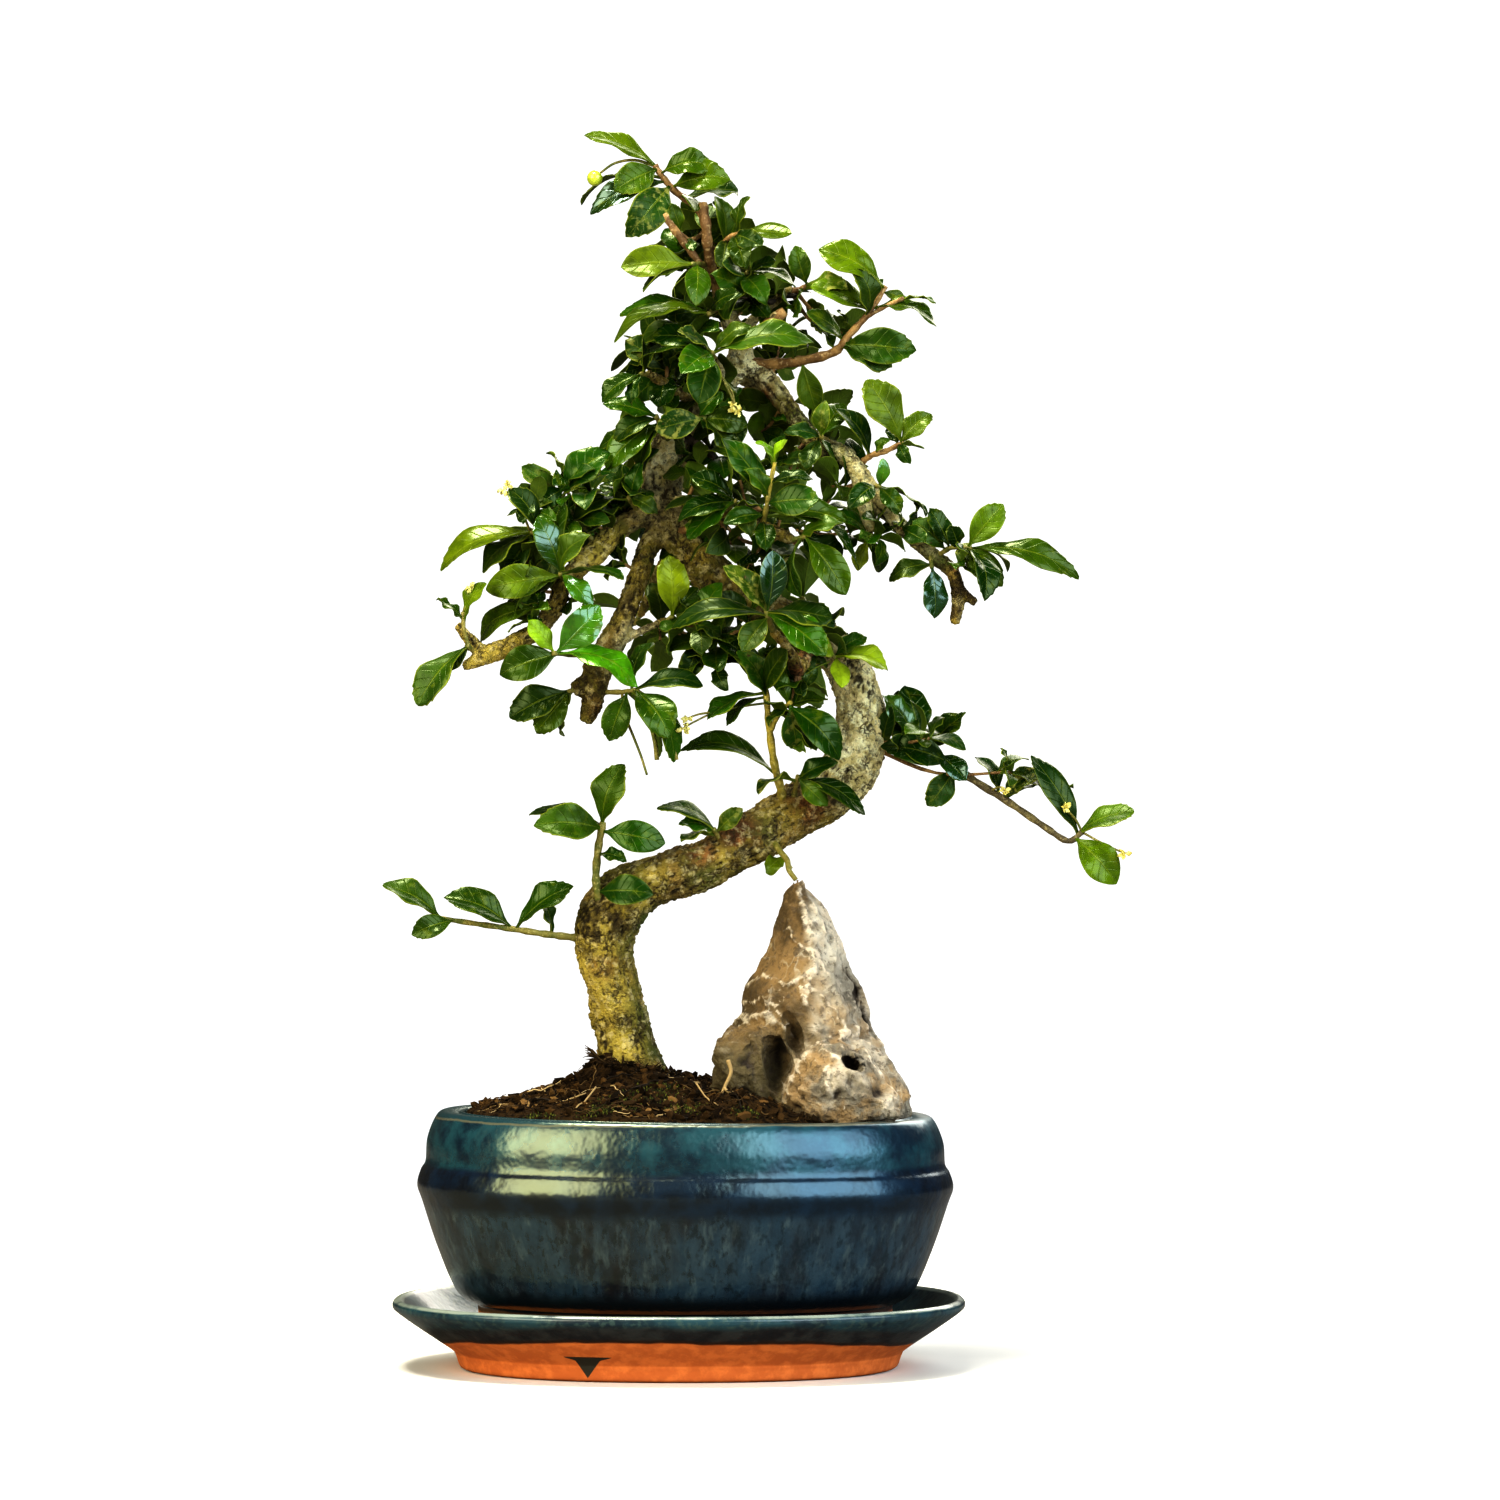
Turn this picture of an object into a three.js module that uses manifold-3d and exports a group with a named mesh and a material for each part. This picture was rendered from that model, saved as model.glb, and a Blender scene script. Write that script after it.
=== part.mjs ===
// A fukien tea bonsai in a glazed oval pot that stands on its saucer.
// Millimetres, +Z up, the front faces -Y. The origin is the middle of the saucer's flat underside.
import * as THREE from "three";
import { mergeVertices } from "three/addons/utils/BufferGeometryUtils.js";
import Module from "manifold-3d";

const wasm = await Module();
wasm.setup();

// Driving sizes of the pot, the saucer and what they hold
const SEAT_GAP = 0.3; // between pieces that rest on each other
const HOLE_GAP = 0.36; // round what stands in a hole, and between a stem's foot and the wood it grows from
const OVAL_POWER = 2.3; // a superellipse, a little squarer than an ellipse
const POT_MIDDLE_X = 2.2;
const POT_DEPTH_SHARE = 0.77; // depth for each millimetre of length
const SAUCER_DEPTH_SHARE = 0.78;
const SAUCER_FLOOR_Z = 9;
const POT_FLOOR_Z = 29;
const POT_HALF_LENGTH = 91;
const POT_TOP_Z = 86;
const POT_WARP = 1.2; // the fired rim stands this much higher at the left end, and lower at the right
const DRAIN_HOLE_X = 38;
const DRAIN_HOLE_RADIUS = 6;
const SCREEN_SIDE = 24;
const SCREEN_THICKNESS = 1.2;
const SCREEN_SLOT = { long: 6, wide: 3, stepX: 4.6, stepY: 3.4 };
const DRILL_SIDES = 10;
const WALL_SIDES = 28; // straight runs round the oval

// Half-length against height, from the middle of the underside round the rim to the middle of the inside
const SAUCER_PROFILE = [
  [72, 0], [74.4, 0.9], [75.8, 4.6], [77.6, 6.8], [88, 13.6], [96.2, 18.7],
  [97.2, 20.9], [95.4, 22.3], [92.8, 21], [84, 13.2], [75, SAUCER_FLOOR_Z],
];
const POT_PROFILE = [
  [60, 14.5], [61.5, SAUCER_FLOOR_Z + SEAT_GAP], [69.5, SAUCER_FLOOR_Z + SEAT_GAP], [70.5, 21.5],
  [73, 22.6], [78.2, 27], [84.3, 41.3], [89.2, 56], [91, 61.6], [89.8, 66.5], [88.2, 69.5],
  [87.6, 77], [84.8, 84], [82, POT_TOP_Z], [77, POT_TOP_Z - 0.6], [75.2, 83], [70, 45], [63, POT_FLOOR_Z],
];
const SOIL_BODY = [[62.5, POT_FLOOR_Z + SEAT_GAP], [69.5, 45], [74.6, 82]];
const SOIL_EDGE_Z = 83.6;
const SOIL_RING_SHARES = [1, 0.86, 0.6, 0.32]; // of the soil's half-length, from its edge to the mound
const SOIL_RISE = 1.6; // of the soil from its edge to its middle, besides the mound
const CRUMB = 1.8; // how uneven the soil is
const MOUND = { x: -8, height: 15.5, spreadX: 33, spreadY: 30 };

// The tree is set out from the front view: [pixel across, pixel down, depth in mm, half-width in pixels].
// The eye is level with the middle of the trunk and looks along +Y.
const MM_PER_PIXEL = 0.34; // at depth 0
const EYE_DISTANCE = 2040;
const EYE_PIXEL = { across: 750, down: 765 };
const ORIGIN_PIXEL = { across: 679, down: 1365.6 };

const TRUNK_SIDES = 8;
const THICK_LIMB = 8; // pixels of half-width past which a limb has six sides, not four
const TRUNK_LINE = [
  [646, 1160, 4, 42], [642, 1122, 3, 42], [637, 1088, 2, 36], [628, 1052, 1, 28.5], [620, 1020, 0, 27],
  [611, 985, -2, 26], [605, 955, -4, 27], [608, 922, -6, 30], [627, 896, -7, 29], [655, 881, -7, 25],
  [700, 865, -5, 23], [735, 847, -2, 24], [765, 830, 2, 26], [800, 810, 6, 26], [833, 788, 9, 28],
  [854, 761, 11, 28], [862, 733, 12, 26], [860, 704, 12, 23], [852, 677, 11, 22], [836, 654, 9, 21],
  [811, 634, 6, 20.5], [780, 617, 3, 20], [750, 602, 1, 19.5], [722, 584, 0, 19], [699, 563, 0, 18.5],
  [681, 541, 1, 18], [668, 517, 3, 18.5], [662, 493, 4, 20], [664, 468, 5, 20], [672, 446, 6, 19],
  [684, 425, 6, 16], [702, 402, 6, 14], [724, 381, 6, 13], [740, 360, 6, 13], [738, 338, 6, 11],
  [727, 312, 5, 9], [718, 286, 4, 7.5], [711, 258, 3, 6.5], [708, 244, 3, 6],
];
const LIMB_LINES = {
  rightLimb: [
    [740, 362, 6, 10], [762, 376, 4, 11], [784, 402, 0, 10.5], [802, 428, -4, 10.5], [818, 446, -7, 10],
    [845, 456, -9, 9.5], [863, 478, -11, 9.5], [884, 508, -13, 9], [911, 535, -14, 8],
    [934, 556, -15, 7.5], [953, 572, -16, 7], [958, 598, -17, 6.5], [955, 624, -18, 5],
  ],
  rightLimbStub: [[956, 588, -17, 5.5], [976, 603, -17, 4]],
  rightLimbKnot: [[860, 482, -11, 8], [867, 508, -10, 9], [870, 532, -9, 7]],
  leftLimb: [
    [668, 517, 3, 12], [640, 516, -3, 12], [615, 532, -8, 11.5], [597, 552, -12, 11], [580, 566, -15, 10],
    [563, 582, -18, 9], [556, 604, -20, 9], [540, 627, -22, 9], [512, 645, -24, 9.5],
    [485, 655, -25, 9], [463, 667, -26, 4.5],
  ],
  leftLimbFork: [[484, 654, -25, 7], [471, 641, -25, 6], [457, 625, -25, 4.5]],
  hangingLimb: [
    [664, 528, 3, 13], [648, 548, -3, 13], [640, 570, -7, 12], [632, 595, -10, 12], [622, 622, -12, 13],
    [608, 650, -13, 16], [596, 675, -14, 17], [592, 700, -14, 13], [585, 722, -14, 8],
  ],
  hangingLimbKnob: [[598, 676, -14, 10], [573, 690, -16, 7]],
  hangingLimbSpur: [[622, 640, -12, 5], [650, 627, -14, 4], [668, 620, -15, 4.5]],
  frontLimb: [
    [664, 500, 4, 10], [690, 505, -10, 9], [725, 515, -22, 8], [765, 528, -30, 7], [793, 540, -33, 5.5],
  ],
  frontLowLimb: [
    [811, 634, 6, 11], [803, 652, -8, 11], [797, 668, -18, 9], [790, 652, -26, 5.5], [772, 630, -29, 4.5],
  ],
  frontTopLimb: [[724, 381, 6, 8], [717, 369, -10, 6.5], [713, 358, -22, 4.5]],
  leftTopLimb: [[702, 402, 6, 7], [680, 392, -6, 6.5], [660, 381, -16, 5.5], [647, 373, -21, 4]],
  rightTopStub: [[738, 338, 6, 6], [757, 316, 0, 5.5], [776, 300, -4, 5], [793, 288, -5, 4]],
  cutStub: [[740, 345, 3, 5], [760, 330, -8, 4.5], [777, 313, -14, 4]],
  backLeftLimb: [[664, 470, 5, 9], [648, 462, 22, 8], [632, 470, 38, 6.5], [618, 484, 50, 4.5]],
  backRightLimb: [[735, 370, 6, 9], [762, 387, 22, 8], [786, 406, 37, 6.5], [804, 429, 48, 4.5]],
  backLowLimb: [[681, 541, 1, 9], [668, 562, 20, 8], [652, 590, 36, 6.5], [640, 615, 48, 4.5]],
  backBendLimb: [[836, 654, 9, 9], [832, 640, 26, 8], [820, 622, 42, 6], [808, 606, 54, 4.5]],
  backMiddleLimb: [[780, 617, 3, 9], [772, 590, 20, 8], [766, 560, 36, 6], [756, 532, 48, 4.5]],
  backTopLimb: [[727, 312, 5, 7], [734, 300, 18, 5.5], [738, 284, 31, 4]],
};

// The limestone pinnacle, from its foot in the soil to its tip:
// [pixel down, left edge, right edge, front depth, back depth]
const STONE_LEVELS = [
  [1160, 722, 880, -28, 22], [1128, 714, 893, -32, 26], [1112, 711, 898, -33, 27], [1092, 711, 897, -33, 26],
  [1070, 714, 889, -32, 24], [1050, 722, 884, -31, 22], [1030, 731, 880, -30, 20], [1013, 738, 874, -28, 18],
  [990, 741, 866, -26, 16], [970, 751, 856, -23, 14], [950, 763, 847, -20, 12], [927, 773, 836, -17, 9],
  [908, 778, 826, -14, 7], [892, 783, 813, -11, 4], [880, 791, 803, -7, 0],
];
const STONE_SIDES = 14;
const LUMP_CRAG = 0.3;
const LARGE_LUMP = 9; // mm of half-size past which a lump or pit is rounder
const STONE_MIDDLE_Y = -6;
const STONE_SHRINK = 0.94; // the rings are drawn in by this where they don't set the outline
const STONE_CRAG = 0.14; // how uneven they are
const STONE_LEVEL_LIFT = 2.4;
// Hollows in its sides: the way each faces in radians from +X, its half-width, the pixels that it runs
// between, and its depth
const STONE_HOLLOWS = [
  { facing: 5.85, wide: 0.3, from: 940, to: 1040, depth: 0.22 },
  { facing: 3.75, wide: 0.3, from: 900, to: 1010, depth: 0.14 },
  { facing: 1.7, wide: 0.4, from: 960, to: 1100, depth: 0.22 },
];
// Masses at its foot, and pits and clefts in its face: the middle in the front view, the half-sizes in mm,
// and the lean of the top to the right in radians
const STONE_MASSES = [
  { at: [832, 1092, -24], half: [20, 18, 20], lean: 0 },
  { at: [752, 1072, -17], half: [15.5, 19, 18], lean: 0.15 },
];
const STONE_PITS = [
  { at: [778, 1066, -31], half: [4.6, 11, 11.5], lean: -0.15 },
  { at: [795, 1038, -28], half: [2.6, 9, 9.2], lean: -0.36 },
  { at: [851, 1063, -36], half: [4.4, 7, 3], lean: 0.7 },
  { at: [878, 1000, -14], half: [4.5, 9, 9], lean: -0.45 },
];

// Leaves
const BLADE_THICKNESS = 0.76;
const BLADE_ASPECT = 0.56; // width for each millimetre of length
const BLADE_WIDTH_MOST = 12.6;
const BLADE_FOLD = 0.22; // rise of the edges for each millimetre from the midrib
const BLADE_ARCH = 0.1; // rise of the middle for each millimetre of length
const BLADE_WIDTH_SPREAD = 0.2; // how much the widths differ
const BLADE_ARCH_SPREAD = 0.8;
const STEM_SIDES = 3;
const BUD_DEPTH = 0.5; // a blade starts this far from the middle of its stem, inside it
const BUD_STEP = 0.8; // spacing of the buds of a rosette along its stem
// The outline down one edge of a blade, for lengths up to a limit:
// [share of the length, share of the half-width]
const BLADE_EDGES = [
  { upTo: 19, edge: [[0.6, 1]] },
  { upTo: 26, edge: [[0.56, 1], [0.86, 0.66]] },
  { upTo: 99, edge: [[0.54, 1], [0.84, 0.74], [0.88, 0.44]] },
];
const RIB_SHARE = 0.56; // where the midrib is highest
const LEAF_GAP = 0.5; // least gap to another spray
const SAME_SPRAY_GAP = 0.2; // least gap between two blades of a spray, where there is room for it
const WOOD_GAP = 0.8; // least gap of a blade to the wood, past its bud
const OUTER_SHARE = 0.25; // share of its length by which a blade is past its bud
const GOLDEN_ANGLE = 2.399963;
// Leaves that grow by rule: their length, how much it differs, where on the stem they start, how far they
// lean out from it at first and at its tip, how much they lift, and how much their faces turn along the stem
const RULE_LEAF = {
  length: 20, spread: 0.3, firstShare: 0.5, firstLean: 88, lastLean: 38, lift: 0.22, faceAlong: 0.45,
};
// Where a leaf would touch another spray or the wood, its tip is tried nearer or further by these
// millimetres, and a leaf by rule is turned round its stem by these radians
const DEPTH_TRIES = [0, -3, 3, -6, 6, -9, 9, -12, 12, -15, 15];
const TURN_TRIES = [0, 0.4, -0.4, 0.8, -0.8, 1.2, -1.2];

// Each spray is a list of twigs. A twig has the points of its stem, its two end half-widths in pixels, its
// leaves as [share of the stem, tip across, tip down, tip depth from the bud, turn to the front in degrees],
// and how many more leaves grow round it by rule.
const SPRAYS = {
  apex: [
    {
      stem: [[708, 246, 3], [706, 228, 2], [697, 208, 1], [676, 192, 0], [662, 176, -1], [655, 165, -1]],
      ends: [5.5, 3.5],
      leaves: [
        [1, 585, 134, -4, 35], [0.95, 614, 190, -9, 62], [0.8, 590, 212, -12, 32], [0.75, 630, 233, -14, 70],
        [0.85, 579, 196, -2, 12], [0.72, 728, 176, -7, 48], [0.9, 712, 163, -5, 58], [0.6, 695, 211, -12, 28],
        [0.55, 738, 192, 9, 40],
      ],
    },
    { stem: [[706, 231, 2], [690, 240, -5], [675, 228, -8], [661, 215, -10]], ends: [3.2, 2.4],
      leaves: [[0.6, 671, 203, -3, 60], [0.45, 693, 252, -6, 65]] },
  ],
  upperRight: [
    { stem: [[712, 262, 3], [726, 240, -6], [742, 232, -12]], ends: [4, 2.8],
      leaves: [
        [0.5, 718, 196, -3, 50], [0.9, 748, 196, -2, 60], [1, 792, 236, -4, 18],
        [1, 762, 246, -9, 60], [0.8, 745, 268, -10, 70], [0.6, 722, 268, -12, 70],
      ] },
  ],
  upperLeft: [
    { stem: [[712, 264, 3], [702, 264, -6], [692, 264, -13]], ends: [4, 2.8],
      leaves: [[1, 621, 266, -3, 55], [1, 642, 289, -9, 22], [0.8, 696, 304, -14, 80]] },
  ],
  leftShelf: [
    { stem: [[722, 300, 4], [714, 310, -10], [708, 314, -17]], ends: [4, 2.8],
      leaves: [
        [1, 620, 310, -2, 48], [1, 614, 332, -9, 14], [0.8, 738, 292, -10, 40],
      ] },
  ],
  frontRosette: [
    { stem: [[713, 358, -20], [712, 352, -30]], ends: [4, 2.8],
      leaves: [
        [1, 638, 359, -4, 28], [0.9, 652, 336, 2, 20], [1, 812, 335, -4, 24], [1, 748, 322, -3, 40],
        [1, 678, 330, -9, 35], [1, 699, 403, -8, 82], [1, 682, 372, -14, 62],
      ] },
  ],
  upperMiddle: [
    { stem: [[724, 300, 4], [738, 280, -4], [748, 272, -9]], ends: [3.6, 2.6],
      leaves: [
        [1, 796, 285, -4, 28], [1, 777, 262, -2, 55], [0.8, 724, 262, -10, 62], [1, 766, 300, -10, 50],
      ] },
  ],
  rightTop: [
    { stem: [[786, 293, -4], [800, 289, -6], [809, 284, -7]], ends: [3.6, 2.6],
      leaves: [
        [1, 795, 246, -4, 82], [1, 846, 284, -8, 32], [0.8, 800, 318, -9, 40], [1, 868, 305, -2, 24],
      ] },
  ],
  rightTopTwig: [
    { stem: [
        [742, 362, 6], [766, 364, 3], [800, 361, -2], [834, 352, -6], [848, 336, -8], [868, 314, -9],
        [886, 286, -10],
      ],
      ends: [7.5, 2.8],
      leaves: [
        [0.6, 916, 350, -6, 62], [0.58, 892, 369, -3, 42], [0.62, 806, 312, -7, 35], [0.55, 812, 325, 6, 30],
        [0.35, 816, 410, 3, 76], [0.3, 784, 332, -8, 30], [0.84, 812, 284, -5, 28], [0.86, 937, 318, -4, 42],
        [1, 818, 250, -2, 38], [1, 864, 273, 6, 14], [1, 905, 300, 3, 44], [0.8, 862, 270, -9, 62],
      ] },
    { stem: [[866, 317, -9], [886, 306, -11], [904, 298, -12]], ends: [2.8, 2.4],
      leaves: [[1, 936, 301, -2, 18]] },
  ],
  rightLimbTwig: [
    { stem: [[862, 462, -10], [872, 455, -12], [886, 451, -14], [904, 442, -16]], ends: [4, 2.8],
      leaves: [
        [1, 866, 380, -3, 80], [1, 930, 413, -2, 78], [0.95, 890, 427, 7, 60], [1, 924, 450, -4, 16],
        [0.9, 908, 462, -5, 78], [0.2, 838, 408, -3, 70], [0.35, 887, 438, -4, 55],
      ] },
  ],
  rightLimbTop: [
    { stem: [[816, 444, -7], [822, 436, -16]], ends: [3.4, 2.6],
      leaves: [[1, 824, 402, -5, 76], [1, 842, 404, 4, 62], [1, 786, 430, -5, 60], [0.9, 806, 470, -9, 60]] },
  ],
  rightLimbSide: [
    { stem: [[868, 486, -12], [880, 486, -20]], ends: [3.2, 2.6],
      leaves: [
        [1, 884, 460, -6, 82], [1, 901, 512, -4, 62], [1, 928, 513, 3, 18], [0.9, 850, 506, -10, 55],
      ] },
  ],
  rightLimbTip: [
    { stem: [[936, 557, -15], [950, 548, -19], [962, 547, -21], [976, 550, -22]], ends: [3.2, 2.6],
      leaves: [
        [0.3, 914, 520, -3, 48], [0.4, 930, 508, 4, 48], [0.6, 950, 524, -8, 62], [0.9, 1003, 504, -2, 82],
        [0.6, 1003, 583, -5, 52], [1, 1010, 566, 4, 28], [1, 1080, 573, -3, 27],
        [0.9, 990, 594, -9, 20],
      ] },
  ],
  rightLimbUnder: [
    { stem: [[930, 554, -15], [932, 568, -20]], ends: [3.2, 2.6],
      leaves: [[1, 935, 618, -3, 85], [1, 889, 577, -2, 68]] },
  ],
  rightLimbKnotLeaves: [
    { stem: [[869, 528, -9], [868, 541, -13]], ends: [3.2, 2.6],
      leaves: [[1, 857, 570, -3, 80], [1, 882, 572, 2, 62], [1, 836, 512, -6, 50]] },
  ],
  middleShoot: [
    { stem: [[762, 527, -29], [767, 505, -35], [770, 485, -38], [775, 462, -40]], ends: [3.4, 2.4],
      leaves: [
        [0.98, 788, 440, -3, 50], [0.95, 758, 440, 2, 50], [0.7, 812, 476, -2, 45], [0.45, 722, 438, -3, 70],
        [0.5, 746, 470, -8, 45], [0.4, 820, 500, -8, 55], [0.2, 864, 556, -3, 30], [0.1, 766, 548, -5, 76],
        [0.2, 724, 522, -6, 58], [0.3, 848, 520, 5, 42],
      ] },
  ],
  middleLeft: [
    { stem: [[724, 515, -22], [736, 500, -30]], ends: [3.4, 2.6],
      leaves: [
        [1, 690, 477, -3, 50], [1, 678, 516, -6, 55], [1, 764, 508, -9, 24],
        [1, 752, 536, -8, 66], [0.9, 688, 540, -4, 66],
      ] },
  ],
  middleRosette: [
    { stem: [[773, 631, -29], [766, 611, -37]], ends: [3.6, 2.8],
      leaves: [
        [1, 772, 550, -4, 84], [1, 722, 567, -3, 66], [1, 672, 621, -2, 46], [1, 742, 652, -8, 66],
        [1, 832, 621, -1, 26], [1, 826, 656, -7, 46],
      ] },
  ],
  bendShoot: [
    { stem: [[838, 656, 9], [834, 657, -6]], ends: [3.4, 2.8],
      leaves: [
        [1, 888, 664, -4, 38], [1, 866, 636, -2, 32], [1, 842, 688, -6, 50], [1, 800, 640, -7, 40],
      ] },
  ],
  trunkShoot: [
    { stem: [[784, 806, 2], [781, 790, -3], [774, 762, -9], [769, 725, -14], [766, 690, -17]],
      ends: [5.5, 3.6],
      leaves: [
        [1, 707, 719, -4, 24], [0.95, 726, 725, -7, 44], [1, 716, 634, -3, 70], [1, 742, 650, -8, 72],
        [0.98, 790, 650, -6, 50], [0.3, 684, 740, -3, 36],
      ] },
    { stem: [[770, 732, -13], [780, 712, -17], [791, 702, -21]], ends: [3.2, 2.6],
      leaves: [[1, 841, 757, -3, 70], [1, 828, 702, 2, 40], [1, 798, 752, 5, 76], [1, 770, 668, -9, 40]] },
  ],
  bendLowShoot: [
    { stem: [[792, 812, 6], [795, 790, -4], [798, 776, -9]], ends: [3.4, 2.6],
      leaves: [
        [1, 826, 805, -5, 66], [1, 865, 815, -2, 12], [1, 757, 791, -3, 16], [0.9, 838, 762, -7, 58],
      ] },
  ],
  frontLimbTip: [
    { stem: [[792, 540, -33], [806, 536, -38]], ends: [3.2, 2.6],
      leaves: [
        [1, 846, 595, -3, 52], [1, 840, 558, 4, 50], [1, 798, 597, -6, 24], [1, 842, 522, -8, 40],
      ] },
  ],
  leftRosette: [
    { stem: [[564, 581, -18], [560, 573, -27]], ends: [3.4, 2.8],
      leaves: [
        [1, 538, 517, -4, 70], [1, 562, 500, 3, 68], [1, 486, 588, -2, 66], [1, 514, 614, -9, 50],
        [1, 624, 574, -3, 28], [1, 592, 606, -7, 56], [0.9, 584, 535, -9, 50],
      ] },
  ],
  leftForeTwig: [
    { stem: [[578, 567, -15], [553, 546, -20], [530, 531, -23]], ends: [3.6, 2.8],
      leaves: [
        [1, 438, 562, -3, 18], [1, 480, 568, -5, 50], [0.9, 503, 578, 4, 50], [1, 510, 488, -3, 50],
        [0.45, 540, 590, -9, 60],
      ] },
  ],
  leftHighTwig: [
    { stem: [[600, 549, -11], [576, 520, -13], [557, 492, -15]], ends: [3.8, 2.8],
      leaves: [
        [1, 608, 451, -3, 46], [1, 521, 467, -2, 45], [0.95, 601, 475, -7, 42], [0.95, 512, 504, -6, 38],
        [0.5, 560, 540, -8, 60], [0.5, 608, 520, -8, 40],
      ] },
  ],
  leftInner: [
    { stem: [[640, 515, -3], [628, 497, -14]], ends: [3.2, 2.6],
      leaves: [
        [1, 657, 512, -5, 36], [1, 573, 514, -2, 30], [1, 600, 484, 3, 24], [1, 640, 462, -5, 50],
      ] },
  ],
  leftTop: [
    { stem: [[648, 374, -20], [640, 374, -25]], ends: [3, 2.6],
      leaves: [
        [1, 601, 400, -2, 32], [1, 630, 402, -6, 70],
        [1, 640, 338, -2, 30],
      ] },
  ],
  leftMiddle: [
    { stem: [[672, 446, 6], [662, 428, -8], [656, 416, -14]], ends: [3.8, 2.8],
      leaves: [
        [1, 603, 403, -2, 34], [1, 613, 438, -3, 66], [0.8, 606, 468, -6, 44], [0.8, 640, 470, -9, 50],
      ] },
    { stem: [[664, 432, -5], [690, 418, -14], [706, 418, -18]], ends: [3.2, 2.6],
      leaves: [[1, 655, 430, -4, 64], [1, 730, 452, -3, 60], [1, 748, 424, 3, 60], [1, 722, 392, -5, 60]] },
  ],
  rightLimbInner: [
    { stem: [[788, 410, -1], [776, 404, 10]], ends: [3.4, 2.8],
      leaves: [[1, 792, 452, -2, 80], [1, 734, 398, 2, 70], [1, 752, 440, 8, 60]] },
  ],
  youngShoot: [
    { stem: [[606, 652, -14], [580, 655, -26], [552, 653, -33]], ends: [3.4, 2.8],
      leaves: [[1, 527, 621, -3, 70], [1, 600, 607, -3, 66], [1, 640, 682, -2, 50], [1, 500, 673, -3, 56]] },
  ],
  leftEnd: [
    { stem: [[478, 655, -25], [466, 645, -29]], ends: [3.2, 2.6],
      leaves: [[1, 418, 706, -3, 60], [0.9, 446, 670, 4, 70]] },
    { stem: [[470, 650, -28], [464, 630, -30], [463, 612, -30]], ends: [2.6, 2.4],
      leaves: [[1, 436, 600, -2, 44], [1, 484, 582, -1, 44]] },
  ],
  leftUnder: [
    { stem: [[550, 614, -21], [542, 606, -28]], ends: [3.2, 2.6],
      leaves: [[1, 474, 638, -2, 24], [1, 508, 596, -5, 50]] },
  ],
  hangingLeft: [
    { stem: [[580, 688, -16], [567, 692, -19]], ends: [3.2, 2.6],
      leaves: [[1, 510, 719, -2, 40], [1, 536, 733, -4, 60], [0.8, 560, 736, 6, 50]] },
  ],
  hangingRight: [
    { stem: [[600, 692, -14], [622, 692, -20], [636, 690, -22]], ends: [3.2, 2.6],
      leaves: [
        [1, 702, 681, -2, 46], [0.8, 609, 740, -4, 62], [1, 676, 761, -2, 32], [0.95, 657, 758, 5, 22],
        [1, 670, 733, -6, 60], [0.9, 648, 640, 4, 14],
      ] },
  ],
  hangingSpur: [
    { stem: [[666, 621, -15], [673, 616, -18]], ends: [3, 2.6],
      leaves: [[1, 668, 555, -3, 60], [1, 698, 588, 3, 70]] },
  ],
  lowLeftTwig: [
    { stem: [
        [596, 940, -4], [570, 937, -9], [545, 934, -13], [513, 929, -15], [478, 924, -17], [438, 918, -18],
      ],
      ends: [5, 3],
      leaves: [
        [1, 382, 886, -2, 64], [0.9, 412, 934, -5, 50], [0.55, 444, 897, -4, 52], [0.53, 572, 885, -3, 46],
        [0.3, 540, 897, -5, 40],
      ] },
  ],
  lowShoot: [
    { stem: [[606, 922, -6], [600, 904, -12], [596, 880, -14], [598, 850, -15], [603, 822, -16]],
      ends: [5, 4.2],
      leaves: [
        [1, 622, 764, -3, 84], [1, 531, 808, -2, 46], [0.95, 539, 822, -7, 52], [1, 665, 843, -3, 56],
        [0.7, 626, 859, -5, 76], [0.35, 650, 892, -7, 60],
      ] },
  ],
  trunkRiseShoot: [
    { stem: [[722, 851, -3], [718, 838, -9], [714, 829, -13]], ends: [3.2, 2.6],
      leaves: [[1, 658, 806, -2, 12], [1, 679, 823, -6, 22], [1, 742, 808, -3, 60], [1, 681, 840, -8, 20]] },
  ],
  lowRightBranch: [
    { stem: [
        [860, 733, 12], [885, 728, 14], [908, 737, 12], [940, 757, 9], [975, 781, 6], [1010, 803, 4],
        [1045, 827, 2], [1068, 841, 1], [1082, 832, 0],
      ],
      ends: [6, 3.4],
      leaves: [
        [0.22, 881, 696, -4, 70], [0.25, 905, 686, 3, 60], [0.3, 968, 714, -4, 66], [0.33, 966, 781, -9, 66],
        [0.4, 884, 744, -7, 60], [0.42, 928, 806, -4, 80], [0.62, 977, 756, 3, 18], [0.64, 1043, 769, -3, 64],
        [0.64, 1074, 790, 3, 18], [1, 1030, 756, -2, 56], [1, 1135, 813, -2, 36],
        [1, 1117, 883, -3, 60],
      ] },
  ],
  pendantShoot: [
    { stem: [[776, 842, 0], [783, 855, -3], [791, 869, -3]], ends: [2.8, 2.4],
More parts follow.
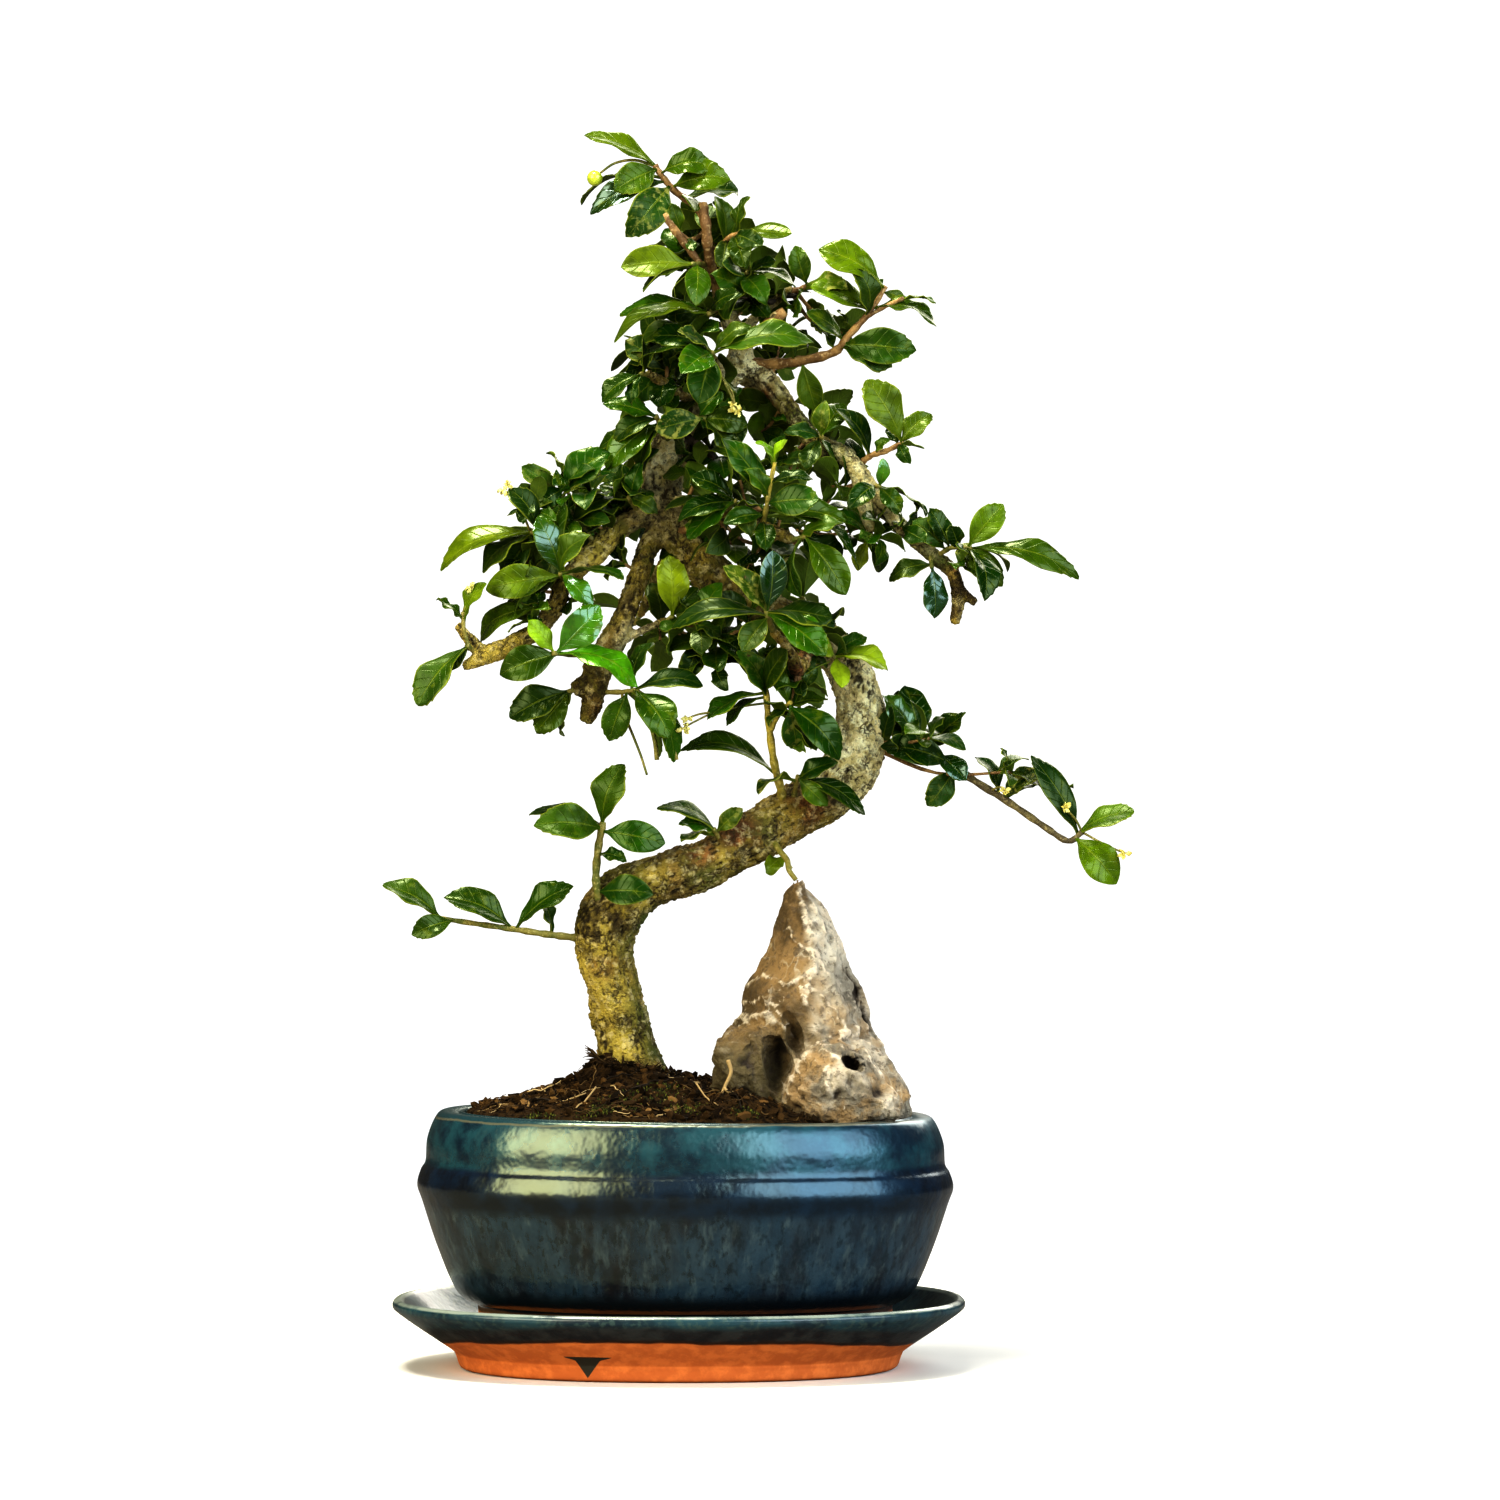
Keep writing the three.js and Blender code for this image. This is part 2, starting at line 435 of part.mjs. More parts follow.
      leaves: [[0.6, 766, 872, -7, 60]] },
  ],
  backLeft: [{ stem: [[620, 482, 49], [611, 487, 57]], ends: [3.6, 2.8], leaves: [], fill: 5 }],
  backLeftInner: [
    { stem: [[645, 463, 25], [654, 448, 34], [660, 432, 40]], ends: [3.4, 2.8], leaves: [], fill: 5 },
  ],
  backRight: [{ stem: [[803, 428, 47], [812, 438, 55]], ends: [3.6, 2.8], leaves: [], fill: 5 }],
  backRightInner: [{ stem: [[770, 387, 24], [774, 368, 34]], ends: [3.4, 2.8], leaves: [], fill: 5 }],
  backLow: [{ stem: [[641, 613, 47], [635, 624, 56]], ends: [3.6, 2.8], leaves: [], fill: 5 }],
  backLowInner: [{ stem: [[668, 562, 20], [688, 584, 36]], ends: [3.4, 2.8], leaves: [], fill: 4 }],
  backBend: [{ stem: [[808, 607, 53], [800, 594, 61]], ends: [3.6, 2.8], leaves: [], fill: 5 }],
  backBendInner: [{ stem: [[825, 630, 35], [816, 648, 43]], ends: [3.4, 2.8], leaves: [], fill: 4 }],
  backMiddle: [{ stem: [[757, 534, 47], [751, 522, 56]], ends: [3.6, 2.8], leaves: [], fill: 5 }],
  backMiddleInner: [{ stem: [[768, 572, 30], [790, 558, 38]], ends: [3.4, 2.8], leaves: [], fill: 4 }],
  backTop: [{ stem: [[738, 286, 30], [739, 272, 38]], ends: [3.4, 2.8], leaves: [], fill: 5 }],
  backCrown: [
    { stem: [[715, 278, 4], [700, 262, 20], [690, 250, 28]], ends: [3.4, 2.8], leaves: [], fill: 5 },
  ],
};
const BERRY = {
  pixel: [595, 178, -3],
  radius: 2.7,
  stalk: [[655, 166, -1], [635, 160, -2], [615, 163, -3], [600, 173, -3]],
  stalkRadius: 0.6,
};

// Small tools

// A repeatable draw between 0 and 1 for a numbered leaf or vertex
function chance(number) {
  const wave = Math.sin(number * 12.9898 + 4.1414) * 43758.5453;
  return wave - Math.floor(wave);
}

// A point of the front view in millimetres
function seen([across, down, depth]) {
  const spread = (MM_PER_PIXEL * (EYE_DISTANCE + depth)) / EYE_DISTANCE;
  return new THREE.Vector3(
    (EYE_PIXEL.across - ORIGIN_PIXEL.across) * MM_PER_PIXEL + (across - EYE_PIXEL.across) * spread,
    depth,
    (ORIGIN_PIXEL.down - EYE_PIXEL.down) * MM_PER_PIXEL + (EYE_PIXEL.down - down) * spread,
  );
}

// A closed solid from its points and triangles
function solidFrom(points, triangles) {
  const vertProperties = new Float32Array(points.flatMap((p) => [p.x, p.y, p.z]));
  return new wasm.Manifold(
    new wasm.Mesh({ numProp: 3, vertProperties, triVerts: new Uint32Array(triangles.flat()) }),
  );
}

// A three.js geometry with one vertex at each place
function mergedOnly(geometry) {
  geometry.deleteAttribute("normal");
  geometry.deleteAttribute("uv");
  return mergeVertices(geometry, 1e-4);
}

// A closed solid of one of three.js's own geometries
function solidOf(geometry) {
  const merged = mergedOnly(geometry);
  return new wasm.Manifold(
    new wasm.Mesh({
      numProp: 3,
      vertProperties: new Float32Array(merged.attributes.position.array),
      triVerts: new Uint32Array(merged.index.array),
    }),
  );
}

// A closed solid through rings of equal size, with a fan over the first and the last
function loft(rings) {
  const sides = rings[0].length;
  const points = rings.flat();
  const triangles = [];
  for (let ring = 0; ring + 1 < rings.length; ring++) {
    for (let side = 0; side < sides; side++) {
      const a = ring * sides + side;
      const b = ring * sides + ((side + 1) % sides);
      triangles.push([a, b, b + sides], [a, b + sides, a + sides]);
    }
  }
  const middleOf = (ring) => ring.reduce((sum, p) => sum.add(p), new THREE.Vector3()).divideScalar(sides);
  const first = points.push(middleOf(rings[0])) - 1;
  const last = points.push(middleOf(rings[rings.length - 1])) - 1;
  const top = (rings.length - 1) * sides;
  for (let side = 0; side < sides; side++) {
    const next = (side + 1) % sides;
    triangles.push([first, next, side], [last, top + side, top + next]);
  }
  return solidFrom(points, triangles);
}

// A tapering round stem along a line of points, each with its radius
function taperedStem(line, radii, sides, grow = 0) {
  const rings = [];
  let across = new THREE.Vector3(0.31, -0.87, 0.38);
  line.forEach((point, i) => {
    const along = line[Math.min(i + 1, line.length - 1)].clone().sub(line[Math.max(i - 1, 0)]).normalize();
    across = across.clone().addScaledVector(along, -across.dot(along)).normalize();
    const other = along.clone().cross(across);
    const radius = (radii[i] + grow) / Math.cos(Math.PI / sides / 2);
    const ring = [];
    for (let side = 0; side < sides; side++) {
      const angle = (2 * Math.PI * side) / sides;
      ring.push(
        point.clone()
          .addScaledVector(across, radius * Math.cos(angle))
          .addScaledVector(other, radius * Math.sin(angle)),
      );
    }
    rings.push(ring);
  });
  return loft(rings);
}

// A named mesh of a solid
function finished(name, solid, material) {
  const { vertProperties, triVerts } = solid.getMesh();
  const geometry = new THREE.BufferGeometry();
  geometry.setAttribute("position", new THREE.BufferAttribute(vertProperties, 3));
  geometry.setIndex(new THREE.BufferAttribute(triVerts, 1));
  geometry.computeVertexNormals();
  const mesh = new THREE.Mesh(geometry, material);
  mesh.name = name;
  return mesh;
}

// The largest body of a solid: a scrap that a cut leaves loose is dropped
function largestBody(solid) {
  return solid.decompose().sort((a, b) => b.volume() - a.volume())[0];
}

// Pot, saucer and soil

// A level ring of the oval, tipped a little where the pot's firing has warped it
function ovalRing([halfLength, z], depthShare, middleX, warp = 0) {
  const power = 2 / OVAL_POWER;
  const ring = [];
  for (let side = 0; side < WALL_SIDES; side++) {
    const angle = (2 * Math.PI * side) / WALL_SIDES;
    const [x, y] = [Math.cos(angle), Math.sin(angle)].map((s) => Math.sign(s) * Math.abs(s) ** power);
    const tip = ((warp * x * halfLength) / POT_HALF_LENGTH) * (z / POT_TOP_Z) ** 2;
    ring.push(new THREE.Vector3(middleX + x * halfLength, y * halfLength * depthShare, z - tip));
  }
  return ring;
}

function makeSaucer() {
  return loft(SAUCER_PROFILE.map((step) => ovalRing(step, SAUCER_DEPTH_SHARE, 0)));
}

function makePot() {
  const shell = loft(POT_PROFILE.map((step) => ovalRing(step, POT_DEPTH_SHARE, POT_MIDDLE_X, POT_WARP)));
  const holes = [-1, 1].map((end) => {
    const drill = new THREE.CylinderGeometry(DRAIN_HOLE_RADIUS, DRAIN_HOLE_RADIUS, POT_FLOOR_Z, DRILL_SIDES);
    drill.rotateX(Math.PI / 2).translate(POT_MIDDLE_X + end * DRAIN_HOLE_X, 0, POT_FLOOR_Z * 0.75);
    return solidOf(drill);
  });
  return holes.reduce((pot, hole) => pot.subtract(hole), shell);
}

function box(wide, deep, high, x, y, z) {
  return solidOf(new THREE.BoxGeometry(wide, deep, high).translate(x, y, z));
}

// A flat square of plastic mesh that lies over a drain hole and holds the soil back
function makeScreen(end) {
  const x = POT_MIDDLE_X + end * DRAIN_HOLE_X;
  const z = POT_FLOOR_Z + SEAT_GAP + SCREEN_THICKNESS / 2;
  let screen = box(SCREEN_SIDE, SCREEN_SIDE, SCREEN_THICKNESS, x, 0, z);
  for (const across of [-1, 1]) {
    for (const back of [-1, 1]) {
      const slotX = x + across * SCREEN_SLOT.stepX;
      const slotY = back * SCREEN_SLOT.stepY;
      const through = 3 * SCREEN_THICKNESS;
      screen = screen.subtract(box(SCREEN_SLOT.long, SCREEN_SLOT.wide, through, slotX, slotY, z));
    }
  }
  return screen;
}

// Height of the soil: nearly flat at the wall, a mound round the trunk
function groundZ(x, y, share) {
  const reach = ((x - MOUND.x) / MOUND.spreadX) ** 2 + (y / MOUND.spreadY) ** 2;
  const edge = SOIL_EDGE_Z - (POT_WARP * x) / POT_HALF_LENGTH;
  return edge + SOIL_RISE * (1 - share ** 3) + MOUND.height * Math.exp(-reach / 2);
}

function makeSoil(trunkHole, stoneHole) {
  const rings = SOIL_BODY.map((step) => ovalRing(step, POT_DEPTH_SHARE, POT_MIDDLE_X, POT_WARP));
  const edge = SOIL_BODY[SOIL_BODY.length - 1][0];
  for (const share of SOIL_RING_SHARES) {
    const ring = ovalRing([edge * share - 0.1, 0], POT_DEPTH_SHARE, POT_MIDDLE_X);
    ring.forEach((point, side) => {
      const crumb = share < 1 ? CRUMB * (chance(side + share * 971) - 0.5) : 0;
      point.z = groundZ(point.x, point.y, share) + crumb;
    });
    rings.push(ring);
  }
  let soil = loft(rings).subtract(trunkHole).subtract(stoneHole);
  const wide = SCREEN_SIDE + 2 * SEAT_GAP;
  const high = 2 * (SCREEN_THICKNESS + SEAT_GAP);
  for (const end of [-1, 1]) {
    soil = soil.subtract(box(wide, wide, high, POT_MIDDLE_X + end * DRAIN_HOLE_X, 0, POT_FLOOR_Z + SEAT_GAP));
  }
  return largestBody(soil);
}

// An egg-shaped lump of stone, or the same shape to cut away
function lump({ at, half, lean }, grow = 0) {
  const shape = mergedOnly(new THREE.IcosahedronGeometry(1, Math.max(...half) > LARGE_LUMP ? 1 : 0));
  const { position } = shape.attributes;
  for (let i = 0; i < position.count; i++) {
    const crag = 1 + LUMP_CRAG * (chance(i + at[0]) - 0.5);
    position.setXYZ(i, position.getX(i) * crag, position.getY(i) * crag, position.getZ(i) * crag);
  }
  shape.scale(...half.map((size) => size + grow)).rotateY(lean).translate(...seen(at).toArray());
  return solidOf(shape);
}

// A craggy limestone pinnacle: rings between its measured edges, with hollows, swollen by masses
function makeStone(grow = 0) {
  const rings = STONE_LEVELS.map(([down, left, right, front, back], level) => {
    const middle = seen([(left + right) / 2, down, STONE_MIDDLE_Y]);
    const halfWide = ((right - left) / 2) * MM_PER_PIXEL;
    const ring = [];
    for (let side = 0; side < STONE_SIDES; side++) {
      const angle = (2 * Math.PI * side) / STONE_SIDES;
      let crag = STONE_SHRINK + STONE_CRAG * (chance(side * 7 + level * 31) - 0.5);
      for (const { facing, wide, from, to, depth } of STONE_HOLLOWS) {
        if (down <= from || down >= to) continue;
        const off = Math.atan2(Math.sin(angle - facing), Math.cos(angle - facing)) / wide;
        crag -= depth * Math.exp(-off * off) * Math.sin((Math.PI * (down - from)) / (to - from));
      }
      if (Math.abs(Math.cos(angle)) > 0.95) crag = 1;
      const halfDeep = Math.sin(angle) > 0 ? back - STONE_MIDDLE_Y : STONE_MIDDLE_Y - front;
      const lift = level > 1 ? STONE_LEVEL_LIFT * (chance(side * 13 + level * 57) - 0.5) : 0;
      ring.push(
        new THREE.Vector3(
          middle.x + Math.cos(angle) * (halfWide * crag + grow),
          STONE_MIDDLE_Y + Math.sin(angle) * (halfDeep * crag + grow),
          middle.z + lift - (level === 0 ? grow : 0),
        ),
      );
    }
    return ring;
  });
  const masses = STONE_MASSES.map((mass) => lump(mass, grow));
  return wasm.Manifold.union([loft(rings), ...masses]);
}

// Trunk and limbs, grown as one piece of wood

// A stem along a line of the front view, whose fourth value is its half-width in pixels
function stemFromView(line, sides, grow) {
  return taperedStem(line.map(seen), line.map((row) => row[3] * MM_PER_PIXEL), sides, grow);
}

function makeWood(grow = 0) {
  const limbs = Object.values(LIMB_LINES).map((line) => {
    const isThick = line[0][3] > THICK_LIMB;
    return stemFromView(line, isThick ? 6 : 4, grow);
  });
  return wasm.Manifold.union([stemFromView(TRUNK_LINE, TRUNK_SIDES, grow), ...limbs]);
}

// Leafy sprays

// The blade's own axes: along it, and the way its upper face looks
function bladeFrame(base, tip, turn) {
  const along = tip.clone().sub(base).normalize();
  const toFront = new THREE.Vector3(0, -1, 0);
  toFront.addScaledVector(along, -toFront.dot(along)).normalize();
  const upward = toFront.clone().cross(along);
  if (upward.z < 0 || (upward.z === 0 && upward.x < 0)) upward.negate();
  const angle = THREE.MathUtils.degToRad(turn);
  const face = upward.multiplyScalar(Math.cos(angle)).addScaledVector(toFront, Math.sin(angle));
  return { along, face };
}

// A blade that is narrow at its bud and rounded at its tip, with a tooth each side of the tip on a large one.
// It is arched along its length and folded along its midrib.
function makeBlade({ base, tip, face, number }, from) {
  const along = tip.clone().sub(base);
  const length = along.length();
  const start = from ?? BUD_DEPTH / length;
  along.normalize();
  const side = along.clone().cross(face);
  const widen = 1 + BLADE_WIDTH_SPREAD * (chance(number) - 0.5);
  const half = 0.5 * Math.min(BLADE_ASPECT * length, BLADE_WIDTH_MOST) * widen;
  const arch = BLADE_ARCH * length * (1 + BLADE_ARCH_SPREAD * (chance(number + 0.5) - 0.5));
  const at = ([share, across]) =>
    base.clone()
      .addScaledVector(along, share * length)
      .addScaledVector(side, across * half)
      .addScaledVector(face, arch * Math.sin(Math.PI * share) + BLADE_FOLD * Math.abs(across) * half);
  const { edge } = BLADE_EDGES.find(({ upTo }) => length <= upTo);
  const otherEdge = edge.map(([share, across]) => [share, -across]).reverse();
  const outline = [[start, 0], ...edge, [1, 0], ...otherEdge];
  const rim = outline.length;
  const middle = [...outline, [RIB_SHARE, 0]].map(at);
  const count = middle.length;
  const lift = BLADE_THICKNESS / 2;
  const points = [
    ...middle.map((p) => p.clone().addScaledVector(face, lift)),
    ...middle.map((p) => p.clone().addScaledVector(face, -lift)),
  ];
  const triangles = [];
  for (let i = 0; i < rim; i++) {
    const next = (i + 1) % rim;
    triangles.push([rim, i, next], [rim + count, next + count, i + count]);
    triangles.push([i, i + count, next + count], [i, next + count, next]);
  }
  return solidFrom(points, triangles);
}

// A bud's place along its stem. Buds near the tip of a stem are spread over its last few millimetres.
function alongStem(line, share, number) {
  const lengths = line.slice(1).map((point, i) => point.distanceTo(line[i]));
  const total = lengths.reduce((sum, length) => sum + length, 0);
  let left = Math.min(share * total, total - BUD_STEP * (1 + (number % 4)));
  for (let i = 0; i < lengths.length; i++) {
    if (left <= lengths[i] + 1e-9) return line[i].clone().lerp(line[i + 1], left / lengths[i]);
    left -= lengths[i];
  }
  return line[line.length - 1].clone();
}

const wood = makeWood();
const woodWithGap = makeWood(HOLE_GAP);
const stone = STONE_PITS.reduce((solid, pit) => solid.subtract(lump(pit)), makeStone());
const soil = makeSoil(stemFromView(TRUNK_LINE, TRUNK_SIDES, HOLE_GAP), makeStone(HOLE_GAP));

// Whether two boxes come within a margin of each other
function boxesMeet(a, b, margin) {
  return [0, 1, 2].every((axis) => a.min[axis] - margin < b.max[axis] && b.min[axis] - margin < a.max[axis]);
}

// Leaves that the photograph shows: the tip is given in the front view
function placedLeafTries(leaf, line, number) {
  const [share, across, down, depthFromBud, turn] = leaf;
  const base = alongStem(line, share, number);
  return DEPTH_TRIES.map((shift) => {
    const tip = seen([across, down, base.y + depthFromBud + shift]);
    return { base, tip, face: bladeFrame(base, tip, turn).face, number };
  });
}

// Leaves by rule: they turn round the twig by the golden angle, lean out from it and lift a little
function ruleLeafTries(twig, order, line, number) {
  const onward = order / Math.max(1, twig.fill - 1);
  const share = RULE_LEAF.firstShare + (1 - RULE_LEAF.firstShare) * onward;
  const base = alongStem(line, share, number);
  const axis = line[line.length - 1].clone().sub(line[0]).normalize();
  const acrossAxis = new THREE.Vector3(0, 0, 1).cross(axis).normalize();
  const overAxis = axis.clone().cross(acrossAxis);
  const { firstLean, lastLean } = RULE_LEAF;
  const lean = THREE.MathUtils.degToRad(THREE.MathUtils.lerp(firstLean, lastLean, onward));
  const length = RULE_LEAF.length * (1 + RULE_LEAF.spread * (chance(number + 0.25) - 0.5));
  return TURN_TRIES.map((extra) => {
    const angle = GOLDEN_ANGLE * order + extra + 2 * Math.PI * chance(number - order);
    const way = axis.clone().multiplyScalar(Math.cos(lean))
      .addScaledVector(acrossAxis, Math.sin(lean) * Math.cos(angle))
      .addScaledVector(overAxis, Math.sin(lean) * Math.sin(angle));
    way.z += RULE_LEAF.lift;
    way.normalize();
    const face = new THREE.Vector3(0, 0, 1).addScaledVector(axis, RULE_LEAF.faceAlong);
    face.addScaledVector(way, -face.dot(way)).normalize();
    return { base, tip: base.clone().addScaledVector(way, length), face, number };
  });
}

const placed = []; // every stem and blade so far, with its spray and box

// Whether a blade keeps a gap to the other sprays, or to the other blades of its own
function isClear(solid, spray, gap, sameSpray) {
  const box = solid.boundingBox();
  return placed.every((other) => {
    if ((other.spray === spray) !== sameSpray) return true;
    if (sameSpray && other.stem) return true;
    if (!boxesMeet(box, other.box, gap)) return true;
    return solid.minGap(sameSpray ? other.outer : other.solid, gap * 2) >= gap;
  });
}

// Stems first, so that leaves keep clear of all of them
const stems = new Map();
Object.entries(SPRAYS).forEach(([spray, twigs]) => {
  stems.set(spray, twigs.map((twig) => {
    const line = twig.stem.map(seen);
    const radii = line.map((_, i) => {
      const share = i / (line.length - 1);
      return (twig.ends[0] * (1 - share) + twig.ends[1] * share) * MM_PER_PIXEL;
    });
    const solid = taperedStem(line, radii, STEM_SIDES);
    placed.push({ spray, stem: true, solid, box: solid.boundingBox() });
    return { line, solid };
  }));
});

// The first of the tries that keeps clear. Where none also keeps clear of its own spray, it may touch that.
function clearBlade(tries, spray) {
  for (const strict of [true, false]) {
    for (const one of tries) {
      const outer = makeBlade(one, OUTER_SHARE);
      if (outer.minGap(wood, 2 * WOOD_GAP) < WOOD_GAP) continue;
      if (!isClear(outer, spray, LEAF_GAP, false)) continue;
      if (strict && !isClear(outer, spray, SAME_SPRAY_GAP, true)) continue;
      const solid = makeBlade(one);
      if (isClear(solid, spray, LEAF_GAP, false)) return { solid, outer };
    }
  }
  return null;
}

// The stems and blades of one spray, fused and cut clear of the wood that they grow from
function growSpray([spray, twigs], sprayNumber) {
  const pieces = stems.get(spray).map((stem) => stem.solid);
  let number = sprayNumber * 100;
  twigs.forEach((twig, twigNumber) => {
    const { line } = stems.get(spray)[twigNumber];
    const wanted = [
      ...twig.leaves.map((leaf) => placedLeafTries(leaf, line, number++)),
      ...Array.from({ length: twig.fill || 0 }, (_, order) => ruleLeafTries(twig, order, line, number++)),
    ];
    for (const tries of wanted) {
      const chosen = clearBlade(tries, spray);
      if (!chosen) continue;
      placed.push({ spray, ...chosen, box: chosen.solid.boundingBox() });
      pieces.push(chosen.solid);
    }
  });
  if (spray === "apex") {
    const line = BERRY.stalk.map(seen);
    pieces.push(taperedStem(line, line.map(() => BERRY.stalkRadius), 4));
    const berry = new THREE.IcosahedronGeometry(BERRY.radius, 1);
    pieces.push(solidOf(berry.translate(...seen(BERRY.pixel).toArray())));
  }
  return largestBody(wasm.Manifold.union(pieces).subtract(woodWithGap));
}

// Assembly

const glaze = new THREE.MeshStandardMaterial({ color: 0x2f6f7c, roughness: 0.2, metalness: 0 });
const saucerGlaze = new THREE.MeshStandardMaterial({ color: 0x3a6470, roughness: 0.25, metalness: 0 });
const plastic = new THREE.MeshStandardMaterial({ color: 0x1f3d2a, roughness: 0.6, metalness: 0 });
const earth = new THREE.MeshStandardMaterial({ color: 0x35261c, roughness: 0.95, metalness: 0 });
const limestone = new THREE.MeshStandardMaterial({ color: 0xa89a86, roughness: 0.85, metalness: 0 });
const bark = new THREE.MeshStandardMaterial({ color: 0x7f7552, roughness: 0.85, metalness: 0 });
const leaf = new THREE.MeshStandardMaterial({ color: 0x3f6b2c, roughness: 0.35, metalness: 0 });

const bonsai = new THREE.Group();
bonsai.add(
  finished("saucer", makeSaucer(), saucerGlaze),
  finished("pot", makePot(), glaze),
  finished("drain_screen_left", makeScreen(-1), plastic),
  finished("drain_screen_right", makeScreen(1), plastic),
  finished("soil", soil, earth),
  finished("stone", stone, limestone),
  finished("trunk", wood, bark),
);
Object.entries(SPRAYS).forEach((entry, sprayNumber) => {
  const words = entry[0].replace(/[A-Z]/g, (letter) => "_" + letter.toLowerCase());
  bonsai.add(finished("spray_" + words, growSpray(entry, sprayNumber), leaf));
});

export default bonsai;
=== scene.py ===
# %% [markdown]
# # A fukien tea bonsai in a glazed pot
# This lesson dresses a plain model of a small indoor bonsai: a winding trunk, glossy spoon-shaped leaves,
# a limestone pinnacle, and an oval pot on its saucer. The plain solids are loaded first and give every
# place and size. Each step then builds one thing finely: leaves from a grid of points, bark and stone by
# moving the points of a dense mesh, and glazes from shader nodes.

# %% Load the plain model
import math

import bpy
import numpy as np
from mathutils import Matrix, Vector, noise
from mathutils.bvhtree import BVHTree
from mathutils.kdtree import KDTree


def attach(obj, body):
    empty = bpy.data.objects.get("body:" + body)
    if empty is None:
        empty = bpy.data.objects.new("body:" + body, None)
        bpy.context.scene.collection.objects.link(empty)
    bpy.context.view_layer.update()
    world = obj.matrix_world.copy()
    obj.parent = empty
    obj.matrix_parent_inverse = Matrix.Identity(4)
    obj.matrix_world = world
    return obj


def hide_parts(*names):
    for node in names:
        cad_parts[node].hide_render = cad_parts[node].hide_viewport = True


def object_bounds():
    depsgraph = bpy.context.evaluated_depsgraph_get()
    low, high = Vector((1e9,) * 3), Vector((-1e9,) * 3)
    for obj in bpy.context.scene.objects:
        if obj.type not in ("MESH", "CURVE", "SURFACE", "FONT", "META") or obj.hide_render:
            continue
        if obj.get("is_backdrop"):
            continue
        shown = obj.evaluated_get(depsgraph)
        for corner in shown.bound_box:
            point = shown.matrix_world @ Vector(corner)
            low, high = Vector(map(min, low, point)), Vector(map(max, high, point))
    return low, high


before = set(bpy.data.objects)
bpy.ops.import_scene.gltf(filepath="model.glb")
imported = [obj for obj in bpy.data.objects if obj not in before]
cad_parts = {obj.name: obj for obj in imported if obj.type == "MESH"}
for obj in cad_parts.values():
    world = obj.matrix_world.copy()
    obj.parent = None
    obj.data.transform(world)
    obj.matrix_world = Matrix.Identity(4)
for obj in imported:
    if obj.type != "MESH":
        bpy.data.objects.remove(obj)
cad_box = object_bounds()
MM = 0.001  # metres
noise.seed_set(7)
print("plain model:", len(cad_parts), "nodes")

# %% [markdown]
# ## Places in the front view
# The tree is laid out from a front view, as a painter would: across and down in pixels, and a depth in
# millimetres. One function turns such a place into millimetres, and the camera stands at the same eye.

# %% From the front view to millimetres
MM_PER_PIXEL = 0.34
EYE_DISTANCE = 2040
EYE_ACROSS, EYE_DOWN = 750, 765
ORIGIN_ACROSS, ORIGIN_DOWN = 679, 1365.6
EYE = ((EYE_ACROSS - ORIGIN_ACROSS) * MM_PER_PIXEL, 0, (ORIGIN_DOWN - EYE_DOWN) * MM_PER_PIXEL)
UP = np.array([0.0, 0.0, 1.0])
FRONT = np.array([0.0, -1.0, 0.0])
FRAME_PIXELS = 1500
SENSOR_WIDTH = 36


def chance(number):
    """A repeatable draw between 0 and 1 for a numbered thing."""
    wave = math.sin(number * 12.9898 + 4.1414) * 43758.5453
    return wave - math.floor(wave)


def seen(across, down, depth):
    """The point in millimetres that shows at a place of the front view, at a depth."""
    spread = MM_PER_PIXEL * (EYE_DISTANCE + depth) / EYE_DISTANCE
    return np.array([EYE[0] + (across - EYE_ACROSS) * spread, depth, EYE[2] + (EYE_DOWN - down) * spread])


def in_view(points):
    """Where points in millimetres show in the front view: across and down, in pixels."""
    nearness = EYE_DISTANCE / (EYE_DISTANCE + points[..., 1]) / MM_PER_PIXEL
    return EYE_ACROSS + (points[..., 0] - EYE[0]) * nearness, EYE_DOWN - (points[..., 2] - EYE[2]) * nearness


def unit(vector):
    return vector / np.linalg.norm(vector)


camera_data = bpy.data.cameras.new("camera")
camera_data.sensor_width = SENSOR_WIDTH
camera_data.lens = SENSOR_WIDTH * EYE_DISTANCE / (FRAME_PIXELS * MM_PER_PIXEL)
camera = bpy.data.objects.new("camera", camera_data)
camera.location = Vector((EYE[0], -EYE_DISTANCE, EYE[2])) * MM
look_up = math.atan((EYE_DOWN - FRAME_PIXELS / 2) * MM_PER_PIXEL / EYE_DISTANCE)
camera.rotation_euler = (math.pi / 2 + look_up, 0, 0)
bpy.context.scene.collection.objects.link(camera)
bpy.context.scene.camera = camera
print("camera at", tuple(round(v, 3) for v in camera.location))

# %% [markdown]
# ## Shader tools
# A finish is a network of nodes. A short helper adds a node and joins it to what comes before. Effects
# that several finishes share, cloudy patches and cracks, are node groups, which each finish sets in its
# own way.

# %% Add a node, open a group
tree = None  # the node tree that is being worked on: every helper adds to it


def add(kind, inputs=None, **settings):
    """Adds a node. Each input is given a plain value or the output of another node."""
    made = tree.nodes.new("ShaderNode" + kind)
    for key, value in settings.items():
        setattr(made, key, value)
    for key, value in (inputs or {}).items():
        if isinstance(value, bpy.types.NodeSocket):
            tree.links.new(value, made.inputs[key])
        else:
            made.inputs[key].default_value = value
    return made


def join(value, node, label):
    tree.links.new(value, node.inputs[label])


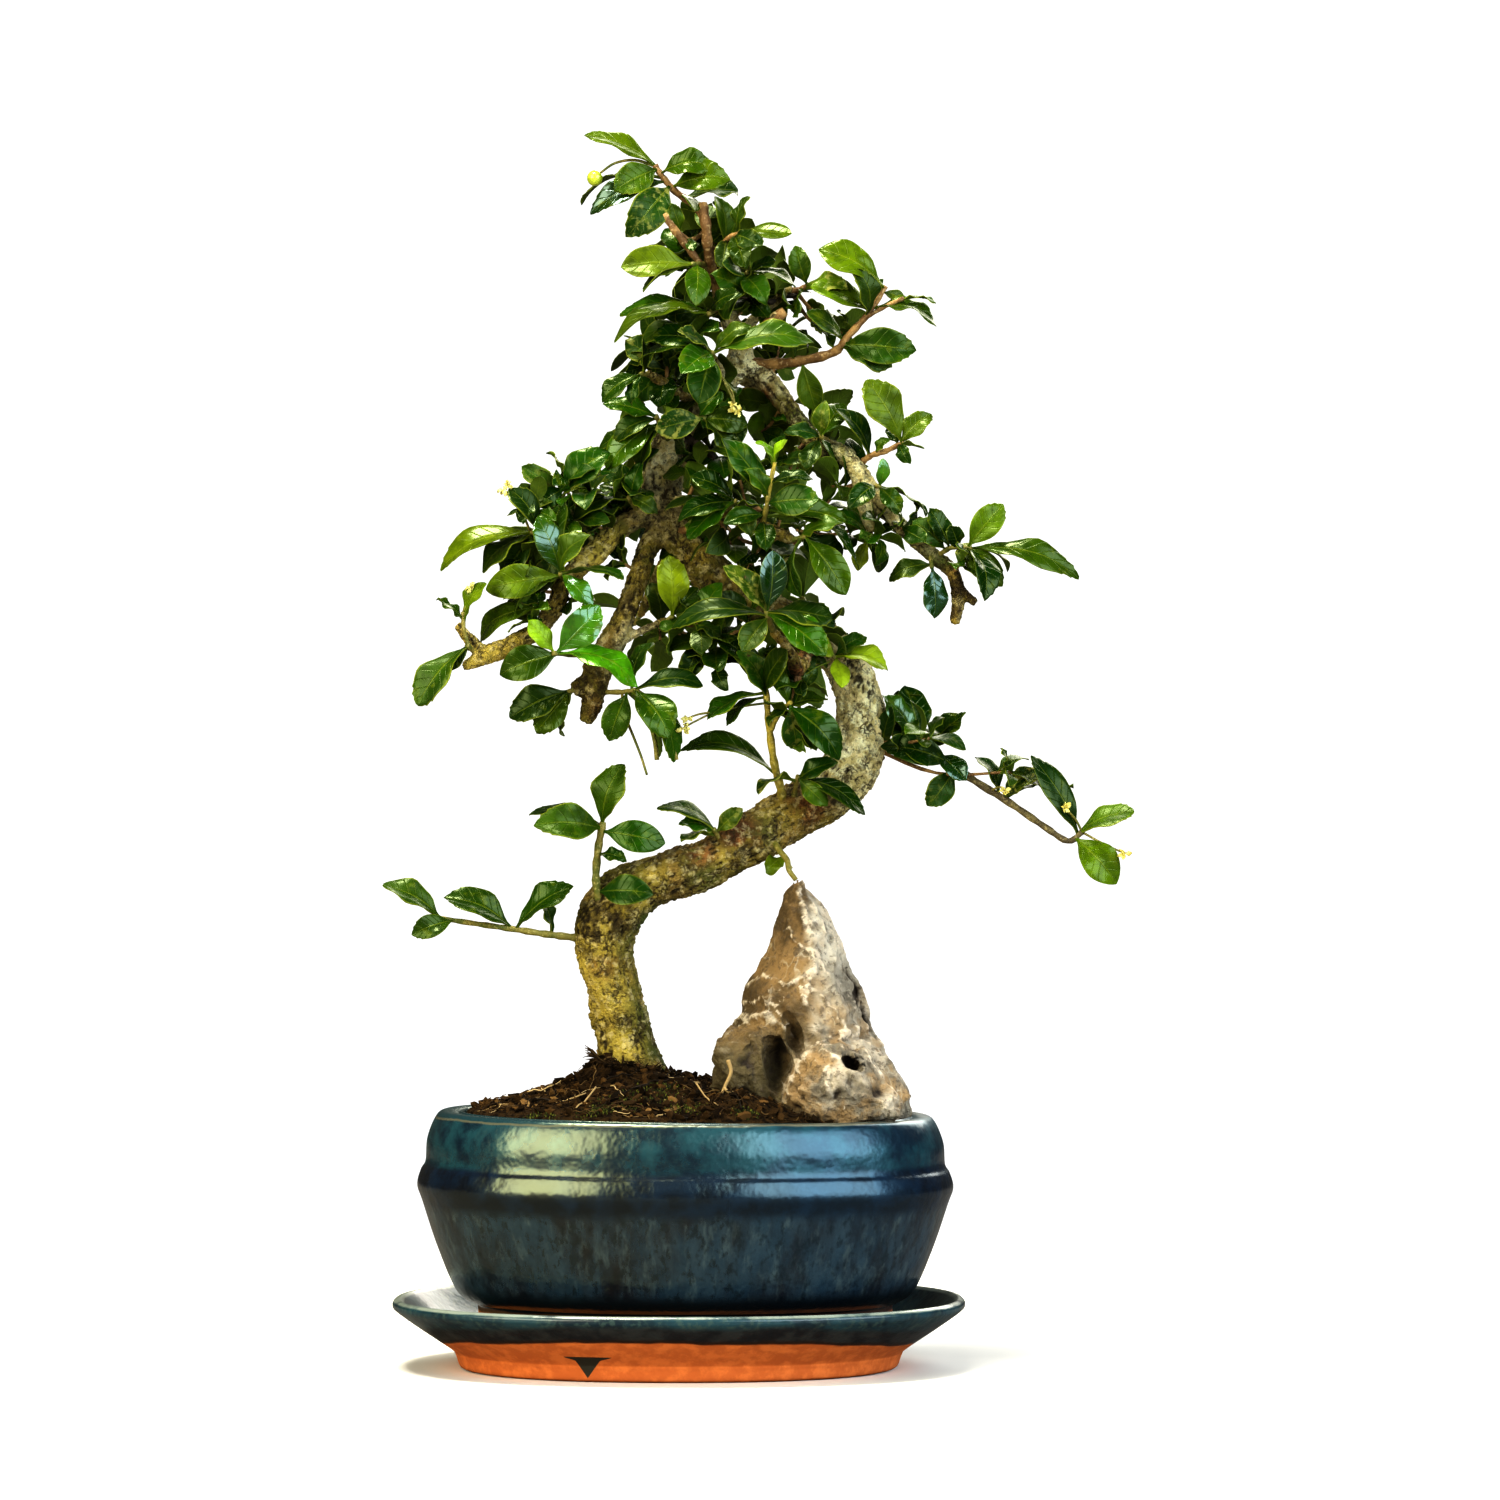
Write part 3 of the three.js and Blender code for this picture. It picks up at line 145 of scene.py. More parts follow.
def new_group(name, inputs):
    """Starts a node group that gives one mask: the group, what it is given, its place and its end."""
    global tree
    tree = bpy.data.node_groups.new(name, "ShaderNodeTree")
    for label, (kind, value) in inputs.items():
        socket = tree.interface.new_socket(label, in_out="INPUT", socket_type="NodeSocket" + kind)
        socket.default_value = value
    tree.interface.new_socket("Mask", in_out="OUTPUT", socket_type="NodeSocketFloat")
    given = tree.nodes.new("NodeGroupInput").outputs
    place = add("TexCoord").outputs["Object"]
    mapping = {"Vector": place, "Scale": given["Stretch"], "Location": given["Offset"]}
    return tree, given, add("Mapping", mapping).outputs[0], tree.nodes.new("NodeGroupOutput")


# %% The group of cloudy patches
patches_group, given, place, result = new_group("cloudy patches", {
    "Scale": ("Float", 30.0), "Stretch": ("Vector", (1, 1, 1)), "Offset": ("Vector", (0, 0, 0)),
    "Low": ("Float", 0.45), "High": ("Float", 0.6), "Detail": ("Float", 4.0)})
cloud = add("TexNoise", {
    "Vector": place, "Scale": given["Scale"], "Detail": given["Detail"], "Roughness": 0.6})
cut = add("MapRange", {
    "Value": cloud.outputs[0], "From Min": given["Low"], "From Max": given["High"]},
    interpolation_type="SMOOTHSTEP")
join(cut.outputs[0], result, "Mask")


def patches(scale, low, high, stretch=(1, 1, 1), offset=(0, 0, 0), detail=4.0):
    """Cloudy noise as a mask: 0 where it is below low, 1 where it is above high."""
    given = {"Scale": scale, "Low": low, "High": high, "Stretch": stretch, "Offset": offset, "Detail": detail}
    return add("Group", given, node_tree=patches_group).outputs["Mask"]


print("shared group:", patches_group.name)

# %% The group of cracks
cracks_group, given, place, result = new_group("cracks", {
    "Scale": ("Float", 200.0), "Stretch": ("Vector", (1, 1, 1)), "Offset": ("Vector", (0, 0, 0)),
    "Width": ("Float", 0.08), "Wander": ("Float", 0.3)})
wander = add("TexNoise", {"Vector": place, "Scale": given["Scale"]})
shifted = add("VectorMath", {0: wander.outputs["Color"], 1: (0.5, 0.5, 0.5)}, operation="SUBTRACT")
reach = add("Math", {0: given["Wander"], 1: given["Scale"]}, operation="DIVIDE")
scaled = add("VectorMath", {0: shifted.outputs[0], "Scale": reach.outputs[0]}, operation="SCALE")
moved = add("VectorMath", {0: place, 1: scaled.outputs[0]}, operation="ADD")
cells = add("TexVoronoi", {"Vector": moved.outputs[0], "Scale": given["Scale"]}, feature="DISTANCE_TO_EDGE")
near = add("MapRange", {
    "Value": cells.outputs["Distance"], "From Min": 0.0, "From Max": given["Width"],
    "To Min": 1.0, "To Max": 0.0}, interpolation_type="SMOOTHSTEP")
join(near.outputs[0], result, "Mask")


def cracks(scale, width, wander=0.3, stretch=(1, 1, 1)):
    """Thin lines between uneven cells as a mask."""
    given = {"Scale": scale, "Width": width, "Wander": wander, "Stretch": stretch}
    return add("Group", given, node_tree=cracks_group).outputs["Mask"]


print("shared group:", cracks_group.name)

# %% Mix colours and shares
def blend(share, first, second):
    """The first colour where the share is 0, the second where it is 1."""
    colours = {key: value if isinstance(value, bpy.types.NodeSocket) else (*value, 1)
               for key, value in ((6, first), (7, second))}
    return add("Mix", {0: share, **colours}, data_type="RGBA").outputs[2]


def sums(how, first, second=0):
    return add("Math", {0: first, 1: second}, operation=how).outputs[0]


def product(*shares):
    whole = shares[0]
    for share in shares[1:]:
        whole = sums("MULTIPLY", whole, share)
    return whole


def lay(under, over, *shares):
    """Lays a colour over another, as thickly as all the shares multiplied say."""
    return blend(product(*shares), under, over)


def ramp(value, low, high, start=0.0, end=1.0):
    """A value that goes softly from start to end while another goes from low to high."""
    ends = {"Value": value, "From Min": low, "From Max": high, "To Min": start, "To Max": end}
    return add("MapRange", ends, interpolation_type="SMOOTHSTEP").outputs[0]


def tones(value, stops):
    """A colour that changes along a value, from a list of (place, colour)."""
    made = add("ValToRGB", {"Fac": value})
    bands = made.color_ramp.elements
    while len(bands) < len(stops):
        bands.new(0.5)
    for band, (place, colour) in zip(bands, stops):
        band.position = place
        band.color = (*colour, 1)
    return made.outputs[0]


# %% Read what the mesh tells, start and end a finish
def apart(label):
    """The three values of a tag that the mesh carries on its points."""
    tag = add("Attribute", attribute_name=label, attribute_type="GEOMETRY")
    return add("SeparateXYZ", {0: tag.outputs["Vector"]}).outputs


def own(axis, kind="Object"):
    """Where a point is along one axis of its object, or with Normal how far it faces that way."""
    return add("SeparateXYZ", {0: add("TexCoord").outputs[kind]}).outputs[axis]


def finish_of(name, roughness=0.5, **plain):
    """Starts a new material: its shader and itself."""
    global tree
    material = bpy.data.materials.new(name)
    material.use_nodes = True
    tree = material.node_tree
    shader = tree.nodes["Principled BSDF"]
    shader.inputs["Roughness"].default_value = roughness
    for key, value in plain.items():
        shader.inputs[key.replace("_", " ").title().replace("Ior", "IOR")].default_value = value
    return shader, material


def paint(shader, colour, relief, strength, distance):
    """Gives the shader its colour, and a bump from a relief, whose full height is a distance in metres."""
    join(colour, shader, "Base Color")
    bump = add("Bump", {"Height": relief, "Strength": strength, "Distance": distance})
    join(bump.outputs[0], shader, "Normal")


def two_tone(name, roughness, cloud, first, second, grain, strength, distance, **plain):
    """A finish of two colours in patches, with a fine grain. cloud and grain are scale, low and high."""
    shader, material = finish_of(name, roughness, **plain)
    colour = blend(patches(*cloud), first, second)
    paint(shader, colour, patches(*grain), strength, distance)
    return material


def toned(name, roughness, specular, stops, grain, strength, distance):
    """A finish whose colour follows the first value of the tone that each small thing carries."""
    shader, material = finish_of(name, roughness, specular_ior_level=specular)
    paint(shader, tones(apart("tone")[0], stops), patches(*grain), strength, distance)
    return material


print("shader tools ready")

# %% [markdown]
# ## Light
# The plant stands in a bright room. Two large soft lights beside the camera stand for windows: their
# bright shapes in the glaze tell the eye that it is glossy. A third, from above, brings out the leaves,
# and a fourth lights the back. The camera sees plain white surroundings, but they give the plant only a
# little warm light.

# %% Lights and surroundings
AIM = Vector((0.02, 0, 0.2))


def soft_light(name, place, size, power, colour):
    data = bpy.data.lights.new(name, "AREA")
    data.shape = "RECTANGLE"
    data.size, data.size_y = size
    data.energy = power
    data.color = colour
    light = bpy.data.objects.new(name, data)
    light.location = place
    light.rotation_euler = (AIM - Vector(place)).to_track_quat("-Z", "Y").to_euler()
    light.visible_camera = False
    bpy.context.scene.collection.objects.link(light)
    print(name, power, "W")


soft_light("window_left", (-1.6, -1.6, 1.0), (1.8, 1.7), 70, (1.0, 0.94, 0.72))
soft_light("window_right", (1.5, -1.5, 1.0), (2.4, 1.6), 66, (0.86, 0.94, 1.0))
soft_light("sky", (-0.35, -0.25, 1.9), (0.55, 0.55), 46, (1.0, 0.94, 0.80))
soft_light("back", (0.7, 1.7, 1.4), (1.6, 1.4), 36, (1.0, 0.95, 0.85))

world = bpy.data.worlds.new("surroundings")
bpy.context.scene.world = world
world.use_nodes = True
tree = world.node_tree
tree.nodes.clear()
seen_white = add("Background", {"Color": (1, 1, 1, 1), "Strength": 1.0})
warm_room = add("Background", {"Color": (1.0, 0.93, 0.72, 1), "Strength": 0.08})
by_camera = add("LightPath").outputs["Is Camera Ray"]
either = add("MixShader", {0: by_camera, 1: warm_room.outputs[0], 2: seen_white.outputs[0]})
add("OutputWorld", {0: either.outputs[0]})
display = bpy.context.scene.view_settings
display.view_transform = "Standard"
display.look = "Medium High Contrast"
display.gamma = 0.84

# %% [markdown]
# ## Tools for meshes
# Every piece is made as arrays of points in millimetres and a list of faces. A tube follows a smooth
# curve through a few given points. A dense skin over several overlapping tubes comes from a voxel remesh,
# which melts them into one body as branches grow together.

# %% Points and faces to a piece
def linked(thing):
    bpy.context.scene.collection.objects.link(thing)
    return thing


def piece_of(name, points, faces, finish=None, replaces=(), slot=None, tags=None, sharp=None):
    """A mesh object in metres that rides on the part. tags are values for each point that shaders read."""
    mesh = bpy.data.meshes.new(name)
    mesh.from_pydata((np.asarray(points) * MM).tolist(), [], faces)
    mesh.polygons.foreach_set("use_smooth", [True] * len(mesh.polygons))
    for label, values in (tags or {}).items():
        tag_mesh(mesh, label, values)
    if sharp:
        mesh.set_sharp_from_angle(angle=math.radians(sharp))
    mesh.update()
    if finish:
        mesh.materials.append(finish)
    thing = linked(bpy.data.objects.new(name, mesh))
    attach(thing, "root")
    if replaces:
        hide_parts(*replaces)
    return thing


def tag_mesh(mesh, label, values):
    """Three values for each point, which a shader reads under this label."""
    layer = mesh.attributes.new(label, "FLOAT_VECTOR", "POINT")
    layer.data.foreach_set("vector", np.asarray(values, dtype=np.float32).ravel())


def copy_of_node(name, node):
    """A new piece with a copy of a plain node's mesh, which it replaces."""
    thing = linked(bpy.data.objects.new(name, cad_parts[node].data.copy()))
    thing.data.materials.clear()
    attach(thing, "root")
    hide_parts(node)
    return thing


# %% Curves and tubes
SIDE_HINT = np.array([0.31, -0.87, 0.38])


def smooth_line(points, radii, steps=6):
    """A curve through all the points, with the radii carried along it."""
    rows = np.column_stack([points, radii]).astype(float)
    padded = np.vstack([2 * rows[0] - rows[1], rows, 2 * rows[-1] - rows[-2]])
    out = []
    for i in range(len(rows) - 1):
        p0, p1, p2, p3 = padded[i:i + 4]
        for t in np.arange(steps) / steps:
            out.append(0.5 * (2 * p1 + (p2 - p0) * t + (2 * p0 - 5 * p1 + 4 * p2 - p3) * t * t
                              + (3 * p1 - p0 - 3 * p2 + p3) * t ** 3))
    out.append(rows[-1])
    out = np.array(out)
    return out[:, :3], np.maximum(out[:, 3], 0.05)


def ring_faces(rings, sides):
    """The faces between rings of points, and two fans to the two last points, which close the ends."""
    faces = []
    for ring in range(rings - 1):
        for k in range(sides):
            a, b = ring * sides + k, ring * sides + (k + 1) % sides
            faces.append([a, b, b + sides, a + sides])
    first, last = rings * sides, rings * sides + 1
    top = (rings - 1) * sides
    for k in range(sides):
        faces.append([first, (k + 1) % sides, k])
        faces.append([last, top + k, top + (k + 1) % sides])
    return faces


def tube(points, radii, sides):
    """Rings round a curve, with a point at each end: its points and faces."""
    points = np.asarray(points, dtype=float)
    side = SIDE_HINT
    rings = []
    turn = 2 * np.pi * np.arange(sides) / sides
    for i, point in enumerate(points):
        along = unit(points[min(i + 1, len(points) - 1)] - points[max(i - 1, 0)])
        side = unit(side - along * (side @ along))
        other = np.cross(along, side)
        rings.append(point + radii[i] * (np.outer(np.cos(turn), side) + np.outer(np.sin(turn), other)))
    return np.vstack(rings + [points[:1], points[-1:]]), ring_faces(len(points), sides)


# %% A pile of small shapes
class Pile:
    """Gathers many small closed shapes into one mesh."""

    def __init__(self):
        self.points, self.faces, self.count = [], [], 0
        self.tags = {}

    def put(self, points, faces, **tags):
        self.points.append(points)
        self.faces += [[corner + self.count for corner in face] for face in faces]
        self.count += len(points)
        for label, values in tags.items():
            self.tags.setdefault(label, []).append(np.broadcast_to(values, (len(points), 3)))

    def put_line(self, rows, ends, sides, steps=5, knobs=(0, 0)):
        """A tube through places of the front view. knobs are how much and how often it swells."""
        curve, radii = smooth_line([seen(*row) for row in rows], np.linspace(*ends, len(rows)), steps)
        swell, pace = knobs
        self.put(*tube(curve, radii * (1 + swell * np.sin(np.arange(len(curve)) * pace)), sides))

    def piece(self, name, finish=None, **more):
        tags = {label: np.vstack(values) for label, values in self.tags.items()}
        return piece_of(name, np.vstack(self.points), self.faces, finish, tags=tags, **more)


# %% Remesh a piece and move its points
def settled(thing):
    """Applies the modifiers of a piece to its mesh."""
    made = bpy.data.meshes.new_from_object(thing.evaluated_get(bpy.context.evaluated_depsgraph_get()))
    thing.modifiers.clear()
    thing.data = made
    made.polygons.foreach_set("use_smooth", [True] * len(made.polygons))
    return made


def remeshed(thing, voxel, smooth_steps):
    """One dense skin over everything in the mesh, from small cubes of a size in millimetres."""
    skin = thing.modifiers.new("skin", "REMESH")
    skin.mode = "VOXEL"
    skin.voxel_size = voxel * MM
    soft = thing.modifiers.new("soft", "SMOOTH")
    soft.iterations = smooth_steps
    soft.factor = 0.5
    return settled(thing)


def rows_of(values, label):
    flat = np.empty(len(values) * 3, dtype=np.float32)
    values.foreach_get(label, flat)
    return flat.reshape(-1, 3).astype(float)


def places_of(mesh):
    return rows_of(mesh.vertices, "co") / MM


def normals_of(mesh):
    return rows_of(mesh.vertex_normals, "vector")


def put_back(mesh, points):
    mesh.vertices.foreach_set("co", (points * MM).astype(np.float32).ravel())
    mesh.update()


def finder_of(points):
    """Finds the nearest of many points, and how far it is."""
    finder = KDTree(len(points))
    for number, point in enumerate(points):
        finder.insert(point, number)
    finder.balance()
    return finder


print("mesh tools ready")

# %% [markdown]
# ## The wood
# Trunk and limbs grew as one piece. Each is a tube along a curve through measured places, given as
# across, down, depth and half-width in pixels. Modelling the same bends by hand with a skin or sculpting
# tools would be slower to correct, so the places are written out, from the soil up and from the trunk
# out.

# %% The lines of the trunk and its limbs
TRUNK_LINE = [
  [646, 1160, 4, 42], [642, 1122, 3, 42], [637, 1088, 2, 36], [628, 1052, 1, 28.5], [620, 1020, 0, 27],
  [611, 985, -2, 26], [605, 955, -4, 27], [608, 922, -6, 30], [627, 896, -7, 29], [655, 881, -7, 25],
  [700, 865, -5, 23], [735, 847, -2, 24], [765, 830, 2, 26], [800, 810, 6, 26], [833, 788, 9, 28],
  [854, 761, 11, 28], [862, 733, 12, 26], [860, 704, 12, 23], [852, 677, 11, 22], [836, 654, 9, 21],
  [811, 634, 6, 20.5], [780, 617, 3, 20], [750, 602, 1, 19.5], [722, 584, 0, 19], [699, 563, 0, 18.5],
  [681, 541, 1, 18], [668, 517, 3, 18.5], [662, 493, 4, 20], [664, 468, 5, 20], [672, 446, 6, 19],
  [684, 425, 6, 16], [702, 402, 6, 14], [724, 381, 6, 13], [740, 360, 6, 13], [738, 338, 6, 11],
  [727, 312, 5, 9], [718, 286, 4, 7.5], [711, 258, 3, 6.5], [708, 244, 3, 6],
]
LIMB_LINES = {
  "rightLimb": [
    [740, 362, 6, 10], [762, 376, 4, 11], [784, 402, 0, 10.5], [802, 428, -4, 10.5], [818, 446, -7, 10],
    [845, 456, -9, 9.5], [863, 478, -11, 9.5], [884, 508, -13, 9], [911, 535, -14, 8],
    [934, 556, -15, 7.5], [953, 572, -16, 7], [958, 598, -17, 6.5], [955, 624, -18, 5],
  ],
  "rightLimbStub": [[956, 588, -17, 5.5], [976, 603, -17, 4]],
  "rightLimbKnot": [[860, 482, -11, 8], [867, 508, -10, 9], [870, 532, -9, 7]],
  "leftLimb": [
    [668, 517, 3, 12], [640, 516, -3, 12], [615, 532, -8, 11.5], [597, 552, -12, 11], [580, 566, -15, 10],
    [563, 582, -18, 9], [556, 604, -20, 9], [540, 627, -22, 9], [512, 645, -24, 9.5],
    [485, 655, -25, 9], [463, 667, -26, 4.5],
  ],
  "leftLimbFork": [[484, 654, -25, 7], [471, 641, -25, 6], [457, 625, -25, 4.5]],
  "hangingLimb": [
    [664, 528, 3, 13], [648, 548, -3, 13], [640, 570, -7, 12], [632, 595, -10, 12], [622, 622, -12, 13],
    [608, 650, -13, 16], [596, 675, -14, 17], [592, 700, -14, 13], [585, 722, -14, 8],
  ],
  "hangingLimbKnob": [[598, 676, -14, 10], [573, 690, -16, 7]],
  "hangingLimbSpur": [[622, 640, -12, 5], [650, 627, -14, 4], [668, 620, -15, 4.5]],
  "frontLimb": [
    [664, 500, 4, 10], [690, 505, -10, 9], [725, 515, -22, 8], [765, 528, -30, 7], [793, 540, -33, 5.5],
  ],
  "frontLowLimb": [
    [811, 634, 6, 11], [803, 652, -8, 11], [797, 668, -18, 9], [790, 652, -26, 5.5], [772, 630, -29, 4.5],
  ],
  "frontTopLimb": [[724, 381, 6, 8], [717, 369, -10, 6.5], [713, 358, -22, 4.5]],
  "leftTopLimb": [[702, 402, 6, 7], [680, 392, -6, 6.5], [660, 381, -16, 5.5], [647, 373, -21, 4]],
  "rightTopStub": [[738, 338, 6, 6], [757, 316, 0, 5.5], [776, 300, -4, 5], [793, 288, -5, 4]],
  "cutStub": [[740, 345, 3, 5], [760, 330, -8, 4.5], [777, 313, -14, 4]],
  "backLeftLimb": [[664, 470, 5, 9], [648, 462, 22, 8], [632, 470, 38, 6.5], [618, 484, 50, 4.5]],
  "backRightLimb": [[735, 370, 6, 9], [762, 387, 22, 8], [786, 406, 37, 6.5], [804, 429, 48, 4.5]],
  "backLowLimb": [[681, 541, 1, 9], [668, 562, 20, 8], [652, 590, 36, 6.5], [640, 615, 48, 4.5]],
  "backBendLimb": [[836, 654, 9, 9], [832, 640, 26, 8], [820, 622, 42, 6], [808, 606, 54, 4.5]],
  "backMiddleLimb": [[780, 617, 3, 9], [772, 590, 20, 8], [766, 560, 36, 6], [756, 532, 48, 4.5]],
  "backTopLimb": [[727, 312, 5, 7], [734, 300, 18, 5.5], [738, 284, 31, 4]],
}

# %% [markdown]
# A voxel remesh melts the tubes together, as branches grow into each other. The bark is then raised point
# by point: the nearest place on the curves tells how far along the stem and round it a point is, so that
# the ridges of the bark run with the stem. A bump alone would leave the outline smooth.

# %% Join the tubes
WOOD_VOXEL = 0.78
TRUNK_SIDES, LIMB_SIDES = 20, 12
LIMB_SHARE, HANGING_SHARE = 1.01, 0.84
NEXT_LIMB = 500  # how far apart the bark patterns of two limbs start
wood_pile = Pile()
core, core_along, core_radius, core_way = [], [], [], []
for limb_number, (name, limb) in enumerate([("trunk", TRUNK_LINE), *LIMB_LINES.items()]):
    spots = np.array([seen(*row[:3]) for row in limb])
    curve, radii = smooth_line(spots, [row[3] * MM_PER_PIXEL for row in limb])
    share = HANGING_SHARE if name == "hangingLimb" else LIMB_SHARE
    wood_pile.put(*tube(curve, radii * share, LIMB_SIDES if limb_number else TRUNK_SIDES))
    steps = np.linalg.norm(np.diff(curve, axis=0), axis=1)
    core.append(curve)
    core_radius.append(radii)
    core_along.append(np.concatenate([[0], np.cumsum(steps)]) + NEXT_LIMB * limb_number)
    core_way.append(np.gradient(curve, axis=0))
core, core_along = np.vstack(core), np.concatenate(core_along)
core_radius, core_way = np.concatenate(core_radius), np.vstack(core_way)
core_tree = finder_of(core)
trunk_and_limbs = wood_pile.piece("trunk_and_limbs")
bark_mesh = remeshed(trunk_and_limbs, WOOD_VOXEL, 4)
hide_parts("trunk")
print("wood:", len(bark_mesh.vertices), "points")

# %% Knots, scars and weather
# knots, burls and scars: place, radius and how far they stand out, in millimetres
KNOTS = [
    ((805, 672, -8), 5.0, 1.6), ((868, 728, 4), 1.6, -1.0), ((858, 678, 4), 1.4, -0.8),
    ((846, 796, 0), 1.8, -0.9), ((600, 995, -10), 4.0, 0.9),
    ((588, 924, -12), 4.5, 1.4), ((740, 832, -8), 3.4, 0.8), ((846, 760, 3), 3.6, 1.0),
    ((668, 470, -2), 4.0, 1.4), ((655, 500, -2), 3.6, 1.5), ((610, 710, -19), 3.0, -1.6),
    ((600, 655, -18), 3.4, 1.3), ((850, 690, 4), 3.0, 0.9), ((484, 655, -29), 2.6, 1.0),
    ((597, 1046, -6), 2.6, 1.2), ((664, 1070, -6), 4.0, 1.2), ((612, 1072, -8), 4.0, 1.3),
    ((690, 450, -2), 2.6, -1.5), ((588, 672, -26), 3.0, 1.5), ((612, 664, -24), 2.6, 1.3),
    ((582, 694, -26), 2.8, 1.6), ((612, 700, -24), 2.4, 1.1), ((624, 636, -20), 2.6, 1.2),
    ((676, 492, -4), 2.4, -1.4), ((838, 800, 0), 3.0, 1.0),
]
# where the bark is pale with lichen, rusty, lit by painted sunlight (at the left limb's end also yellow bare
# wood), mossy, and darkened by painted shade: place and radius
LICHEN = [((868, 735, 6), 26), ((852, 680, 4), 20), ((668, 470, 0), 22), ((740, 350, 0), 20),
          ((880, 500, -18), 24), ((640, 640, -16), 8)]
RUST = [((803, 652, -12), 10), ((797, 668, -20), 9), ((706, 215, 2), 18), ((665, 180, 0), 8),
        ((738, 834, -8), 9), ((606, 712, -18), 6),
        ((808, 806, 0), 9), ((700, 850, -12), 7), ((604, 965, -10), 5), ((760, 400, 0), 6)]
SUNLIT_SPOTS = [((590, 960, -14), 15), ((606, 1010, -14), 14), ((622, 1048, -14), 12), ((640, 900, -20), 10),
         ((720, 860, -18), 10), ((840, 690, -10), 12), ((480, 650, -34), 22), ((515, 636, -34), 14),
         ((628, 600, -16), 12), ((600, 560, -20), 14)]
MOSSY = [((648, 930, -4), 13), ((662, 1000, -2), 13), ((676, 1060, -4), 12), ((760, 836, -14), 12),
         ((840, 800, -6), 10), ((700, 870, -8), 8), ((802, 428, -7), 9), ((845, 456, -12), 10),
         ((863, 478, -14), 9), ((884, 508, -15), 9), ((911, 535, -16), 9), ((934, 556, -17), 8)]
SHADED_SPOTS = [((594, 935, -12), 8), ((612, 918, -14), 8), ((600, 1070, -10), 6), ((960, 600, -20), 16),
        ((655, 500, -4), 12), ((600, 690, -24), 12), ((812, 700, -2), 7), ((640, 610, -14), 10)]
print(len(KNOTS), "knots and scars")

# %% Raise the bark
LUMP_HEIGHT, FLAKE_HEIGHT, GROOVE_DEPTH, GRAIN_HEIGHT = 1.3, 0.7, 0.9, 0.34
THIN_LIMB = 7  # millimetres of radius under which the bark gets flatter
points, outward = places_of(bark_mesh), normals_of(bark_mesh)
# crevice: how sunken a point of the bark is; the shader paints shade into it, sunken scars too
raised, crevice = np.zeros(len(points)), np.zeros(len(points))
for i, point in enumerate(points):
    _, near, _ = core_tree.find(point)
    way = unit(core_way[near])
    right = unit(np.cross(way, unit(SIDE_HINT)))
    front = np.cross(right, way)
    off = point - core[near]
    turn = math.atan2(off @ right, off @ front)
    radius = core_radius[near]
    girth = 0.75 * radius + 1.5
    ring = Vector((math.cos(turn) * girth, math.sin(turn) * girth, core_along[near] * 0.45))
    wander = noise.noise_vector(ring * 0.35) * 1.6
    lumps = noise.noise(ring * 0.16)
    edges, _ = noise.voronoi((ring + wander) * 0.33)
    plate = min(1.0, (edges[1] - edges[0]) * 2.6)
    cut = max(0.0, noise.noise(ring * 0.12 + Vector((7, 0, 0))) + 0.45)
    flakes = 1 - 2.2 * abs(noise.noise(ring * 0.55 + wander))
    grain = noise.noise(Vector(point * 0.9)) + 0.6 * noise.noise(Vector(point * 1.7))
    groove = min(1.0, (1 - plate) * cut * 1.5)
    high = LUMP_HEIGHT * lumps - GROOVE_DEPTH * groove + FLAKE_HEIGHT * flakes
    raised[i] = min(1.0, radius / THIN_LIMB) * high + GRAIN_HEIGHT * grain
    crevice[i] = np.clip(0.45 - 0.5 * flakes + 0.6 * groove - 0.35 * grain, 0, 1)
for place, radius, height in KNOTS:
    away = np.linalg.norm(points - seen(*place), axis=1) / radius
    raised += height * np.exp(-away ** 2)
    if height < 0:
        crevice += np.exp(-away ** 2)
put_back(bark_mesh, points + outward * raised[:, None])
print("bark raised by up to", round(raised.max(), 1), "mm")


# %% Tag the bark with lichen, rust, moss, painted sunlight and painted shade
def nearness(spots):
    """From 0 to 1, how near each point of the bark is to the nearest of several places."""
    near = np.zeros(len(points))
    for place, radius in spots:
        away = np.linalg.norm(points - seen(*place), axis=1) / radius
        near = np.maximum(near, np.clip(1.6 - 1.3 * away, 0, 1))
    return near


tag_mesh(bark_mesh, "bark", np.column_stack([np.clip(crevice, 0, 1), nearness(LICHEN), nearness(RUST)]))
# the second tag: painted sunlight, moss and painted shade, each from 0 to 1
tag_mesh(bark_mesh, "sun_moss_shade", np.column_stack([nearness(spots) for spots in (SUNLIT_SPOTS, MOSSY, SHADED_SPOTS)]))
print("bark tagged at", len(LICHEN + RUST + SUNLIT_SPOTS + MOSSY + SHADED_SPOTS), "places")

# %% [markdown]
# ## Bark finish
# The bark is a patchwork of grey, ochre and moss green, paler on the ridges and nearly black in the cracks,
# where shade is painted. Large soft patches choose between the colours where the tags allow them, among them
# painted sunlight and painted shade, and thin cracks darken them and sink in the bump.

# %% Bark shader
shader, bark_finish = finish_of("bark", 0.75, specular_ior_level=0.3)
crevice, lichen, rust = apart("bark")
# painted sunlight and painted shade at listed places, and real moss
painted_sunlight, mossy, dark = apart("sun_moss_shade")
olive_bark = blend(patches(70, 0.36, 0.62), (0.36, 0.27, 0.055), (0.18, 0.16, 0.026))
ochre = lay(olive_bark, (0.42, 0.29, 0.08), patches(110, 0.5, 0.66, offset=(3, 1, 0)))
browned = lay(ochre, (0.16, 0.105, 0.03), patches(60, 0.52, 0.66, offset=(0, 5, 2)), 0.7)
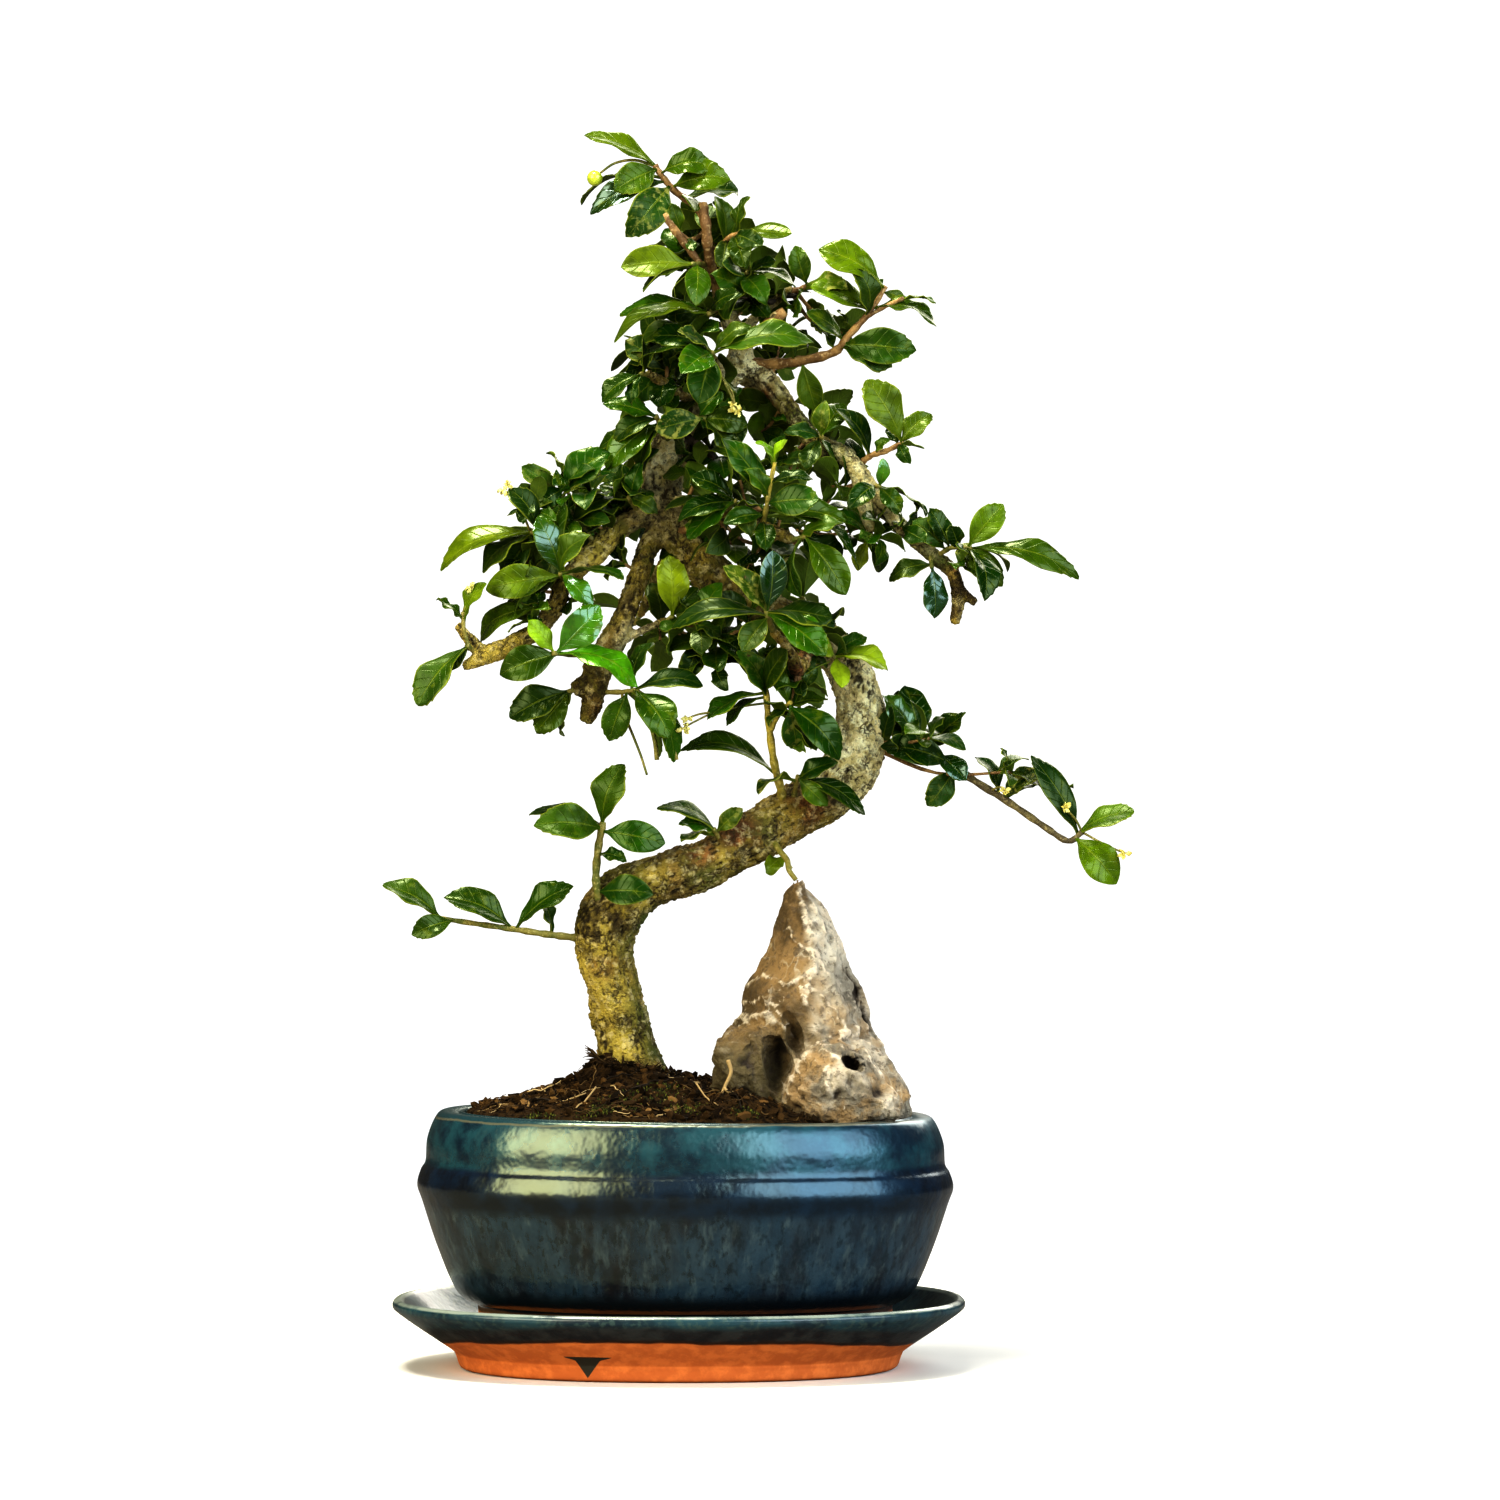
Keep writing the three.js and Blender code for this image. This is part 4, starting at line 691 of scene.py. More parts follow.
# painted sunlight: warm yellow on the lit sides and, at the left limb's end, also the yellow of bare wood
sun_painted = lay(browned, (0.60, 0.47, 0.10), painted_sunlight, patches(90, 0.3, 0.5))
greened = lay(sun_painted, (0.12, 0.15, 0.035), mossy, patches(110, 0.35, 0.55))
grey = blend(patches(260, 0.42, 0.58), (0.66, 0.57, 0.27), (1.0, 0.95, 0.60))
greyed = lay(greened, grey, lichen, patches(80, 0.25, 0.4))
red = blend(patches(160, 0.4, 0.6), (0.13, 0.055, 0.018), (0.38, 0.19, 0.06))
rusty = lay(greyed, red, rust, patches(120, 0.35, 0.55))
flaked = lay(rusty, (0.92, 0.80, 0.44), patches(300, 0.5, 0.62, offset=(9, 0, 0)),
             ramp(lichen, 0, 1, 0.4, 0.8))
# painted shade: dark brown where the bark lies in shade
shady = lay(flaked, (0.07, 0.048, 0.014), dark, patches(260, 0.36, 0.6))
dashed = lay(shady, (0.065, 0.045, 0.010), patches(520, 0.54, 0.63, detail=8),
             ramp(lichen, 0, 1, 0.55, 0.5))
splits = product(cracks(330, 0.22, 2.2), patches(170, 0.46, 0.62, offset=(0, 0, 8)))
split = lay(dashed, (0.06, 0.042, 0.014), splits, 0.8)
# painted shade: the sunken grooves turn nearly black
deep = lay(split, (0.035, 0.024, 0.008), ramp(crevice, 0.58, 1.0, 0.0, 0.9))
relief = sums("SUBTRACT", patches(500, 0.2, 0.8, detail=8), product(splits, 0.5))
paint(shader, deep, relief, 1.0, 0.0016)
bark_mesh.materials.append(bark_finish)
print("bark finish made")

# %% [markdown]
# ## Leaves
# The leaves of a fukien tea are small, stiff and glossy, like little spoons with a few teeth at the tip.
# One function lays a grid of points over a blade: narrow at the stalk, widest past the middle, folded
# along the midrib and arched. Two such sheets, joined round the rim, make a thin closed leaf. The shader
# reads two tags on each point: where it is on its blade, and how light and how olive the whole leaf is.

# %% The leafy twigs, as laid out in the front view
# Each twig: its spray, the points of its stem, its two end half-widths in pixels, its leaves as (share of
# the stem, tip across, tip down, tip depth from the bud, turn to the front in degrees), and, behind the
# tree, how many leaves grow round it by rule. A leaf with no share grows at the end of the stem.
TWIGS = [
    ("apex", [(708, 246, 3), (706, 228, 2), (697, 208, 1), (676, 192, 0), (662, 176, -1),
      (655, 165, -1)], (5.5, 3.5),
     [(585, 134, -4, 35), (0.95, 614, 190, -9, 62), (0.8, 590, 212, -12, 32), (0.75, 630, 233, -14, 70),
      (0.85, 579, 196, -2, 12), (0.72, 728, 176, -7, 48), (0.9, 712, 163, -5, 58), (0.6, 695, 211, -12, 28),
      (0.55, 738, 192, 9, 40)]),
    ("apex", [(706, 231, 2), (690, 240, -5), (675, 228, -8), (661, 215, -10)], (3.2, 2.4),
     [(0.6, 671, 203, -3, 60), (0.45, 693, 252, -6, 65)]),
    ("upper_right", [(712, 262, 3), (726, 240, -6), (742, 232, -12)], (4, 2.8),
     [(0.5, 718, 196, -3, 50), (0.9, 748, 196, -2, 60), (792, 236, -4, 18), (762, 246, -9, 60),
      (0.8, 745, 268, -10, 70), (0.6, 722, 268, -12, 70)]),
    ("upper_left", [(712, 264, 3), (702, 264, -6), (692, 264, -13)], (4, 2.8),
     [(621, 266, -3, 55), (642, 289, -9, 22), (0.8, 696, 304, -14, 80)]),
    ("left_shelf", [(722, 300, 4), (714, 310, -10), (708, 314, -17)], (4, 2.8),
     [(620, 310, -2, 48), (614, 332, -9, 14), (0.8, 738, 292, -10, 40)]),
    ("front_rosette", [(713, 358, -20), (712, 352, -30)], (4, 2.8),
     [(638, 359, -4, 28), (0.9, 652, 336, 2, 20), (812, 335, -4, 24), (748, 322, -3, 40),
      (678, 330, -9, 35), (699, 403, -8, 82), (682, 372, -14, 62)]),
    ("upper_middle", [(724, 300, 4), (738, 280, -4), (748, 272, -9)], (3.6, 2.6),
     [(796, 285, -4, 28), (777, 262, -2, 55), (0.8, 724, 262, -10, 62), (766, 300, -10, 50)]),
    ("right_top", [(786, 293, -4), (800, 289, -6), (809, 284, -7)], (3.6, 2.6),
     [(795, 246, -4, 82), (846, 284, -8, 32), (0.8, 800, 318, -9, 40), (868, 305, -2, 24)]),
    ("right_top_twig", [(742, 362, 6), (766, 364, 3), (800, 361, -2), (834, 352, -6),
      (848, 336, -8), (868, 314, -9), (886, 286, -10)], (7.5, 2.8),
     [(0.6, 916, 350, -6, 62), (0.58, 892, 369, -3, 42), (0.62, 806, 312, -7, 35), (0.55, 812, 325, 6, 30),
      (0.35, 816, 410, 3, 76), (0.3, 784, 332, -8, 30), (0.84, 812, 284, -5, 28), (0.86, 937, 318, -4, 42),
      (818, 250, -2, 38), (864, 273, 6, 14), (905, 300, 3, 44), (0.8, 862, 270, -9, 62)]),
    ("right_top_twig", [(866, 317, -9), (886, 306, -11), (904, 298, -12)], (2.8, 2.4), [(936, 301, -2, 18)]),
    ("right_limb_twig", [(862, 462, -10), (872, 455, -12), (886, 451, -14), (904, 442, -16)], (4, 2.8),
     [(866, 380, -3, 80), (930, 413, -2, 78), (0.95, 890, 427, 7, 60), (924, 450, -4, 16),
      (0.9, 908, 462, -5, 78), (0.2, 838, 408, -3, 70), (0.35, 887, 438, -4, 55)]),
    ("right_limb_top", [(816, 444, -7), (822, 436, -16)], (3.4, 2.6),
     [(824, 402, -5, 76), (842, 404, 4, 62), (786, 430, -5, 60), (0.9, 806, 470, -9, 60)]),
    ("right_limb_side", [(868, 486, -12), (880, 486, -20)], (3.2, 2.6),
     [(884, 460, -6, 82), (901, 512, -4, 62), (928, 513, 3, 18), (0.9, 850, 506, -10, 55)]),
    ("right_limb_tip", [(936, 557, -15), (950, 548, -19), (962, 547, -21), (976, 550, -22)], (3.2, 2.6),
     [(0.3, 914, 520, -3, 48), (0.4, 930, 508, 4, 48), (0.6, 950, 524, -8, 62), (0.9, 1003, 504, -2, 82),
      (0.6, 1003, 583, -5, 52), (1010, 566, 4, 28), (1080, 573, -3, 27), (0.9, 990, 594, -9, 20)]),
    ("right_limb_under", [(930, 554, -15), (932, 568, -20)], (3.2, 2.6),
     [(935, 618, -3, 85), (889, 577, -2, 68)]),
    ("right_limb_knot_leaves", [(869, 528, -9), (868, 541, -13)], (3.2, 2.6),
     [(857, 570, -3, 80), (882, 572, 2, 62), (836, 512, -6, 50)]),
    ("middle_shoot", [(762, 527, -29), (767, 505, -35), (770, 485, -38), (775, 462, -40)], (3.4, 2.4),
     [(0.98, 788, 440, -3, 50), (0.95, 758, 440, 2, 50), (0.7, 812, 476, -2, 45), (0.45, 722, 438, -3, 70),
      (0.5, 746, 470, -8, 45), (0.4, 820, 500, -8, 55), (0.2, 864, 556, -3, 30), (0.1, 766, 548, -5, 76),
      (0.2, 724, 522, -6, 58), (0.3, 848, 520, 5, 42)]),
    ("middle_left", [(724, 515, -22), (736, 500, -30)], (3.4, 2.6),
     [(690, 477, -3, 50), (678, 516, -6, 55), (764, 508, -9, 24), (752, 536, -8, 66),
      (0.9, 688, 540, -4, 66)]),
    ("middle_rosette", [(773, 631, -29), (766, 611, -37)], (3.6, 2.8),
     [(772, 550, -4, 84), (722, 567, -3, 66), (672, 621, -2, 46), (742, 652, -8, 66), (832, 621, -1, 26),
      (826, 656, -7, 46)]),
    ("bend_shoot", [(838, 656, 9), (834, 657, -6)], (3.4, 2.8),
     [(888, 664, -4, 38), (866, 636, -2, 32), (842, 688, -6, 50), (800, 640, -7, 40)]),
    ("trunk_shoot", [(784, 806, 2), (781, 790, -3), (774, 762, -9), (769, 725, -14),
      (766, 690, -17)], (5.5, 3.6),
     [(707, 719, -4, 24), (0.95, 726, 725, -7, 44), (716, 634, -3, 70), (742, 650, -8, 72),
      (0.98, 790, 650, -6, 50), (0.3, 684, 740, -3, 36)]),
    ("trunk_shoot", [(770, 732, -13), (780, 712, -17), (791, 702, -21)], (3.2, 2.6),
     [(841, 757, -3, 70), (828, 702, 2, 40), (798, 752, 5, 76), (770, 668, -9, 40)]),
    ("bend_low_shoot", [(792, 812, 6), (795, 790, -4), (798, 776, -9)], (3.4, 2.6),
     [(826, 805, -5, 66), (865, 815, -2, 12), (757, 791, -3, 16), (0.9, 838, 762, -7, 58)]),
    ("front_limb_tip", [(792, 540, -33), (806, 536, -38)], (3.2, 2.6),
     [(846, 595, -3, 52), (840, 558, 4, 50), (798, 597, -6, 24), (842, 522, -8, 40)]),
    ("left_rosette", [(564, 581, -18), (560, 573, -27)], (3.4, 2.8),
     [(538, 517, -4, 70), (562, 500, 3, 68), (486, 588, -2, 66), (514, 614, -9, 50), (624, 574, -3, 28),
      (592, 606, -7, 56), (0.9, 584, 535, -9, 50)]),
    ("left_fore_twig", [(578, 567, -15), (553, 546, -20), (530, 531, -23)], (3.6, 2.8),
     [(438, 562, -3, 18), (480, 568, -5, 50), (0.9, 503, 578, 4, 50), (510, 488, -3, 50),
      (0.45, 540, 590, -9, 60)]),
    ("left_high_twig", [(600, 549, -11), (576, 520, -13), (557, 492, -15)], (3.8, 2.8),
     [(608, 451, -3, 46), (521, 467, -2, 45), (0.95, 601, 475, -7, 42), (0.95, 512, 504, -6, 38),
      (0.5, 560, 540, -8, 60), (0.5, 608, 520, -8, 40)]),
    ("left_inner", [(640, 515, -3), (628, 497, -14)], (3.2, 2.6),
     [(657, 512, -5, 36), (573, 514, -2, 30), (600, 484, 3, 24), (640, 462, -5, 50)]),
    ("left_top", [(648, 374, -20), (640, 374, -25)], (3, 2.6),
     [(601, 400, -2, 32), (630, 402, -6, 70), (640, 338, -2, 30)]),
    ("left_middle", [(672, 446, 6), (662, 428, -8), (656, 416, -14)], (3.8, 2.8),
     [(603, 403, -2, 34), (613, 438, -3, 66), (0.8, 606, 468, -6, 44), (0.8, 640, 470, -9, 50)]),
    ("left_middle", [(664, 432, -5), (690, 418, -14), (706, 418, -18)], (3.2, 2.6),
     [(655, 430, -4, 64), (730, 452, -3, 60), (748, 424, 3, 60), (722, 392, -5, 60)]),
    ("right_limb_inner", [(788, 410, -1), (776, 404, 10)], (3.4, 2.8),
     [(792, 452, -2, 80), (734, 398, 2, 70), (752, 440, 8, 60)]),
    ("young_shoot", [(606, 652, -14), (580, 655, -26), (552, 653, -33)], (3.4, 2.8),
     [(527, 621, -3, 70), (600, 607, -3, 66), (640, 682, -2, 50), (500, 673, -3, 56)]),
    ("left_end", [(478, 655, -25), (466, 645, -29)], (3.2, 2.6),
     [(418, 706, -3, 60), (0.9, 446, 670, 4, 70)]),
    ("left_end", [(470, 650, -28), (464, 630, -30), (463, 612, -30)], (2.6, 2.4),
     [(436, 600, -2, 44), (484, 582, -1, 44)]),
    ("left_under", [(550, 614, -21), (542, 606, -28)], (3.2, 2.6), [(474, 638, -2, 24), (508, 596, -5, 50)]),
    ("hanging_left", [(580, 688, -16), (567, 692, -19)], (3.2, 2.6),
     [(510, 719, -2, 40), (536, 733, -4, 60), (0.8, 560, 736, 6, 50)]),
    ("hanging_right", [(600, 692, -14), (622, 692, -20), (636, 690, -22)], (3.2, 2.6),
     [(702, 681, -2, 46), (0.8, 609, 740, -4, 62), (676, 761, -2, 32), (0.95, 657, 758, 5, 22),
      (670, 733, -6, 60), (0.9, 648, 640, 4, 14)]),
    ("hanging_spur", [(666, 621, -15), (673, 616, -18)], (3, 2.6), [(668, 555, -3, 60), (698, 588, 3, 70)]),
    ("low_left_twig", [(596, 940, -4), (570, 937, -9), (545, 934, -13), (513, 929, -15),
      (478, 924, -17), (438, 918, -18)], (5, 3),
     [(382, 886, -2, 64), (0.9, 412, 934, -5, 50), (0.55, 444, 897, -4, 52), (0.53, 572, 885, -3, 46),
      (0.3, 540, 897, -5, 40)]),
    ("low_shoot", [(606, 922, -6), (600, 904, -12), (596, 880, -14), (598, 850, -15),
      (603, 822, -16)], (5, 4.2),
     [(622, 764, -3, 84), (531, 808, -2, 46), (0.95, 539, 822, -7, 52), (665, 843, -3, 56),
      (0.7, 626, 859, -5, 76), (0.35, 650, 892, -7, 60)]),
    ("trunk_rise_shoot", [(722, 851, -3), (718, 838, -9), (714, 829, -13)], (3.2, 2.6),
     [(658, 806, -2, 12), (679, 823, -6, 22), (742, 808, -3, 60), (681, 840, -8, 20)]),
    ("low_right_branch", [(860, 733, 12), (885, 728, 14), (908, 737, 12), (940, 757, 9),
      (975, 781, 6), (1010, 803, 4), (1045, 827, 2), (1068, 841, 1), (1082, 832, 0)], (6, 3.4),
     [(0.22, 881, 696, -4, 70), (0.25, 905, 686, 3, 60), (0.3, 968, 714, -4, 66), (0.33, 966, 781, -9, 66),
      (0.4, 884, 744, -7, 60), (0.42, 928, 806, -4, 80), (0.62, 977, 756, 3, 18), (0.64, 1043, 769, -3, 64),
      (0.64, 1074, 790, 3, 18), (1030, 756, -2, 56), (1135, 813, -2, 36), (1117, 883, -3, 60)]),
    ("pendant_shoot", [(776, 842, 0), (783, 855, -3), (791, 869, -3)], (2.8, 2.4),
     [(0.6, 766, 872, -7, 60)]),
    ("back_left", [(620, 482, 49), (611, 487, 57)], (3.6, 2.8), [], 5),
    ("back_left_inner", [(645, 463, 25), (654, 448, 34), (660, 432, 40)], (3.4, 2.8), [], 5),
    ("back_right", [(803, 428, 47), (812, 438, 55)], (3.6, 2.8), [], 5),
    ("back_right_inner", [(770, 387, 24), (774, 368, 34)], (3.4, 2.8), [], 5),
    ("back_low", [(641, 613, 47), (635, 624, 56)], (3.6, 2.8), [], 5),
    ("back_low_inner", [(668, 562, 20), (688, 584, 36)], (3.4, 2.8), [], 4),
    ("back_bend", [(808, 607, 53), (800, 594, 61)], (3.6, 2.8), [], 5),
    ("back_bend_inner", [(825, 630, 35), (816, 648, 43)], (3.4, 2.8), [], 4),
    ("back_middle", [(757, 534, 47), (751, 522, 56)], (3.6, 2.8), [], 5),
    ("back_middle_inner", [(768, 572, 30), (790, 558, 38)], (3.4, 2.8), [], 4),
    ("back_top", [(738, 286, 30), (739, 272, 38)], (3.4, 2.8), [], 5),
    ("back_crown", [(715, 278, 4), (700, 262, 20), (690, 250, 28)], (3.4, 2.8), [], 5),
]
print(len(TWIGS), "twigs")

# %% [markdown]
# A leaf is fixed by three things: the bud on the stem, its tip, and the way its face looks. A leaf of the
# front view has a tip that is known, and turns its face partly to the front. A leaf behind follows the
# habit of the plant: each stands a golden angle further round the twig.

# %% How a bud, a leaf and its face are placed
BLADE_THICKNESS = 0.76
BLADE_ASPECT = 0.56
BLADE_WIDTH_MOST = 12.6
BLADE_FOLD = 0.22
BLADE_ARCH = 0.12
BLADE_ROLL = 1.0
GOLDEN_ANGLE = 2.399963
DEPTH_TRIES = (0, -3, 3, -6, 6, -9, 9, -12, 12, -15, 15)
TURN_TRIES = (0, 0.4, -0.4, 0.8, -0.8, 1.2, -1.2)
SNAP = 0.15


def along_stem(line, share, number):
    """The bud of a leaf: a place on the stem, a little back from its very end."""
    lengths = np.linalg.norm(np.diff(line, axis=0), axis=1)
    left = min(share * lengths.sum(), lengths.sum() - 0.8 * (1 + number % 4))
    for i, length in enumerate(lengths):
        if left <= length + 1e-9:
            return line[i] + (line[i + 1] - line[i]) * left / length
        left -= length
    return line[-1]


def face_of(base, tip, turn):
    """The way a face looks, from upwards (0 degrees) to the front (90 degrees)."""
    along = unit(tip - base)
    to_front = unit(FRONT - along * (FRONT @ along))
    upward = np.cross(to_front, along)
    if upward[2] < 0 or (upward[2] == 0 and upward[0] < 0):
        upward = -upward
    return upward * math.cos(math.radians(turn)) + to_front * math.sin(math.radians(turn))


def shown_leaf(leaf, line, number):
    """The places where a leaf from the front view may end, nearest first."""
    *share, across, down, from_bud, turn = leaf
    base = along_stem(line, *(share or [1]), number)
    for shift in DEPTH_TRIES:
        tip = seen(across, down, base[1] + from_bud + shift)
        yield base, tip, face_of(base, tip, turn)


def rule_leaf(fill, order, line, number, length=20.0):
    """A leaf that turns round its twig by the golden angle, leans out and lifts a little."""
    onward = order / max(1, fill - 1)
    base = along_stem(line, 0.5 + 0.5 * onward, number)
    axis = unit(line[-1] - line[0])
    across_axis = unit(np.cross(UP, axis))
    over_axis = np.cross(axis, across_axis)
    lean = math.radians(88 - 50 * onward)
    length *= 1 + 0.3 * (chance(number + 0.25) - 0.5)
    for extra in TURN_TRIES:
        angle = GOLDEN_ANGLE * order + extra + 2 * math.pi * chance(number - order)
        way = axis * math.cos(lean) + math.sin(lean) * (
            across_axis * math.cos(angle) + over_axis * math.sin(angle))
        way = unit(way + 0.22 * UP)
        face = UP + 0.45 * axis
        yield base, base + way * length, unit(face - way * (face @ way))


print("leaf rules ready")

# %% [markdown]
# One blade is a grid of points over a spoon outline with a few blunt teeth. Rows run from stalk to tip
# and columns from edge to edge. The grid is folded at the midrib, arched, curled and twisted by small
# draws, so that no two leaves are the same. Leaves deep in the crown have fewer points.

# %% The grid of one blade
ROWS = np.array([0, .05, .1, .16, .23, .31, .4, .49, .58, .66, .74, .8, .85, .862, .9, .93, .942, .972, 1.0])
FEW_ROWS = np.array([0, .08, .17, .28, .4, .53, .66, .78, .87, .95, 1.0])
COLUMNS = np.array([-1, -.8, -.55, -.27, 0, .27, .55, .8, 1])
FEW_COLUMNS = np.array([-1, -.6, 0, .6, 1])
WIDTH_AT = [0, .06, .11, .17, .25, .35, .46, .57, .68, .78, .86, .93, .975, 1.0]
WIDTHS = [.075, .08, .12, .27, .52, .77, .94, 1.0, .97, .86, .68, .44, .21, .03]
TEETH = {.85: 1.07, .862: .93, .93: 1.12, .942: .88}


def grid_faces(rows, columns):
    """The faces of two sheets of points, one over the other, that are joined all round the rim."""
    at = np.arange(rows * columns).reshape(rows, columns)
    over = np.dstack([at[:-1, :-1], at[:-1, 1:], at[1:, 1:], at[1:, :-1]]).reshape(-1, 4)
    under = over[:, ::-1] + at.size
    rim = np.concatenate([at[0, :-1], at[:-1, -1], at[-1, :0:-1], at[:0:-1, 0]])
    next_rim = np.roll(rim, -1)
    edge = np.column_stack([rim, rim + at.size, next_rim + at.size, next_rim])
    return np.vstack([over, under, edge]).tolist()


FACES = grid_faces(len(ROWS), len(COLUMNS))
FEW_FACES = grid_faces(len(FEW_ROWS), len(FEW_COLUMNS))


def put_blade(pile, base, tip, face, number, tone, few=False, glints=False):
    """Adds a leaf. Its tags are the place on the blade, and how light, how olive and how worn it is: the
    lightness is partly painted light, and the third value also sets the gloss and the strength of the painted
    rim light and sheen.
    """
    rows, columns, faces = (FEW_ROWS, FEW_COLUMNS, FEW_FACES) if few else (ROWS, COLUMNS, FACES)
    length = np.linalg.norm(tip - base)
    along = (tip - base) / length
    roll = 0 if glints else BLADE_ROLL * (chance(number + 0.19) - 0.5)
    face = unit(face + roll * np.cross(along, face))
    side = np.cross(along, face)
    fold = BLADE_FOLD * (0.7 + 1.5 * chance(number + 0.41))
    half = 0.47 * min(BLADE_ASPECT * length, BLADE_WIDTH_MOST) * (1 + 0.3 * (chance(number) - 0.5))
    arch = BLADE_ARCH * length * (1 + 0.8 * (chance(number + 0.5) - 0.5))
    width = np.interp(rows, WIDTH_AT, WIDTHS)
    if chance(number + 0.31) > 0.3:
        width = width * np.array([TEETH.get(row, 1.0) for row in rows])
    s, t = rows[:, None], columns[None, :]
    w = width[:, None] * half
    curl = 1.3 * (chance(number + 0.62) - 0.3)
    twist = 1.6 * (chance(number + 0.73) - 0.5)
    wave = 1.1 * chance(number + 0.84)
    rise = (
        arch * np.sin(np.pi * s) + fold * (np.sqrt(t * t + 0.02) - 0.14) * w
        - curl * length * np.clip(s - 0.6, 0, 1) ** 2 + twist * w * t * (s - 0.5)
        + wave * np.sin(14 * s + 5 * number + np.sign(t)) * t * t * np.minimum(s * 4, 1)
        - 0.12 * w * np.clip(np.abs(t) - 0.75, 0, 1) * 4
    )
    middle = base + s[..., None] * length * along + (t * w)[..., None] * side + rise[..., None] * face
    thick = np.interp(s, [0, 0.14, 0.3, 1], [0.95, 0.7, 0.36, 0.28]) * (1 - 0.25 * np.abs(t))
    rib = 0.34 * np.exp(-(t / 0.14) ** 2) * (1 - s)
    top = middle + (thick / 2)[..., None] * face
    bottom = middle - (thick / 2 + rib)[..., None] * face
    points = np.vstack([top.reshape(-1, 3), bottom.reshape(-1, 3)])
    count = len(points) // 2
    blade = np.zeros((2 * count, 3))
    blade[:, 0] = np.tile((t + 0 * s).ravel(), 2)
    blade[:, 1] = np.tile((s + 0 * t).ravel(), 2)
    blade[:count, 2] = 1
    pile.put(points, faces, blade=blade, tone=(*tone, 0.0 if glints else chance(number + 0.97)))


print("one blade has", len(FACES), "faces, or", len(FEW_FACES), "deep in the crown")


# %% [markdown]
# Most leaves are dark, and the light and olive ones give the crown its life: some are young and paler in
# themselves, and on others the light that falls on them and shines through them is painted into their colour.
# Their tips are listed with how light and how olive they are, and every other leaf draws a small difference
# of its own.

# %% Which leaves are light or olive
SPECIAL_LEAVES = [
    # tip across, tip down, light, olive
    (585, 134, 0.34, 0.7), (614, 190, 0.3, 0.5), (621, 266, 0.4, 0.7), (632, 234, 0.1, 0.1),
    (726, 180, 0.32, 0.6), (727, 552, 0.1, 0.0), (884, 460, 0.62, 0.1), (640, 682, 0.62, 0.0),
    (527, 621, 0.8, 0.3), (545, 620, 0.8, 0.3), (888, 664, 0.85, 0.5), (800, 640, 0.7, 0.5),
    (835, 684, 0.85, 0.5), (772, 455, 0.9, 0.3), (788, 440, 0.8, 0.3), (758, 440, 0.7, 0.3),
    (668, 555, 0.6, 0.7), (857, 570, 0.4, 0.9), (866, 380, 0.36, 0.7), (930, 413, 0.36, 0.6),
    (824, 402, 0.3, 0.7), (792, 452, 0.34, 1.0), (734, 398, 0.3, 0.8), (752, 440, 0.34, 1.0),
    (1003, 504, 0.42, 0.4), (438, 562, 0.4, 0.7), (486, 588, 0.46, 0.5), (846, 284, 0.34, 0.6),
    (868, 305, 0.4, 0.5), (812, 284, 0.45, 0.4), (818, 250, 0.42, 0.5), (1117, 883, 0.5, 0.4),
    (1135, 813, 0.4, 0.3), (935, 618, 0.12, 0.0), (968, 782, 0.1, 0.0), (418, 706, 0.2, 0.4),
    (881, 696, 0.3, 0.2), (972, 730, 0.1, 0.0), (977, 756, 0.1, 0.0), (600, 607, 0.5, 0.0),
    (681, 603, 0.3, 0.6), (766, 872, 0.35, 0.8), (791, 869, 0.35, 0.8), (795, 246, 0.25, 0.5),
]


# leaves that turn their face to the window on the right: tip across, tip down
GLINT_LEAVES = [(706, 385), (728, 552), (540, 520), (935, 618), (968, 782), (770, 590), (843, 445),
                (884, 460), (772, 560), (640, 540), (700, 360), (600, 607), (805, 800), (830, 470),
                (932, 618)]
WINDOW_WAY = unit(np.array([0.363, -0.915, 0.173]))
GLINT_REACH, TONE_REACH = 10, 9  # in pixels


def turned_to_window(base, tip, face):
    """The face of a leaf, and whether it is one of those that catch the window."""
    across, down = in_view(tip)
    along = unit(tip - base)
    for at_across, at_down in GLINT_LEAVES:
        if max(abs(across - at_across), abs(down - at_down)) < GLINT_REACH:
            return unit(WINDOW_WAY - along * (WINDOW_WAY @ along)), True
    return face, False


def tone_of(tip, number):
    """How light and how olive a leaf is; the lightness is partly painted light. High and far left, the crown
    is more olive.
    """
    across, down = in_view(tip)
    for at_across, at_down, light, olive in SPECIAL_LEAVES:
        if max(abs(across - at_across), abs(down - at_down)) < TONE_REACH:
            return light, olive
    draw = chance(number + 0.11)
    high = np.clip((420 - down) / 280, 0, 1)
    left = np.clip((640 - across) / 120, 0, 1)
    return 0.3 * draw ** 1.6 + 0.04 * high, 0.8 * chance(number + 0.17) ** 1.6 + 0.35 * high + 0.3 * left


print(len(SPECIAL_LEAVES), "leaves with a tone of their own,", len(GLINT_LEAVES), "that glint")

# %% [markdown]
# Each spray takes the place of its plain node. The plain model tried several depths for each leaf until
# it was clear of its neighbours, so the fine leaf looks for the try whose tip is a corner of the plain
# node.

# %% Grow the fine sprays
LEAF_SHARP = 50  # degrees between faces over which an edge stays sharp


def found_try(tries, corners):
    """The first try whose tip is a corner of the plain node, and whether there was one."""
    tries = list(tries)
    for base, tip, face in tries:
        lift = face * BLADE_THICKNESS / 2
        if max(corners.find(tip + lift)[2], corners.find(tip - lift)[2]) < SNAP:
            return base, tip, face, True
    return (*tries[0], False)


def put_stem(pile, line, ends):
    """A knobbly young stem. Its end half-widths are in pixels."""
    widths = np.linspace(*ends, len(line)) * MM_PER_PIXEL * 0.86
    curve, radii = smooth_line(line, widths, 5)
    knobs = 1 + 0.14 * np.sin(np.arange(len(curve)) * 2.1)
    pile.put(*tube(curve, radii * knobs, 8))


